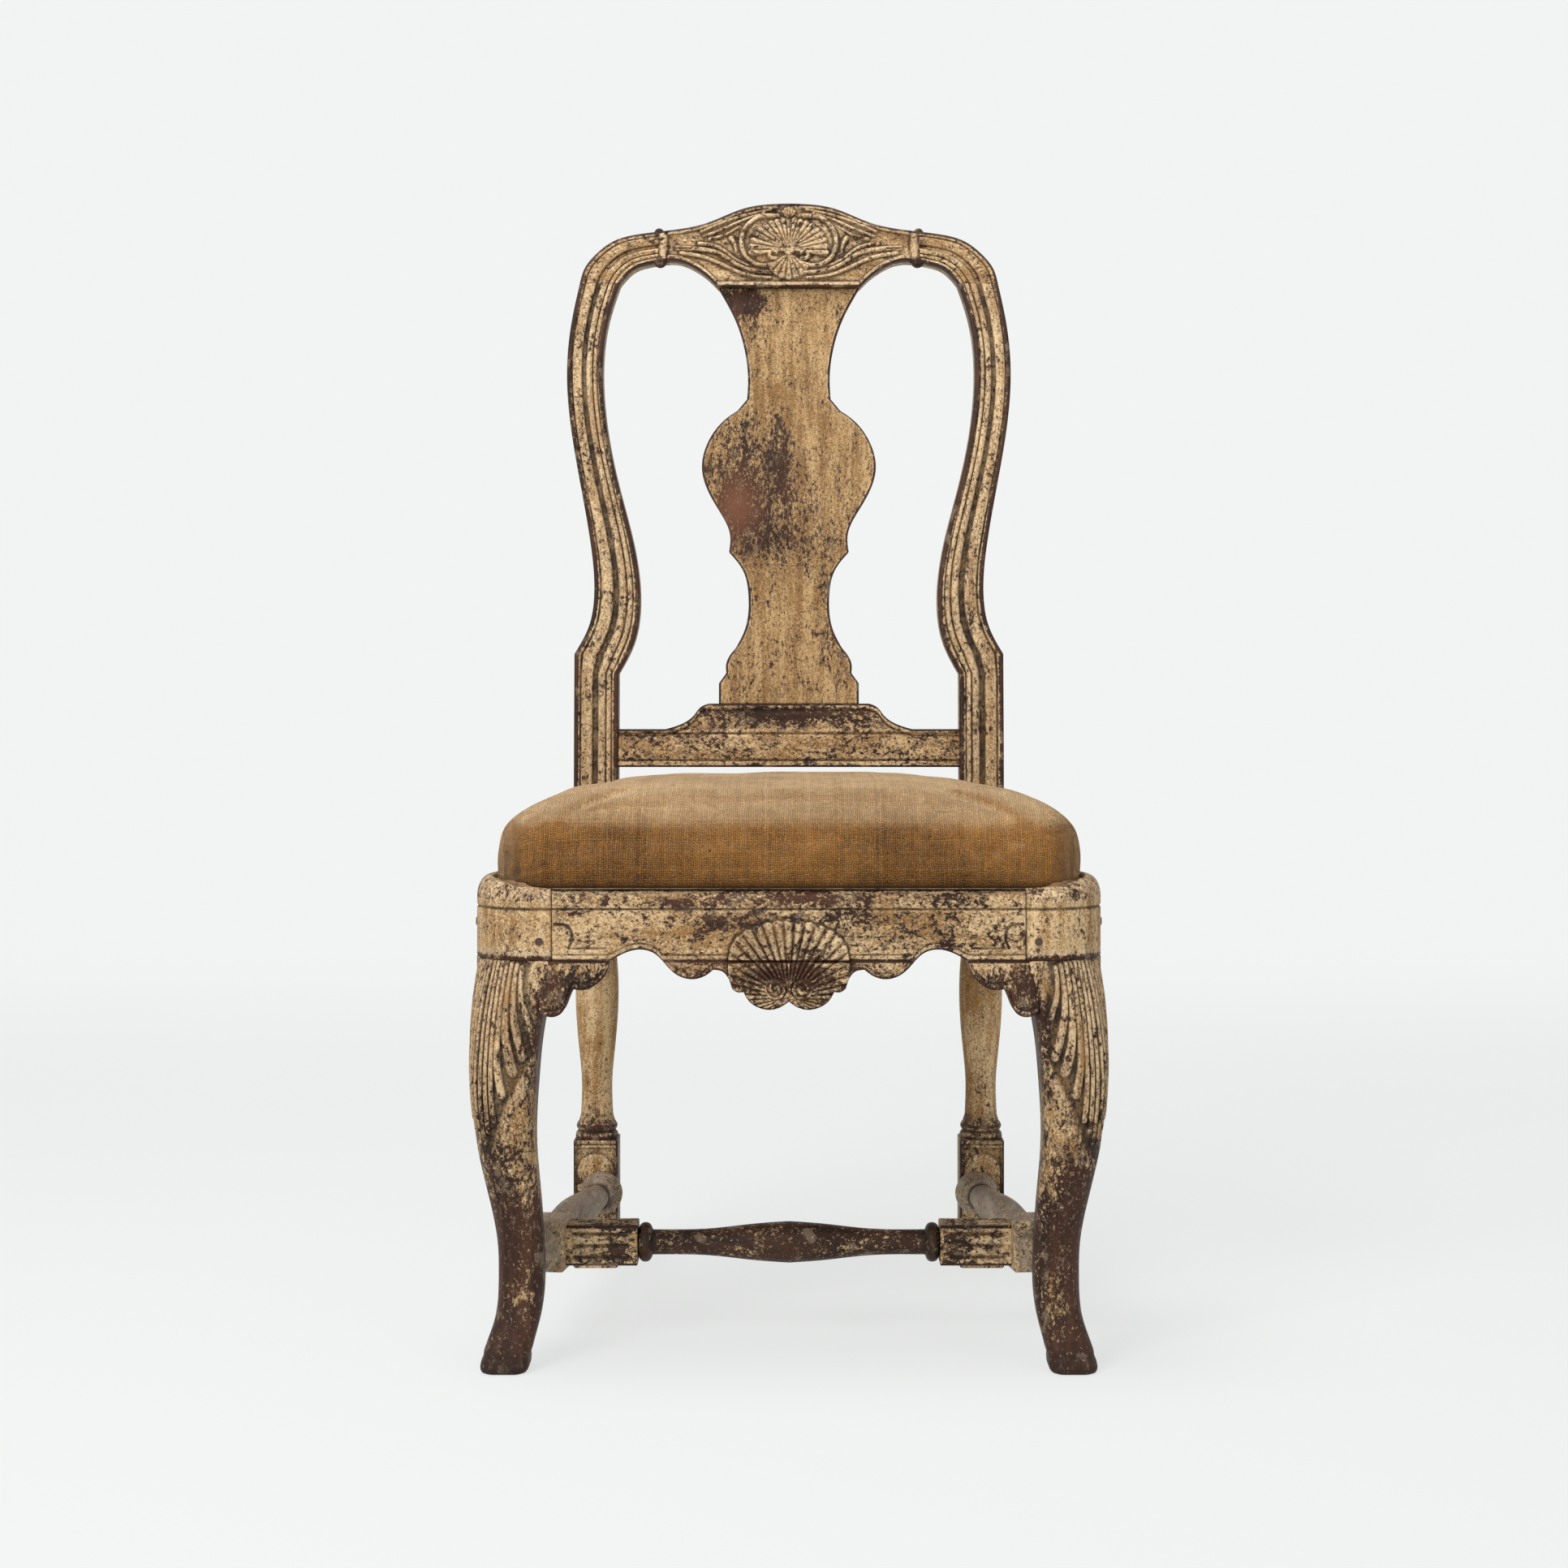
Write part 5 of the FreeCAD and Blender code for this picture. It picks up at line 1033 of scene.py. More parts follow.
@dataclass
class Back:
    """The raked back: rear posts, lower back rail, splat and crest rail."""

    workshop: Workshop
    half_width: float = 205.0
    post: float = 42.0
    depth: float = 400.0
    bend: float = 400.0
    seam: float = 949.0
    rake: float = 73.0
    stile: float = 30.0
    crest_bottom: float = 945.0
    crest_top: float = 1032.0
    shoe_top: float = 537.5
    rail_bottom: float = 477.0
    rail_top: float = 513.0
    seam_inner: float = 166.0
    collar_x: float = 124.0
    splat_corner: float = 69.0
    splat_thickness: float = 12.0
    splat_behind: float = 9.0
    rail_thickness: float = 24.0
    rail_behind: float = 3.0

    def raked(self, pattern: Array, depth: Array) -> Array:
        """Board points on the raked back: y = D + R - sqrt((R - d)^2 - (z - bend)^2).

        Args:
            pattern: x and z of the points.
            depth: depth behind the front face of the back.
        Returns:
            The points in millimetres.
        """
        radius = ((self.seam - self.bend) ** 2 + self.rake ** 2) / (2 * self.rake)
        z = pattern[..., 1]
        y = self.depth + radius - np.sqrt((radius - depth) ** 2 - (z - self.bend) ** 2)
        return np.stack([pattern[..., 0], y, z], axis=-1)

    def moulding(self, share: Array) -> Array:
        """Relief of the moulded stile across its width, inner edge 0 to outer edge 1."""
        knots = (0, 0.06, 0.12, 0.145, 0.17, 0.21, 0.25, 0.275, 0.30, 0.37, 0.43, 0.47, 0.56, 0.60,
                 0.66, 0.74, 0.82, 0.855, 0.885, 0.94, 1)
        rise = (-1.6, -0.9, -1, -2.6, -1, -0.5, -1, -2.8, -1, -0.3, -1.2, -4.2, -4.8, -1.4,
                -0.5, -0.2, -0.9, -3, -1.2, -0.8, -1.8)
        return np.interp(share, knots, rise)

    def stile_shell(self) -> Shell:
        """The right stile over the bend: outer and inner edges are splines of the height."""
        inner_x, outer_start, inner_start = self.half_width - self.post, 585, 566
        outer = outline([(self.half_width - inset, mix(outer_start, self.seam, share)) for share, inset in (
            (0, 0), (0.077, 14.1), (0.146, 18.3), (0.291, 14.6), (0.508, 0), (0.742, -10.6),
            (0.879, -7.9), (1, 0))])
        inner = outline([(inner_x - inset, mix(inner_start, self.seam, share)) for share, inset in (
            (0, 0), (0.073, 14), (0.18, 20.3), (0.326, 13.5), (0.49, -2.9), (0.676, -16.1),
            (0.78, -18.3), (0.914, -12.8), (1, -3))])
        z = np.linspace(self.bend, self.seam, 420)
        high = np.where(z < outer_start, self.half_width, read_off(outer, z, 1))
        low = np.where(z < inner_start, inner_x, read_off(inner, z, 1))
        board = Board(contour(low, z), contour(high, z), plain_back(self.stile), 2.5, 104,
                      cavity_depth=0.6, passes=50, rubbed=8)
        return board.shell(self.raked, lambda px, pz, share: self.moulding(share))

    def post_shells(self) -> list[Shell]:
        """The right rear post: foot, turned leg, square and stile."""
        middle = self.half_width - self.post / 2
        centre_y = self.depth + self.post / 2
        up = np.array([[0, 0, 1], [1, 0, 0], [0, 1, 0]])
        stations, eased, spring = 110, 1.2, 92
        z = np.concatenate([[0.3], np.linspace(1.2, 120.8, stations), [121.7]])
        inset = np.array([eased] + [0] * stations + [eased])
        board = Board(contour(self.half_width - self.post + inset, z), contour(self.half_width - inset, z),
                      plain_back(self.post), 2, 44, behind=self.depth)

        def arch(px: Array, pz: Array, share: Array) -> Array:
            """An incised arch over the stretcher, its spandrels sunk."""
            off = np.abs(px - middle)
            away = np.where(pz > spring, np.hypot(off, pz - spring), off)
            inside = ease(115.5, 114.5, pz) * ease(62, 64, pz) * ease(19.5, 18.7, off)
            return -1.5 * ease(16.4, 17.2, away) * inside - 1.3 * bell(pz, 117.5, 0.8)

        leg = turning(
            [(120, 12), (120, 19.8)], [(123.5, 20.4), (127, 19.8)], [(129, 17.6)],
            [(133.5, 19.6), (138, 17.2)], [(144, 15.4)],
            [(179, 14.7), (206, 17.1), (261, 20.6), (294, 19.1), (319, 16.2)], [(319.5, 8)])
        turned = lathe(leg, np.array([middle, centre_y, 0]), up[0])
        square = squared(np.array([middle, centre_y, 347.3]), up, (30, 21, 21), 2)
        neck = squared(np.array([middle, self.depth + 16.5, 388]), up, (13, 21, 16.4), 1.5)
        return [board.shell(upright, arch), turned, square, neck, self.stile_shell()]

    def build_posts(self) -> None:
        """Both rear posts."""
        wear = Wear(0.35, spots=(Spot(184, 60, 40, 60, 0.1), Spot(184, 132, 40, 9, 0.25),
                                 Spot(184, 235, 60, 60, -0.22)))
        right = [shell.worn(wear) for shell in self.post_shells()]
        self.workshop.pair("rear_post", "carved", right, UPRIGHT_PAINT)

    def splat_half(self) -> Array:
        """Half width of the splat against height, from runs of half width and share of the height."""
        foot, waist, cusp, belly, neck, top = 67, 38.8, 57.7, 84.2, 39.8, 69
        runs = (
            ((top, 1), (mix(neck, top, 0.473), 0.929), (mix(neck, top, 0.12), 0.849), (neck, 0.767),
             (mix(neck, top, 0.03), 0.726)),
            ((mix(neck, belly, 0.23), 0.698),),
            ((mix(neck, belly, 0.455), 0.681), (mix(neck, belly, 0.86), 0.6245), (belly, 0.56),
             (mix(cusp, belly, 0.465), 0.4675), (0.98 * cusp, 0.394), (cusp, 0.358)),
            ((mix(waist, cusp, 0.275), 0.313), (waist, 0.252), (mix(waist, foot, 0.13), 0.173),
             (mix(waist, foot, 0.43), 0.131)),
            ((mix(waist, foot, 0.645), 0.112), (mix(waist, foot, 0.76), 0.092),
             (mix(waist, foot, 0.75), 0.072)),
            ((foot, 0.048),),
            ((foot, 0),))
        return outline(*[[(half, mix(self.shoe_top, self.crest_bottom, share)) for half, share in run]
                         for run in runs])

    def build_splat(self) -> None:
        """The plain vase splat with its worn patches."""
        z = np.linspace(self.shoe_top, self.crest_bottom, 340)
        half = read_off(self.splat_half(), z, 1)
        board = Board(contour(-half, z), contour(half, z), plain_back(self.splat_thickness), 1.6, 70,
                      rubbed=3.6, behind=self.splat_behind)
        wear = Wear(0.32, spots=(
            Spot(-45, 930, 19, 13, 0.85), Spot(-36, 900, 7, 12, 0.25),
            Spot(-8, 765, 15, 38, 0.42), Spot(-50, 728, 22, 30, 0.5, 1),
            Spot(-48, 785, 30, 34, 0.22), Spot(5, 700, 40, 26, 0.2),
            Spot(40, 640, 14, 40, 0.12), Spot(-30, 690, 24, 16, 0.2),
            Spot(46, 600, 12, 34, 0.14), Spot(20, 860, 30, 60, -0.06)))
        self.workshop.part("splat", "painted", [board.shell(self.raked).worn(wear)], SPLAT_PAINT)

    def build_lower_rail(self) -> None:
        """The lower back rail with its moulded shoe."""
        shoe, ends, inner, rise = 77, 118.3, 163, 24.5
        top = outline(
            [(0, self.shoe_top), (shoe, self.shoe_top)],
            [(mix(shoe, ends, share), self.shoe_top - fall * rise)
             for share, fall in ((0.18, 0.14), (0.32, 0.43), (0.63, 0.8))] + [(ends, self.rail_top)],
            [(inner, self.rail_top)])
        x = np.linspace(-inner, inner, 340)
        high = read_off(top, np.abs(x))

        def carving(px: Array, pz: Array, share: Array) -> Array:
            """A bead along the upper edge, a hollow under the shoe and a chamfer below."""
            under = high[:, None] - pz
            bead = np.interp(under, (0, 2, 4.5, 6, 7.5, 10), (-1.6, -0.4, -0.6, -2.6, -1.6, -1))
            step = -1.4 * ease(self.rail_top - 3, self.rail_top + 2, pz)
            return bead + step - 1.6 * bell(pz, 483.5, 1.1) - 1.4 * bell(pz, 509, 1.1)

        board = Board(contour(x, self.rail_bottom), contour(x, high), plain_back(self.rail_thickness), 2,
                      56, behind=self.rail_behind)
        wear = Wear(0.42, spots=(Spot(0, 527, 75, 9, 0.4),))
        shell = board.shell(self.raked, carving).worn(wear)
        self.workshop.part("lower_back_rail", "moulded", [shell], LEVEL_PAINT)

    def crest_edges(self) -> list[Array]:
        """Under and upper edge of the crest, station by station from the left seam to the right."""
        drop, hollow = self.crest_top - self.seam, 22.5
        over = outline([(share * self.half_width, self.crest_top - fall * drop) for share, fall in (
            (0, 0), (0.215, 0.06), (0.39, 0.24), (0.537, 0.325), (0.732, 0.39), (0.84, 0.47),
            (0.927, 0.64), (0.98, 0.82), (1, 1))])
        under = outline(
            [(0, self.crest_bottom), (self.splat_corner, self.crest_bottom)],
            [(mix(self.seam_inner, self.splat_corner, share), self.seam + rise * hollow) for share, rise in (
                (0.9, 0.27), (0.77, 0.69), (0.61, 1), (0.32, 0.93), (0.16, 0.71), (0, 0))])
        x = np.linspace(0, self.collar_x, 190)
        edges = []
        for curve in (under, over):
            shoulder = even_steps(curve[curve[:, 0] >= self.collar_x], 110)
            half = np.concatenate([contour(x, read_off(curve, x)), shoulder])
            edges.append(np.concatenate([half[:0:-1] * (-1, 1), half]))
        return edges

    def crest_field(self, px: Array, pz: Array, up: Array, down: Array) -> Array:
        """Carved middle of the crest: shell in a C scroll, palmette, leaf ribs and rims on sunk ground.

        Args:
            px, pz: distance to the right, and height.
            up, down: distance below the upper edge and above the lower edge.
        Returns:
            Relief in millimetres, at most zero.
        """
        x = np.abs(px)
        field = fan(px, pz - 984, (40, 34), 1.75, 19, 3.4)
        field = np.maximum(field, 3.4 * ease(6.6, 4.6, np.hypot(px, pz - 984.5)))
        field = np.maximum(field, fan(px, 981 - pz, (24, 28), 1, 7, 3.3))
        field = np.maximum(field, fan(px, pz - 1015, (9, 14), 0.75, 5, 3.2))
        strokes = (
            Stroke([(11.5, 1019), (30.4, 1018), (41.6, 1008.3), (46.4, 997), (45.6, 984.3),
                    (40, 974.7), (25.6, 968), (13, 970.5)], 2.6, 2, 3.5),
            Stroke([(13, 975), (17.5, 976), (19, 980), (15.5, 983), (12, 981)],
                   2.4, 1.6, 3.5),
            Stroke([(110, 985.8), (86, 984.5), (67, 979.5), (51, 969), (32, 962.5),
                    (13, 961)], 2.9, 1.6, 3.3),
            Stroke([(88, 990.5), (68, 986), (55, 976), (38, 967)], 2.1, 1.2, 2.9),
            Stroke([(106, 980.5), (84, 976.5), (60, 966), (38, 957.5), (18, 955.5)],
                   2.4, 1.4, 3.1),
            Stroke([(57, 996), (53.5, 990), (52, 981)], 2.6, 0.8, 3.2),
            Stroke([(86, 1003), (64, 1013), (40, 1021), (17, 1026)], 1.7, 1.3, 2.9),
            Stroke([(84, 998), (62, 1007), (44, 1015.5), (24, 1022.5)], 1.6, 1.2, 2.7),
            Stroke([(78, 995), (62, 1000), (50, 1007.5)], 1.7, 1, 2.5))
        for stroke in strokes:
            field = np.maximum(field, stroke.relief(x, pz))
        rim = np.interp(up, (0, 2.5, 4.2, 5, 6), (3.2, 3.6, 3, 0.6, 0)) * ease(9, 13, x)
        edge = np.interp(down, (0, 3.5, 5.5, 6.3, 7.2), (3, 3.4, 3.2, 0.4, 0))
        field = np.maximum(field, np.maximum(rim, edge))
        channel = Stroke([(118, 985.5), (96, 985.2)], 1.3, 0.9, 2).relief(x, pz)
        eye = 2.4 * ease(2.6, 1, np.hypot(x - 11.5, pz - 1017.5))
        hole = 2.4 * ease(2.3, 0.8, np.hypot(x - 15.3, pz - 979.3))
        most, ground = 3.6, 3.9
        return np.clip(field - channel - eye - hole, 0, most) - ground

    def build_crest(self) -> None:
        """The carved crest rail: moulded shoulders, a collar either side of the carved field."""
        low, high = self.crest_edges()
        width = np.linalg.norm(high - low, axis=1)[:, None]
        collar, seam_from, knob_depth = 4.6, 120, 6.5

        def carving(px: Array, pz: Array, share: Array) -> Array:
            """Relief of the whole crest."""
            x = np.abs(px)
            field = self.crest_field(px, pz, (1 - share) * width, share * width)
            outside = ease(self.collar_x - 1.5, self.collar_x + 1.5, x)
            relief = outside * self.moulding(share) + (1 - outside) * field
            away = np.abs(x - self.collar_x) / collar
            return np.where(away < 1, -0.2 - 3 * away ** 2.2, relief)

        crest = Board(low, high, plain_back(self.stile), 2.2, 130, 0.7, 18, 4).shell(self.raked, carving)
        seam = ease(self.seam + 1.1, self.seam + 0.2, crest.points[:, 2])
        seam = seam * (np.abs(crest.points[:, 0]) > seam_from)
        crest.values["cavity"] = np.maximum(crest.values["cavity"], seam)
        shells = [crest]
        swing = np.linspace(0.02, math.pi - 0.02, 22)
        ball = np.stack([-np.cos(swing), np.sin(swing)], 1)
        for x, z, radius in ((126.5, 972.5, 6.6), (128, 1001.5, 5)):
            middle = self.raked(np.array([x, z]), np.array(knob_depth))
            knob = lathe(ball * radius, middle, np.array([0, 1, 0]), 28)
            shells += [knob, knob.mirrored()]
        self.workshop.part("crest_rail", "carved", [shell.worn(Wear(0.36)) for shell in shells], LEVEL_PAINT)

    def build(self) -> None:
        """All pieces of the back."""
        self.build_posts()
        self.build_splat()
        self.build_lower_rail()
        self.build_crest()


@dataclass
class SeatFrame:
    """Seat rails, the carved drop under the front rail and the knee brackets."""

    workshop: Workshop
    top: float = 391.0
    bottom: float = 333.5
    ledge: float = 377.0
    lip: float = 13.0
    lip_rise: float = 9.0
    lip_round: float = 10.5
    rail: float = 26.0
    shoulder: float = 190.0
    half_front: float = 254.5
    stump: float = 64.5
    depth: float = 400.0
    slope: float = math.atan2(49.5, 335.5)
    shell_half: float = 48.5
    shell_rise: float = 34.0
    shell_drop: float = 39.0
    shell_relief: float = 5.0
    arch_outer: float = 143.5
    arch_inner: float = 101.0

    def side_x(self, y: float) -> float:
        """X of the right side of the frame at a depth."""
        return self.half_front - (y - self.stump) * math.tan(self.slope)

    def shell(self, px: Array, pz: Array) -> Array:
        """Relief of the apron shell: flutes |cos(n a)| that fan out from a point below the rail.

        Args:
            px, pz: distance to the right, and height.
        Returns:
            Relief in millimetres, zero outside the shell.
        """
        over = outline([(0, self.shell_rise), (26.2, 28.6), (44.1, 16.3), (self.shell_half, 0)])
        x = np.abs(px)
        edge = self.bottom + np.interp(x, over[:, 0], over[:, 1], right=-99)
        hub, spread, eye_x, eye_z, pitch = 305, 22, 10.5, 311.5, 4.6
        reach = np.hypot(x, pz - hub)
        flutes = np.abs(np.cos(np.arctan2(x, pz - hub) * spread))
        scallop = 1.4 * (1 - flutes)
        inside = ease(-0.6, 0.6, edge - scallop - pz) * (x < self.shell_half)
        deep = 3 * (1 - flutes ** 0.8) * ease(9, 16, reach)
        raised = inside * (self.shell_relief - deep - 1.6 * bell(reach, 26, 16))
        volute = np.hypot(x - eye_x, pz - eye_z)
        turn = np.arctan2(pz - eye_z, x - eye_x)
        curl = np.cos(2 * math.pi * volute / pitch - turn)
        boss = ease(9.5, 8, volute) * (3.6 + 1.2 * curl)
        return np.where(boss > 0.05, np.maximum(boss, raised * ease(8, 9.5, volute)), raised)

    def build_front_rail(self) -> None:
        """The front rail with its arched underside and the upper half of the shell."""
        arch = outline([(self.arch_outer, 0), (135.9, 4.3), (120.1, 9.2), (107.8, 6.1),
                        (self.arch_inner, 0)])
        x = np.linspace(-self.shoulder, self.shoulder, 560)
        low_z = self.bottom + np.interp(-np.abs(x), -arch[:, 0], arch[:, 1], left=0, right=0)
        scroll = Stroke([(187.5, 363), (177, 361), (173.5, 352), (176.5, 344)], 1.5, 1.2, 1.8)
        line = Stroke([(176, 343.6), (147, 343.8)], 0.9, 0.9, 1.1)

        def carving(px: Array, pz: Array, share: Array) -> Array:
            """Lip, groove under it, bead along the lower edge, scrolled lines, and the shell."""
            over = np.clip(pz - self.top + self.lip_round, 0, self.lip_round)
            lip = np.sqrt(np.clip(self.lip_round ** 2 - over ** 2, 0, None)) - self.lip_round
            off = pz - low_z[:, None]
            bead = -1.1 * bell(off, 5, 0.8) - 0.9 * ease(3.6, 0.5, off)
            joint = -ease(self.shoulder - 1, self.shoulder, np.abs(px))
            shell = self.shell(px, pz)
            plain = lip - 1.7 * bell(pz, 375, 0.9) + bead + joint
            plain = plain - scroll.relief(np.abs(px), pz) - line.relief(np.abs(px), pz)
            return np.where(shell > 0.05, shell + np.minimum(lip, 0) * (pz > 376), plain)

        fall = self.ledge - self.top
        back = [(1, 0, self.lip), (1, fall, self.lip), (1, fall, self.rail), (0, 0, self.rail)]
        board = Board(contour(x, low_z), contour(x, self.top), back, 1.2, 84, passes=10)
        wear = Wear(0.34, spots=(
            Spot(0, 384, 75, 7, 0.3), Spot(-100, 379, 30, 4, 0.24), Spot(110, 384, 70, 6, 0.16),
            Spot(120, 356, 70, 18, 0.14), Spot(-50, 364, 30, 8, 0.26), Spot(40, 369, 60, 5, 0.2),
            Spot(0, 338, 44, 20, 0.08, 0.1)))
        shell = board.shell(upright, carving).worn(wear)
        self.workshop.part("front_rail", "carved", [shell], LEVEL_PAINT)

    def build_apron(self) -> None:
        """The strip under the front rail: two lobes and the lower half of the shell."""
        half, drop, lobe, start = self.shell_half, self.shell_drop, 14.5, self.arch_inner
        under = outline(
            [(start, 0), (mix(half, start, 0.77), -0.79 * lobe), (mix(half, start, 0.53), -lobe),
             (mix(half, start, 0.33), -0.76 * lobe), (mix(half, start, 0.23), -0.48 * lobe)],
            [(mix(half, start, 0.09), -0.58 * lobe), (0.985 * half, -0.38 * drop)],
            [(0.94 * half, -0.56 * drop)],
            [(0.85 * half, -0.64 * drop), (0.75 * half, -0.635 * drop)],
            [(0.66 * half, -0.82 * drop), (0.49 * half, -0.96 * drop), (0.32 * half, -drop),
             (0.13 * half, -0.94 * drop), (0, -0.83 * drop)])
        x = np.linspace(-start, start, 420)
        low_z = self.bottom + read_off(under, np.abs(x))

        def carving(px: Array, pz: Array, share: Array) -> Array:
            """The lower half of the shell, and an incised line along the lobes."""
            off = pz - low_z[:, None]
            inside = ease(half + 0.6, half - 0.6, np.abs(px))
            line = -bell(off, 4.5, 0.8) - 0.8 * ease(3, 0.5, off)
            rim = -1.6 * ease(3, 0, off)
            seam = -0.9 * ease(self.bottom - 1.2, self.bottom, pz)
            return inside * (self.shell(px, pz) + rim) + (1 - inside) * line + seam

        board = Board(contour(x, low_z), contour(x, self.bottom), plain_back(self.rail), 1, 70, passes=10)
        wear = Wear(0.4, spots=(Spot(0, 320, 52, 15, 0.34, 0.15),
                                Spot(0, 311, 20, 6, -0.25)))
        self.workshop.part("apron_drop", "carved", [board.shell(upright, carving).worn(wear)], LEVEL_PAINT)

    def raised(self, shell: Shell) -> Shell:
        """The lip's points lifted: it climbs across the corner from the front rail to the side rails.

        Args:
            shell: a moulding swept with the rail profile.
        Returns:
            The same moulding, its points between the groove and the top of the lip drawn up.
        """
        x, y, z = shell.points.T
        lip_bottom = 378
        share = (x - self.shoulder + y - self.lip) / (2 * (self.stump - self.lip))
        climb = np.interp(share, (0, 0.3, 0.65, 0.9, 1), (0, 0.2, 0.75, 0.95, 1))
        climb = np.where(y > self.stump - 1, 1, climb)
        lifted = np.clip((z - lip_bottom) / (self.top - lip_bottom), 0, 1)
        shell.points[:, 2] += self.lip_rise * climb * lifted
        return shell

    def rail_profile(self) -> tuple[Array, dict[str, Array]]:
        """Section of a moulded rail, as inward distance and height, with its material values."""
        turn = np.linspace(0, QUARTER, 9)
        groove, lower_edge, rounding = slice(6, 9), slice(2), slice(11, 21)
        face = [(1.2, self.bottom), (0, 335), (0, 345), (0, 356), (0, 366), (0, 373.2),
                (0.5, 374.2), (1.7, 375), (0.5, 375.8), (0, 376.8), (0, 380)]
        lip = np.stack([1 - np.cos(turn), np.sin(turn) - 1], 1) * self.lip_round + (0, self.top)
        inner = [(12.3, self.top), (self.lip, 390.3), (self.lip, self.ledge), (self.rail, self.ledge),
                 (self.rail, self.bottom)]
        profile = np.concatenate([face, lip, inner])
        cavity = np.zeros(len(profile))
        # The groove under the lip gets grime and painted shade.
        cavity[groove] = (0.7, 1, 0.7)
        edge = np.zeros(len(profile))
        edge[lower_edge] = 0.8
        edge[rounding] = 0.6
        return profile, {"cavity": cavity, "edge": edge}

    def build_side_rails(self) -> None:
        """Both side rails, moulded as the front rail is."""
        profile, values = self.rail_profile()
        y = np.linspace(self.stump, self.depth, 60)
        path = np.stack([self.side_x(0) - y * math.tan(self.slope), y], 1)
        inward = np.tile([-math.cos(self.slope), -math.sin(self.slope)], (len(y), 1))
        shell = swept(profile, path, inward, values)
        shell.points[:, 1] = np.repeat(y, len(profile))
        shell = self.raised(shell).worn(Wear(0.33, spots=(Spot(230, 388, 60, 6, 0.2),)))
        self.workshop.pair("side_rail", "moulded", [shell], DEPTH_PAINT)

    def build_rear_rail(self) -> None:
        """The rear rail with its ledge."""
        profile = np.array([(388, 333.5), (388, 376.5), (388.5, 377), (400, 377), (400, 390),
                            (401, 391), (425, 391), (426, 390), (426, 334.5), (425, 333.5)])
        reach, stations, rubbed = 163, 60, 0.3
        path = contour(np.linspace(-reach, reach, stations), 0)
        inward = np.tile([0, 1], (stations, 1))
        shell = swept(profile, path, inward, {"edge": np.full(len(profile), rubbed)})
        self.workshop.part("rear_rail", "plain", [shell.worn(Wear(0.5))], LEVEL_PAINT)

    def bracket(self) -> tuple[Board, Carving]:
        """Board and carving of a knee bracket, along the rail from its leg."""
        length, drop, hidden = 46.5, 45, 10
        under = outline(
            [(length, 0), (0.95 * length, -0.2 * drop), (0.75 * length, -0.43 * drop),
             (0.54 * length, -0.52 * drop), (0.37 * length, -0.5 * drop)],
            [(0.29 * length, -0.68 * drop), (0.15 * length, -0.945 * drop), (0, -drop),
             (-hidden, -0.93 * drop)])
        along = np.linspace(-hidden, length, 100)
        low_z = self.bottom + read_off(under, along)

        def carving(px: Array, pz: Array, share: Array) -> Array:
            """A bead along the scrolled edge and a hollow inside it."""
            off = pz - low_z[:, None]
            return -1.3 * bell(off, 5.5, 1.2) - 0.8 * ease(3, 0, off)

        return Board(contour(along, low_z), contour(along, self.bottom), plain_back(self.rail), 1.6), carving

    def build_brackets(self) -> None:
        """Front and side knee brackets."""
        board, carving = self.bracket()

        def in_front(pattern: Array, depth: Array) -> Array:
            """Bracket points under the front rail."""
            return upright(pattern * (-1, 1) + (self.shoulder, 0), depth)

        def at_side(pattern: Array, depth: Array) -> Array:
            """Bracket points under the right side rail."""
            along = pattern[..., 0]
            x = self.half_front - along * math.tan(self.slope) - depth / math.cos(self.slope)
            return np.stack([x, self.stump + along, pattern[..., 1]], -1)

        front_wear = Wear(0.62, spots=(Spot(165, 330, 30, 6, -0.3),))
        for node, place, wear in (("front_bracket", in_front, front_wear),
                                  ("side_bracket", at_side, Wear(0.45))):
            self.workshop.pair(node, "carved", [board.shell(place, carving).worn(wear)], UPRIGHT_PAINT)

    def build(self) -> None:
        """All pieces of the seat frame."""
        self.build_front_rail()
        self.build_apron()
        self.build_side_rails()
        self.build_rear_rail()
        self.build_brackets()
        self.workshop.dress(PEG_WOOD, "front_rail_pegs", "side_rail_pegs", "back_pegs")


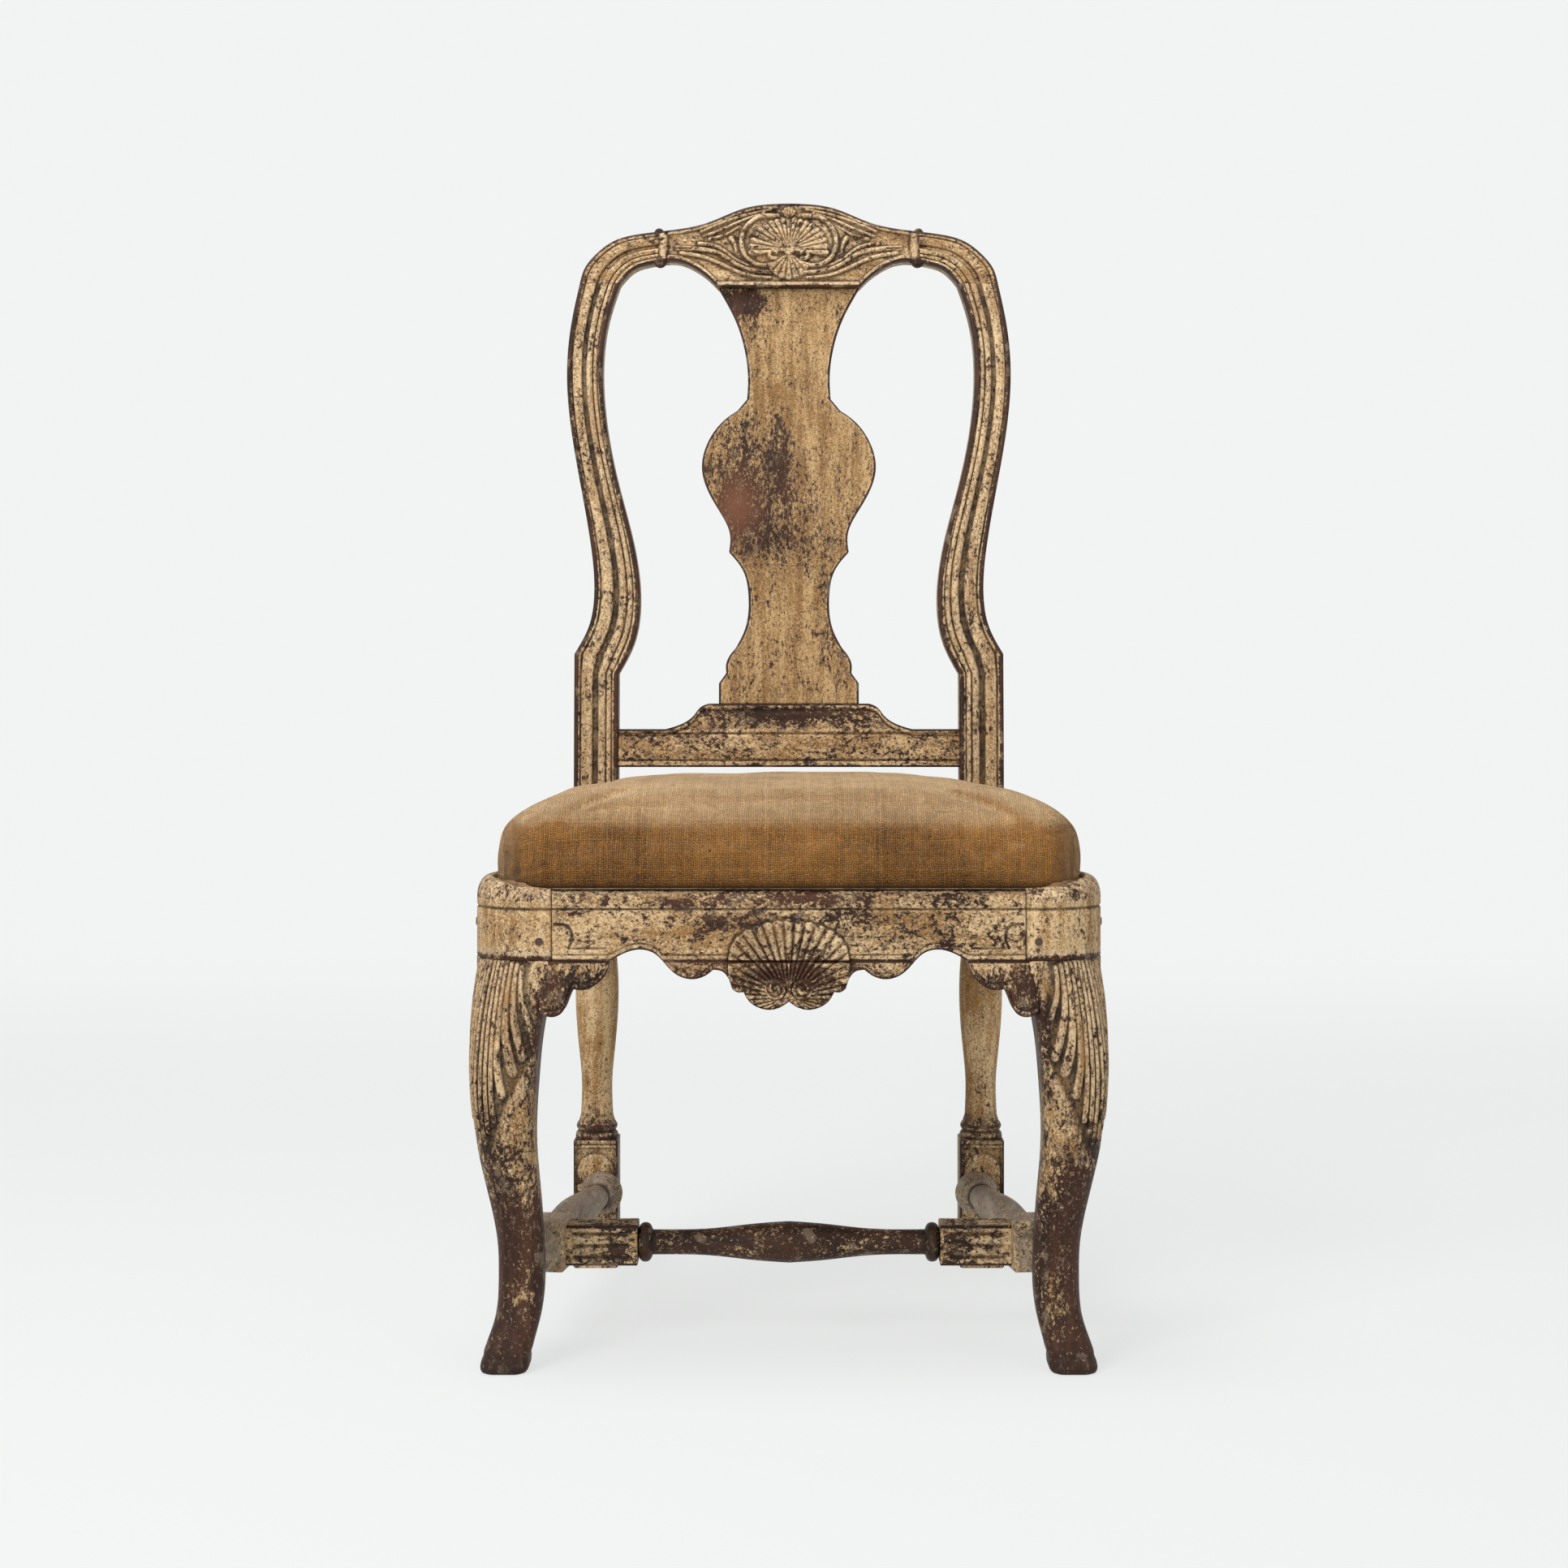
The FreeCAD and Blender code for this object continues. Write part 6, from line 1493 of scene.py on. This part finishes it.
@dataclass
class FrontLegs:
    """Cabriole front legs with an acanthus leaf on the knee."""

    workshop: Workshop
    corner: float = 254.5
    height: float = 333.5
    seat_height: float = 376.8
    radius: float = 54.0
    stump: float = 64.5
    corner_points: int = 150
    sections: tuple = (
        (0, 4.5, 40, 13, 12, 9), (0.04, 7, 38.8, 14, 13, 10),
        (0.12, 15.7, 36.5, 15, 14, 12), (0.22, 18.5, 37.5, 17, 16, 14),
        (0.30, 17.9, 37.5, 17, 16, 14), (0.42, 11.2, 41.7, 18, 16, 14),
        (0.56, 1.6, 48, 21, 17, 13), (0.70, -3.8, 55, 26, 18, 11),
        (0.81, -4.3, 58.6, 34, 18, 8), (0.91, -3, 62.7, 44, 14, 5),
        (1, 0, 64.5, 54, 3, 3))

    def size_at(self, z: Array, column: int) -> Array:
        """A size of the leg's section at heights, by a spline through the sections."""
        knots = [(row[0] * self.height, row[column]) for row in self.sections]
        return read_off(spline(knots), np.clip(z, 0, self.height))

    def loops(self, z: Array) -> Array:
        """Rounded squares with arcs at four corners, one loop per height.

        A corner at (x, y) with signs (i, j) into the section and radius r has its arc at
        (x + i r (1 - cos a), y + j r (1 - sin a)).

        Args:
            z: heights.
        Returns:
            Plan points of shape (heights, points of a loop, 2).
        """
        inset = self.size_at(z, 1) + 3 * ease(self.height - 1, self.height + 1.5, z)
        width = self.size_at(z, 2) - 6 * ease(self.height - 1, self.height + 1.5, z)
        right = self.corner - inset
        corners = ((right, inset, -1, 1, self.size_at(z, 3), self.corner_points, 0.88),
                   (right, inset + width, -1, -1, self.size_at(z, 4), 24, 0.48),
                   (right - width, inset + width, 1, -1, self.size_at(z, 5), 20, 0.48),
                   (right - width, inset, 1, 1, self.size_at(z, 4), 24, 0.48))
        arcs = []
        for number, (x, y, sign_x, sign_y, radius, count, limit) in enumerate(corners):
            bend = np.minimum(radius, limit * width)[:, None]
            swing = np.linspace(0, QUARTER, count)
            swing = swing[::-1] if number % 2 == 0 else swing
            arcs.append(np.stack([x[:, None] + sign_x * bend * (1 - np.cos(swing)),
                                  y[:, None] + sign_y * bend * (1 - np.sin(swing))], -1))
        parts = []
        share = np.linspace(0, 1, 22)[1:-1][None, :, None]
        for bow, following in zip(arcs, arcs[1:] + arcs[:1]):
            end = bow[:, -1:]
            parts += [bow, end + (following[:, :1] - end) * share]
        return np.concatenate(parts, axis=1)

    def leaf(self, off: Array, z: Array) -> tuple[Array, Array]:
        """The knee leaf: flat ribs that spread from the top on both sides of a middle groove.

        Args:
            off, z: distance round the leg from the outer corner's middle, and height.
        Returns:
            Relief in millimetres, at most zero, and the share of grime and painted shade in the lines
            between the ribs.
        """
        side = np.abs(off)
        ribs = (
            Stroke([(2.7, 332), (3.2, 262), (2.8, 187)], 1.9, 2.4, 3.2, 3.4),
            Stroke([(6.9, 333), (7.9, 280), (8.5, 230), (8.1, 197)], 1.9, 2.5, 3.2, 3.4),
            Stroke([(11.2, 333), (12.7, 285), (13.7, 240), (14.2, 206)], 1.9, 2.7, 3.2, 3.4),
            Stroke([(15.6, 332), (17.5, 285), (19, 250), (22.8, 227)], 2, 3.9, 3.2, 3.4),
            Stroke([(20.2, 331), (22.6, 290), (25.6, 268), (32, 245)], 2.1, 4.8, 3.2, 3.4),
            Stroke([(24.9, 330), (27.8, 298), (32.8, 277), (40.5, 257)], 2.2, 4.4, 3.1, 3.4),
            Stroke([(29.6, 328), (33.4, 305), (39.5, 291), (44.5, 280)], 2.1, 3, 2.8, 3))
        height, near = np.zeros_like(side), np.zeros_like(side)
        for rib in ribs:
            close = rib.nearness(side, z)
            near = np.maximum(near, close)
            height = np.maximum(height, rib.height(close))
        reach = np.interp(z, (180, 200, 230, 256, 300, 334), (7, 15, 29, 44, 39, 32))
        within = ease(172, 186, z) * ease(336, 331, z)
        relief = np.minimum(height - 3.2 * ease(reach + 9, reach, side) * within, 0)
        return relief, ease(0.3, 0.06, near) * ease(reach + 4, reach, side) * within

    def leg_shells(self) -> list[Shell]:
        """The right front leg: the curved leg with its leaf, and the moulded wall of its top."""
        z = np.concatenate([np.linspace(0, 20, 22)[:-1], np.linspace(20, 180, 70)[:-1],
                            np.linspace(180, 338, 170), [345, self.seat_height]])
        plan = self.loops(z)
        step = np.linalg.norm(np.roll(plan, -1, axis=1) - plan, axis=2)
        way = np.cumsum(step, axis=1) - step
        half = self.corner_points // 2
        off = way - way[:, half - 1:half + 1].mean(axis=1, keepdims=True)
        whole = step.sum(axis=1, keepdims=True)
        off = (off + whole / 2) % whole - whole / 2
        tangent = np.roll(plan, -1, axis=1) - np.roll(plan, 1, axis=1)
        normal = np.stack([tangent[..., 1], -tangent[..., 0]], -1)
        normal /= np.linalg.norm(normal, axis=2, keepdims=True)
        heights = np.broadcast_to(z[:, None], off.shape)
        relief, lines = self.leaf(off, heights)
        bend, hollow_depth, ridge_paint_and_highlight = 6, 0.5, 0.45
        sole = bend - np.clip(heights, 0, bend)
        relief = relief - 0.7 * bell(heights, 13.5, 2.5) - (bend - np.sqrt(bend ** 2 - sole ** 2)) * 0.8
        plan = plan + normal * relief[..., None]
        hollow = blur(relief, 16) - relief
        # Grime and painted shade in the hollows and the lines between the ribs; also darker towards the
        # bottom of the foot.
        grime_and_shade = np.maximum(np.clip(hollow / hollow_depth, 0, 1), 0.85 * ease(24, 0, heights))
        grime_and_shade = np.maximum(grime_and_shade, 0.9 * lines)
        # Raised carving gets paler paint, partly a painted highlight.
        values = {"cavity": grime_and_shade, "edge": ridge_paint_and_highlight * np.clip(-hollow / hollow_depth, 0, 1)}
        leg = tube(np.concatenate([plan, heights[..., None]], -1), values)
        wear = Wear(0, 105, 0.86, 235, 0.36, (
            Spot(194, 290, 12, 24, 0.35), Spot(199, 245, 12, 40, 0.35),
            Spot(208, 150, 12, 50, -0.22), Spot(215, 60, 12, 34, -0.3)))
        return [leg.worn(wear), self.wall().worn(Wear(0.3))]

    def wall(self) -> Shell:
        """The moulded wall round the leg's top: the rail profile carried round the corner."""
        seat = SeatFrame(self.workshop)
        profile, values = seat.rail_profile()
        lead, corner_x = 8, 201.45
        angle = np.linspace(-QUARTER, seat.slope, 70)
        start = contour(np.linspace(seat.shoulder, 201, lead), 0)
        corner = arc((corner_x, self.radius), self.radius, angle)
        path = np.concatenate([start, corner, [[self.corner, self.stump]]])
        inward = np.concatenate([np.tile([0, 1], (lead, 1)), -arc((0, 0), 1, angle),
                                 [[-math.cos(seat.slope), -math.sin(seat.slope)]]])
        shell = seat.raised(swept(profile, path, inward, values))
        joint = 0.9 * ease(seat.shoulder + 1.2, seat.shoulder + 0.2, shell.points[:, 0])
        joint = joint * (shell.points[:, 1] < 6)
        shell.values["cavity"] = np.maximum(shell.values["cavity"], joint)
        return shell

    def build(self) -> None:
        """Both front legs."""
        self.workshop.pair("front_leg", "carved", self.leg_shells(), UPRIGHT_PAINT)


@dataclass
class Stretchers:
    """Turned side stretchers with their blocks, and the cross stretcher."""

    workshop: Workshop
    start: tuple[float, float, float] = (211.25, 57.4, 88)
    end: tuple[float, float, float] = (176, 400, 74)
    ball: float = 20.0
    neck: float = 12.4
    swell: float = 17.2
    ring: float = 16.4
    block: float = 42.0
    block_length: float = 52.0
    block_place: float = 54.0
    cross_block: float = 34.0
    cross_length: float = 58.0
    cross_neck: float = 10.4

    def axes(self) -> tuple[Array, Array, float]:
        """Directions of a side stretcher's block, the middle of the block, and the length."""
        start, end = np.array(self.start), np.array(self.end)
        way = end - start
        length = float(np.linalg.norm(way))
        way = way / length
        side = np.cross((0, 0, 1), way)
        side = side / np.linalg.norm(side)
        return np.stack([way, side, np.cross(way, side)]), start + way * self.block_place, length

    def build_side(self) -> None:
        """Both side stretchers."""
        axes, middle, length = self.axes()
        near = self.block_place - self.block_length / 2
        shaft = self.block_place + self.block_length / 2
        ball_start = length - 1.4 * self.ball
        ring_start = ball_start - 0.7 * self.ring
        profile = turning(
            [(-1, 4), (0, 0.62 * self.ball)],
            [(0.45 * near, self.ball), (near, 0.75 * self.ball)],
            [(self.block_place, self.neck)],
            [(shaft + 4, self.neck)],
            [(mix(shaft, ring_start, 0.28), 0.92 * self.swell), (mix(shaft, ring_start, 0.5), self.swell),
             (mix(shaft, ring_start, 0.78), 1.1 * self.neck), (ring_start, 0.9 * self.neck)],
            [(mix(ring_start, ball_start, 0.5), self.ring), (ball_start, self.neck)],
            [(length - 0.7 * self.ball, self.ball), (length - 1, 0.76 * self.ball)],
            [(length, 4)])
        half = self.block / 2
        shells = [lathe(profile, np.array(self.start), axes[0]),
                  squared(middle, axes, (self.block_length / 2, half, half), 2)]
        right = [shell.worn(wear) for shell, wear in zip(shells, (Wear(0.62), Wear(0.42)))]
        self.workshop.pair("side_stretcher", "turned", right, GREY_WOOD)

    def build_cross(self) -> None:
        """The cross stretcher: square fluted ends, rings and a swelling shaft."""
        _, middle, _ = self.axes()
        neck = self.cross_neck
        face = middle[0] - self.block / 2
        block_start = face - self.cross_length
        ring_start = block_start - 0.75 * self.ring
        half = turning(
            [(0, self.swell), (0.25 * ring_start, mix(neck, self.swell, 0.7)),
             (0.58 * ring_start, mix(neck, self.swell, 0.12)), (0.95 * ring_start, neck)],
            [(ring_start, neck)],
            [(mix(ring_start, block_start, 0.25), 0.95 * self.ring),
             (mix(ring_start, block_start, 0.5), self.ring),
             (mix(ring_start, block_start, 0.75), 0.95 * self.ring), (block_start, neck)],
            [(block_start + 4, neck)],
            [(block_start + 4.5, 4)])
        profile = np.concatenate([half[:0:-1] * (-1, 1), half])
        centre = np.array([0, middle[1], middle[2]])
        shaft = lathe(profile, centre, np.array([1, 0, 0])).worn(Wear(0.72))
        reach = self.cross_length / 2 + 1
        end = fluted(np.array([block_start + reach, middle[1], middle[2]]), reach, self.cross_block / 2)
        end = end.worn(Wear(0.4, spots=(Spot(140, 85, 16, 30, 0.2),)))
        self.workshop.part("cross_stretcher", "turned", [shaft, end, end.mirrored()], DARK_WOOD)

    def build(self) -> None:
        """All stretchers."""
        self.build_side()
        self.build_cross()


@dataclass
class LooseSeat:
    """The drop-in seat: burlap cushion over slats, webbing and sackcloth."""

    workshop: Workshop
    frames: int = 20
    pressure: float = 2.5
    most_move: float = 0.0045
    lump: float = 0.0011
    crease_depth: float = 0.0022
    voxel: float = 0.005
    filling: float = 401.7
    side_top: float = 428.0
    crown: float = 471.5
    inset: float = 16.4
    draw_in: float = 0.012
    rear: float = 397.0
    rear_round: float = 14.0
    front_round: float = 54.0
    centre_y: float = 205.0
    under_inset: float = 27.0
    around: int = 240
    held_below: float = 0.394
    free_from: tuple[float, float] = (0.39, 0.425)

    def plan(self, inset: float) -> Array:
        """Rounded outline of the seat, an inset inside the frame, in equal steps."""
        seat = SeatFrame(self.workshop)
        slope = seat.slope
        front, rear = self.front_round - inset, self.rear_round
        drawn_in = inset / math.cos(slope)
        front_x = seat.side_x(inset) - drawn_in - front / math.tan((QUARTER - slope) / 2)
        rear_x = seat.side_x(self.rear) - drawn_in - rear / math.tan((QUARTER + slope) / 2)
        half = np.concatenate([
            arc((front_x, inset + front), front, np.linspace(-QUARTER, slope, 24)),
            arc((rear_x, self.rear - rear), rear, np.linspace(slope, QUARTER, 14))])
        ring = np.concatenate([half, half[::-1] * (-1, 1), half[:1]])
        return even_steps(ring, self.around + 1)[:-1]

    def cushion_shell(self) -> Shell:
        """The crowned cushion before it is filled: upright sides, then rings drawn in to the crown.

        At a draw-in share t the height is side_top + rise * sqrt(1 - (1 - t)^4.2).
        """
        ring = self.plan(self.inset)
        under = self.plan(self.under_inset)
        centre = np.array([0, self.centre_y])
        share = np.linspace(0, 1, 26)[1:] ** 1.7 * 0.97
        height = self.side_top + (self.crown - self.side_top) * np.sqrt(1 - (1 - share) ** 4.2)
        rings = [centre + (under - centre) * 0.1, centre + (under - centre) * 0.6]
        heights = [self.filling] * 2
        skirt = ((self.under_inset, self.filling), (26, 390), (16.6, 389.5), (15.2, 391),
                 (14.6, 394), (14.5, 399), (14.7, 406), (15, 413), (15.4, 420),
                 (self.inset, self.side_top))
        rings += [self.plan(inset) * (1 - self.draw_in * ease(419, 391, level), 1)
                  for inset, level in skirt]
        heights += [level for _, level in skirt]
        rings += [centre + (ring - centre) * (1 - part) for part in share]
        heights += height.tolist()
        return tube(stacked(rings, heights))

    def hem_shell(self) -> Shell:
        """The cover round the slats and its hem turned under them: one band, 1 mm thick."""
        band = ((16, 390), (15.3, 387), (15.2, 382), (15.5, 378.6), (16.6, 377.4), (30, 377.4),
                (45, 377.4), (45, 378.3), (30, 378.3), (16.4, 378.3), (16.3, 386), (16.8, 390))
        loops = stacked([self.plan(inset) for inset, _ in band], [level for _, level in band])
        return tube(loops, joined=True)

    def fill(self, cushion: Object) -> None:
        """Fills the cushion: cloth under pressure, its lower edge held, each point's way capped.

        Args:
            cushion: the cushion, remeshed in even cells.
        """
        mesh = cushion.data
        rest = vectors(mesh.vertices, "co")
        held = cushion.vertex_groups.new(name="held")
        held.add(np.flatnonzero(rest[:, 2] < self.held_below).tolist(), 1, "REPLACE")
        cloth = cushion.modifiers.new("filling", "CLOTH")
        cloth.settings.quality = 5
        cloth.settings.mass = 0.3
        cloth.settings.use_pressure = True
        cloth.settings.uniform_pressure_force = self.pressure
        cloth.settings.vertex_group_mass = "held"
        cloth.settings.effector_weights.gravity = 0
        cloth.collision_settings.use_collision = False
        scene = bpy.context.scene
        for number in range(1, self.frames + 1):
            scene.frame_set(number)
        moved = cushion.evaluated_get(bpy.context.evaluated_depsgraph_get()).to_mesh()
        way = vectors(moved.vertices, "co") - rest
        cushion.to_mesh_clear()
        length = np.linalg.norm(way, axis=1, keepdims=True)
        way *= np.minimum(1, self.most_move / np.maximum(length, 1e-9))
        cushion.modifiers.remove(cloth)
        scene.frame_set(1)
        way += vectors(mesh.vertex_normals, "vector") * self.unevenness(rest)[:, None]
        way *= ease(*self.free_from, rest[:, 2:])
        mesh.vertices.foreach_set("co", (rest + way).reshape(-1))
        mesh.update()

    def unevenness(self, place: Array) -> Array:
        """How far old filling stands out or has sunk: waves that bend each other, and a crease in front.

        Args:
            place: points of the cushion, in metres.
        Returns:
            The height of each point over the even cushion, in metres.
        """
        x, y, z = place.T
        broad = np.sin(27 * x + 1.6 * np.sin(21 * y + 40 * z))
        broad = broad + np.sin(31 * y + 1.4 * np.sin(34 * x))
        close = np.sin(71 * x + 55 * z + 2 * np.sin(43 * y)) * np.sin(63 * y - 80 * z + 30 * x)
        in_front = ease(-0.1, -0.2, y) * ease(-0.14, -0.1, x) * ease(0.19, 0.15, x)
        crease = bell(z - 0.02 * x, 0.4135, 0.006) * in_front
        return self.lump * (0.5 * broad + 0.5 * close) - self.crease_depth * crease

    def thread_lines(self, mesh: Mesh) -> None:
        """Stores where each thread runs: u and v follow the cloth over the edge of the crown.

        On the sides u gains the way down, -sign(x) (z - crown), and at the front and rear v does.

        Args:
            mesh: the finished cushion.
        """
        place, normal = vectors(mesh.vertices, "co"), vectors(mesh.vertex_normals, "vector")
        down = self.crown * MILLIMETRE - place[:, 2]
        sideways = ease(0.35, 0.8, np.abs(normal[:, 0]))
        u = place[:, 0] + np.sign(place[:, 0]) * sideways * down
        v = place[:, 1] + np.sign(normal[:, 1]) * ease(0.2, 0.7, np.abs(normal[:, 1])) * down
        v = np.where(np.abs(normal[:, 0]) > 0.8, place[:, 1], v)
        # Painted shade: darker towards the lower edge of the cushion; the hem below it is in full shade.
        shade = 0.7 * ease(0.399, 0.39, place[:, 2]) + 0.3 * ease(0.435, 0.395, place[:, 2])
        # Painted light: lighter where the cloth faces up, and on the ends.
        painted_light = np.maximum(ease(0.45, 1, normal[:, 2]), 0.5 * ease(0.4, 0.95, np.abs(normal[:, 0])))
        for label, value in (("thread_u", u), ("thread_v", v), ("cavity", shade), ("painted_light", painted_light)):
            kept = mesh.attributes.get(label) or mesh.attributes.new(label, "FLOAT", "POINT")
            kept.data.foreach_set("value", value)

    def build(self) -> None:
        """The burlap cushion, and finishes for the hidden pieces of the seat."""
        cushion = self.workshop.piece("seat_cushion", [self.cushion_shell()], BURLAP, Body.SEAT,
                                      "seat_cover", "seat_stuffing")
        remesh = cushion.modifiers.new("even_cells", "REMESH")
        remesh.mode = "VOXEL"
        remesh.voxel_size = self.voxel
        even = bpy.data.meshes.new_from_object(
            cushion.evaluated_get(bpy.context.evaluated_depsgraph_get()))
        cushion.modifiers.remove(remesh)
        cushion.data = even
        even.name = "seat_cushion"
        self.fill(cushion)
        even.polygons.foreach_set("use_smooth", np.ones(len(even.polygons), dtype=bool))
        self.thread_lines(even)
        rounder = cushion.modifiers.new("rounder", "SUBSURF")
        rounder.levels = 1
        rounder.render_levels = 1
        hem = self.workshop.piece("seat_cover_hem", [self.hem_shell()], BURLAP, Body.SEAT)
        # The hem lies below the cushion's lower edge, so it is painted in full shade.
        self.thread_lines(hem.data)
        self.workshop.dress(SLAT_WOOD, "seat_slat_front", "seat_slat_rear", "seat_slat_left",
                            "seat_slat_right")
        self.workshop.dress(WEBBING, "webbing_lengthwise", "webbing_crosswise")
        self.workshop.dress(SACKCLOTH, "base_cloth")
        self.workshop.dress(IRON, "cover_tacks")


@dataclass(frozen=True)
class Studio:
    """Camera, lights and sweep of the photograph."""

    distance: float = 2.11
    eye_height: float = 0.5507
    focal_pixels: float = 3249.0
    frame_pixels: float = 1932.0
    axis_pixel: float = 972.0
    horizon_pixel: float = 850.0
    floor_reach: float = 11.0
    bow_start: float = 3.0
    bow: float = 1.5
    wall_top: float = 6.0

    def camera(self) -> None:
        """A level camera; its shift puts the horizon and the chair's axis where the photo has them."""
        data = bpy.data.cameras.new("studio_camera")
        data.sensor_width = 36.0
        data.lens = data.sensor_width * self.focal_pixels / self.frame_pixels
        middle = self.frame_pixels / 2.0
        data.shift_x = (middle - self.axis_pixel) / self.frame_pixels
        data.shift_y = (self.horizon_pixel - middle) / self.frame_pixels
        camera = placed("studio_camera", data)
        camera.location = (0.0, -FRONT_FACE * MILLIMETRE - self.distance, self.eye_height)
        camera.rotation_euler = (QUARTER, 0.0, 0.0)
        bpy.context.scene.camera = camera

    def lamp(self, name: str, place: tuple, aim: tuple, size: float, power: float) -> None:
        """A square soft light aimed at a point."""
        data = bpy.data.lights.new(name, "AREA")
        data.size = size
        data.energy = power
        lamp = placed(name, data)
        lamp.location = place
        way = np.subtract(aim, place)
        lamp.rotation_euler = (math.atan2(math.hypot(way[0], way[1]), -way[2]), 0.0,
                               math.atan2(way[0], -way[1]) + math.pi)

    def seen(self, graph: Graph) -> Value:
        """1 where the camera sees the surface, also in gloss or through glass, and 0 for its light."""
        path = graph.node("ShaderNodeLightPath")
        mirrored = graph.most(graph.take(path, "Is Glossy Ray"), graph.take(path, "Is Transmission Ray"))
        return graph.most(graph.take(path, "Is Camera Ray"), mirrored)

    def sweep(self) -> None:
        """Floor that curves up into the backdrop: a quarter circle joins the two."""
        turn = np.linspace(0.0, QUARTER, 24)
        y = np.concatenate([[-self.floor_reach], self.bow_start + self.bow * np.sin(turn),
                            [self.bow_start + self.bow]])
        z = np.concatenate([[0.0], self.bow * (1.0 - np.cos(turn)), [self.wall_top]])
        points = np.concatenate([np.stack([np.full_like(y, side), y, z], 1)
                                 for side in (-self.floor_reach, self.floor_reach)])
        count = len(y)
        at = np.arange(count - 1)
        faces = np.stack([at, at + count, at + count + 1, at + 1], 1)
        mesh = bpy.data.meshes.new("sweep")
        mesh.from_pydata(points.tolist(), [], faces.tolist())
        mesh.polygons.foreach_set("use_smooth", np.ones(len(faces), dtype=bool))
        material, graph, shader = new_material("pale_sweep")
        depth = graph.take(graph.node("ShaderNodeSeparateXYZ", {0: graph.place()}), 1)
        far = graph.step(graph.most(depth, -1.2 - depth), 0.3, 3.2)
        glow = far * 0.215 + 0.325
        graph.feed(shader, {
            "Base Color": graph.blend(far, (0.2, 0.203, 0.202, 1), (0.03, 0.03, 0.03, 1)),
            "Emission Strength": self.seen(graph) * glow + 0.45,
            "Emission Color": PALE_ROOM, "Roughness": 0.9, "Specular IOR Level": 0.0})
        mesh.materials.append(material)
        placed("sweep", mesh)

    def build(self) -> None:
        """Camera, sweep, lights and view settings."""
        self.camera()
        self.sweep()
        world = bpy.data.worlds.new("studio_world")
        bpy.context.scene.world = world
        world.use_nodes = True
        graph = Graph(world.node_tree)
        strength = self.seen(graph) * 0.7 + 0.3
        graph.feed(world.node_tree.nodes["Background"], {"Color": PALE_ROOM, "Strength": strength})
        self.lamp("key_light", (-1.8, -2.8, 2.3), (0, 0, 0.5), 1.2, 55.0)
        self.lamp("top_light", (-0.5, -0.3, 2.9), (0, 0, 0.4), 1.4, 40.0)
        self.lamp("fill_light", (2.2, -2.8, 0.9), (0, 0, 0.4), 1.6, 24.0)
        self.lamp("low_light", (-1.4, -3, 0.65), (0, 0.1, 0.25), 1.2, 16.0)
        bpy.context.scene.view_settings.view_transform = "Standard"


def main() -> None:
    """Builds the pieces in order."""
    logging.basicConfig(level=logging.INFO, format="%(name)s %(message)s")
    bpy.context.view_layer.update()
    workshop = Workshop(Groups())
    Back(workshop).build()
    SeatFrame(workshop).build()
    FrontLegs(workshop).build()
    Stretchers(workshop).build()
    LooseSeat(workshop).build()
    Studio().build()


if __name__ == "__main__":
    main()
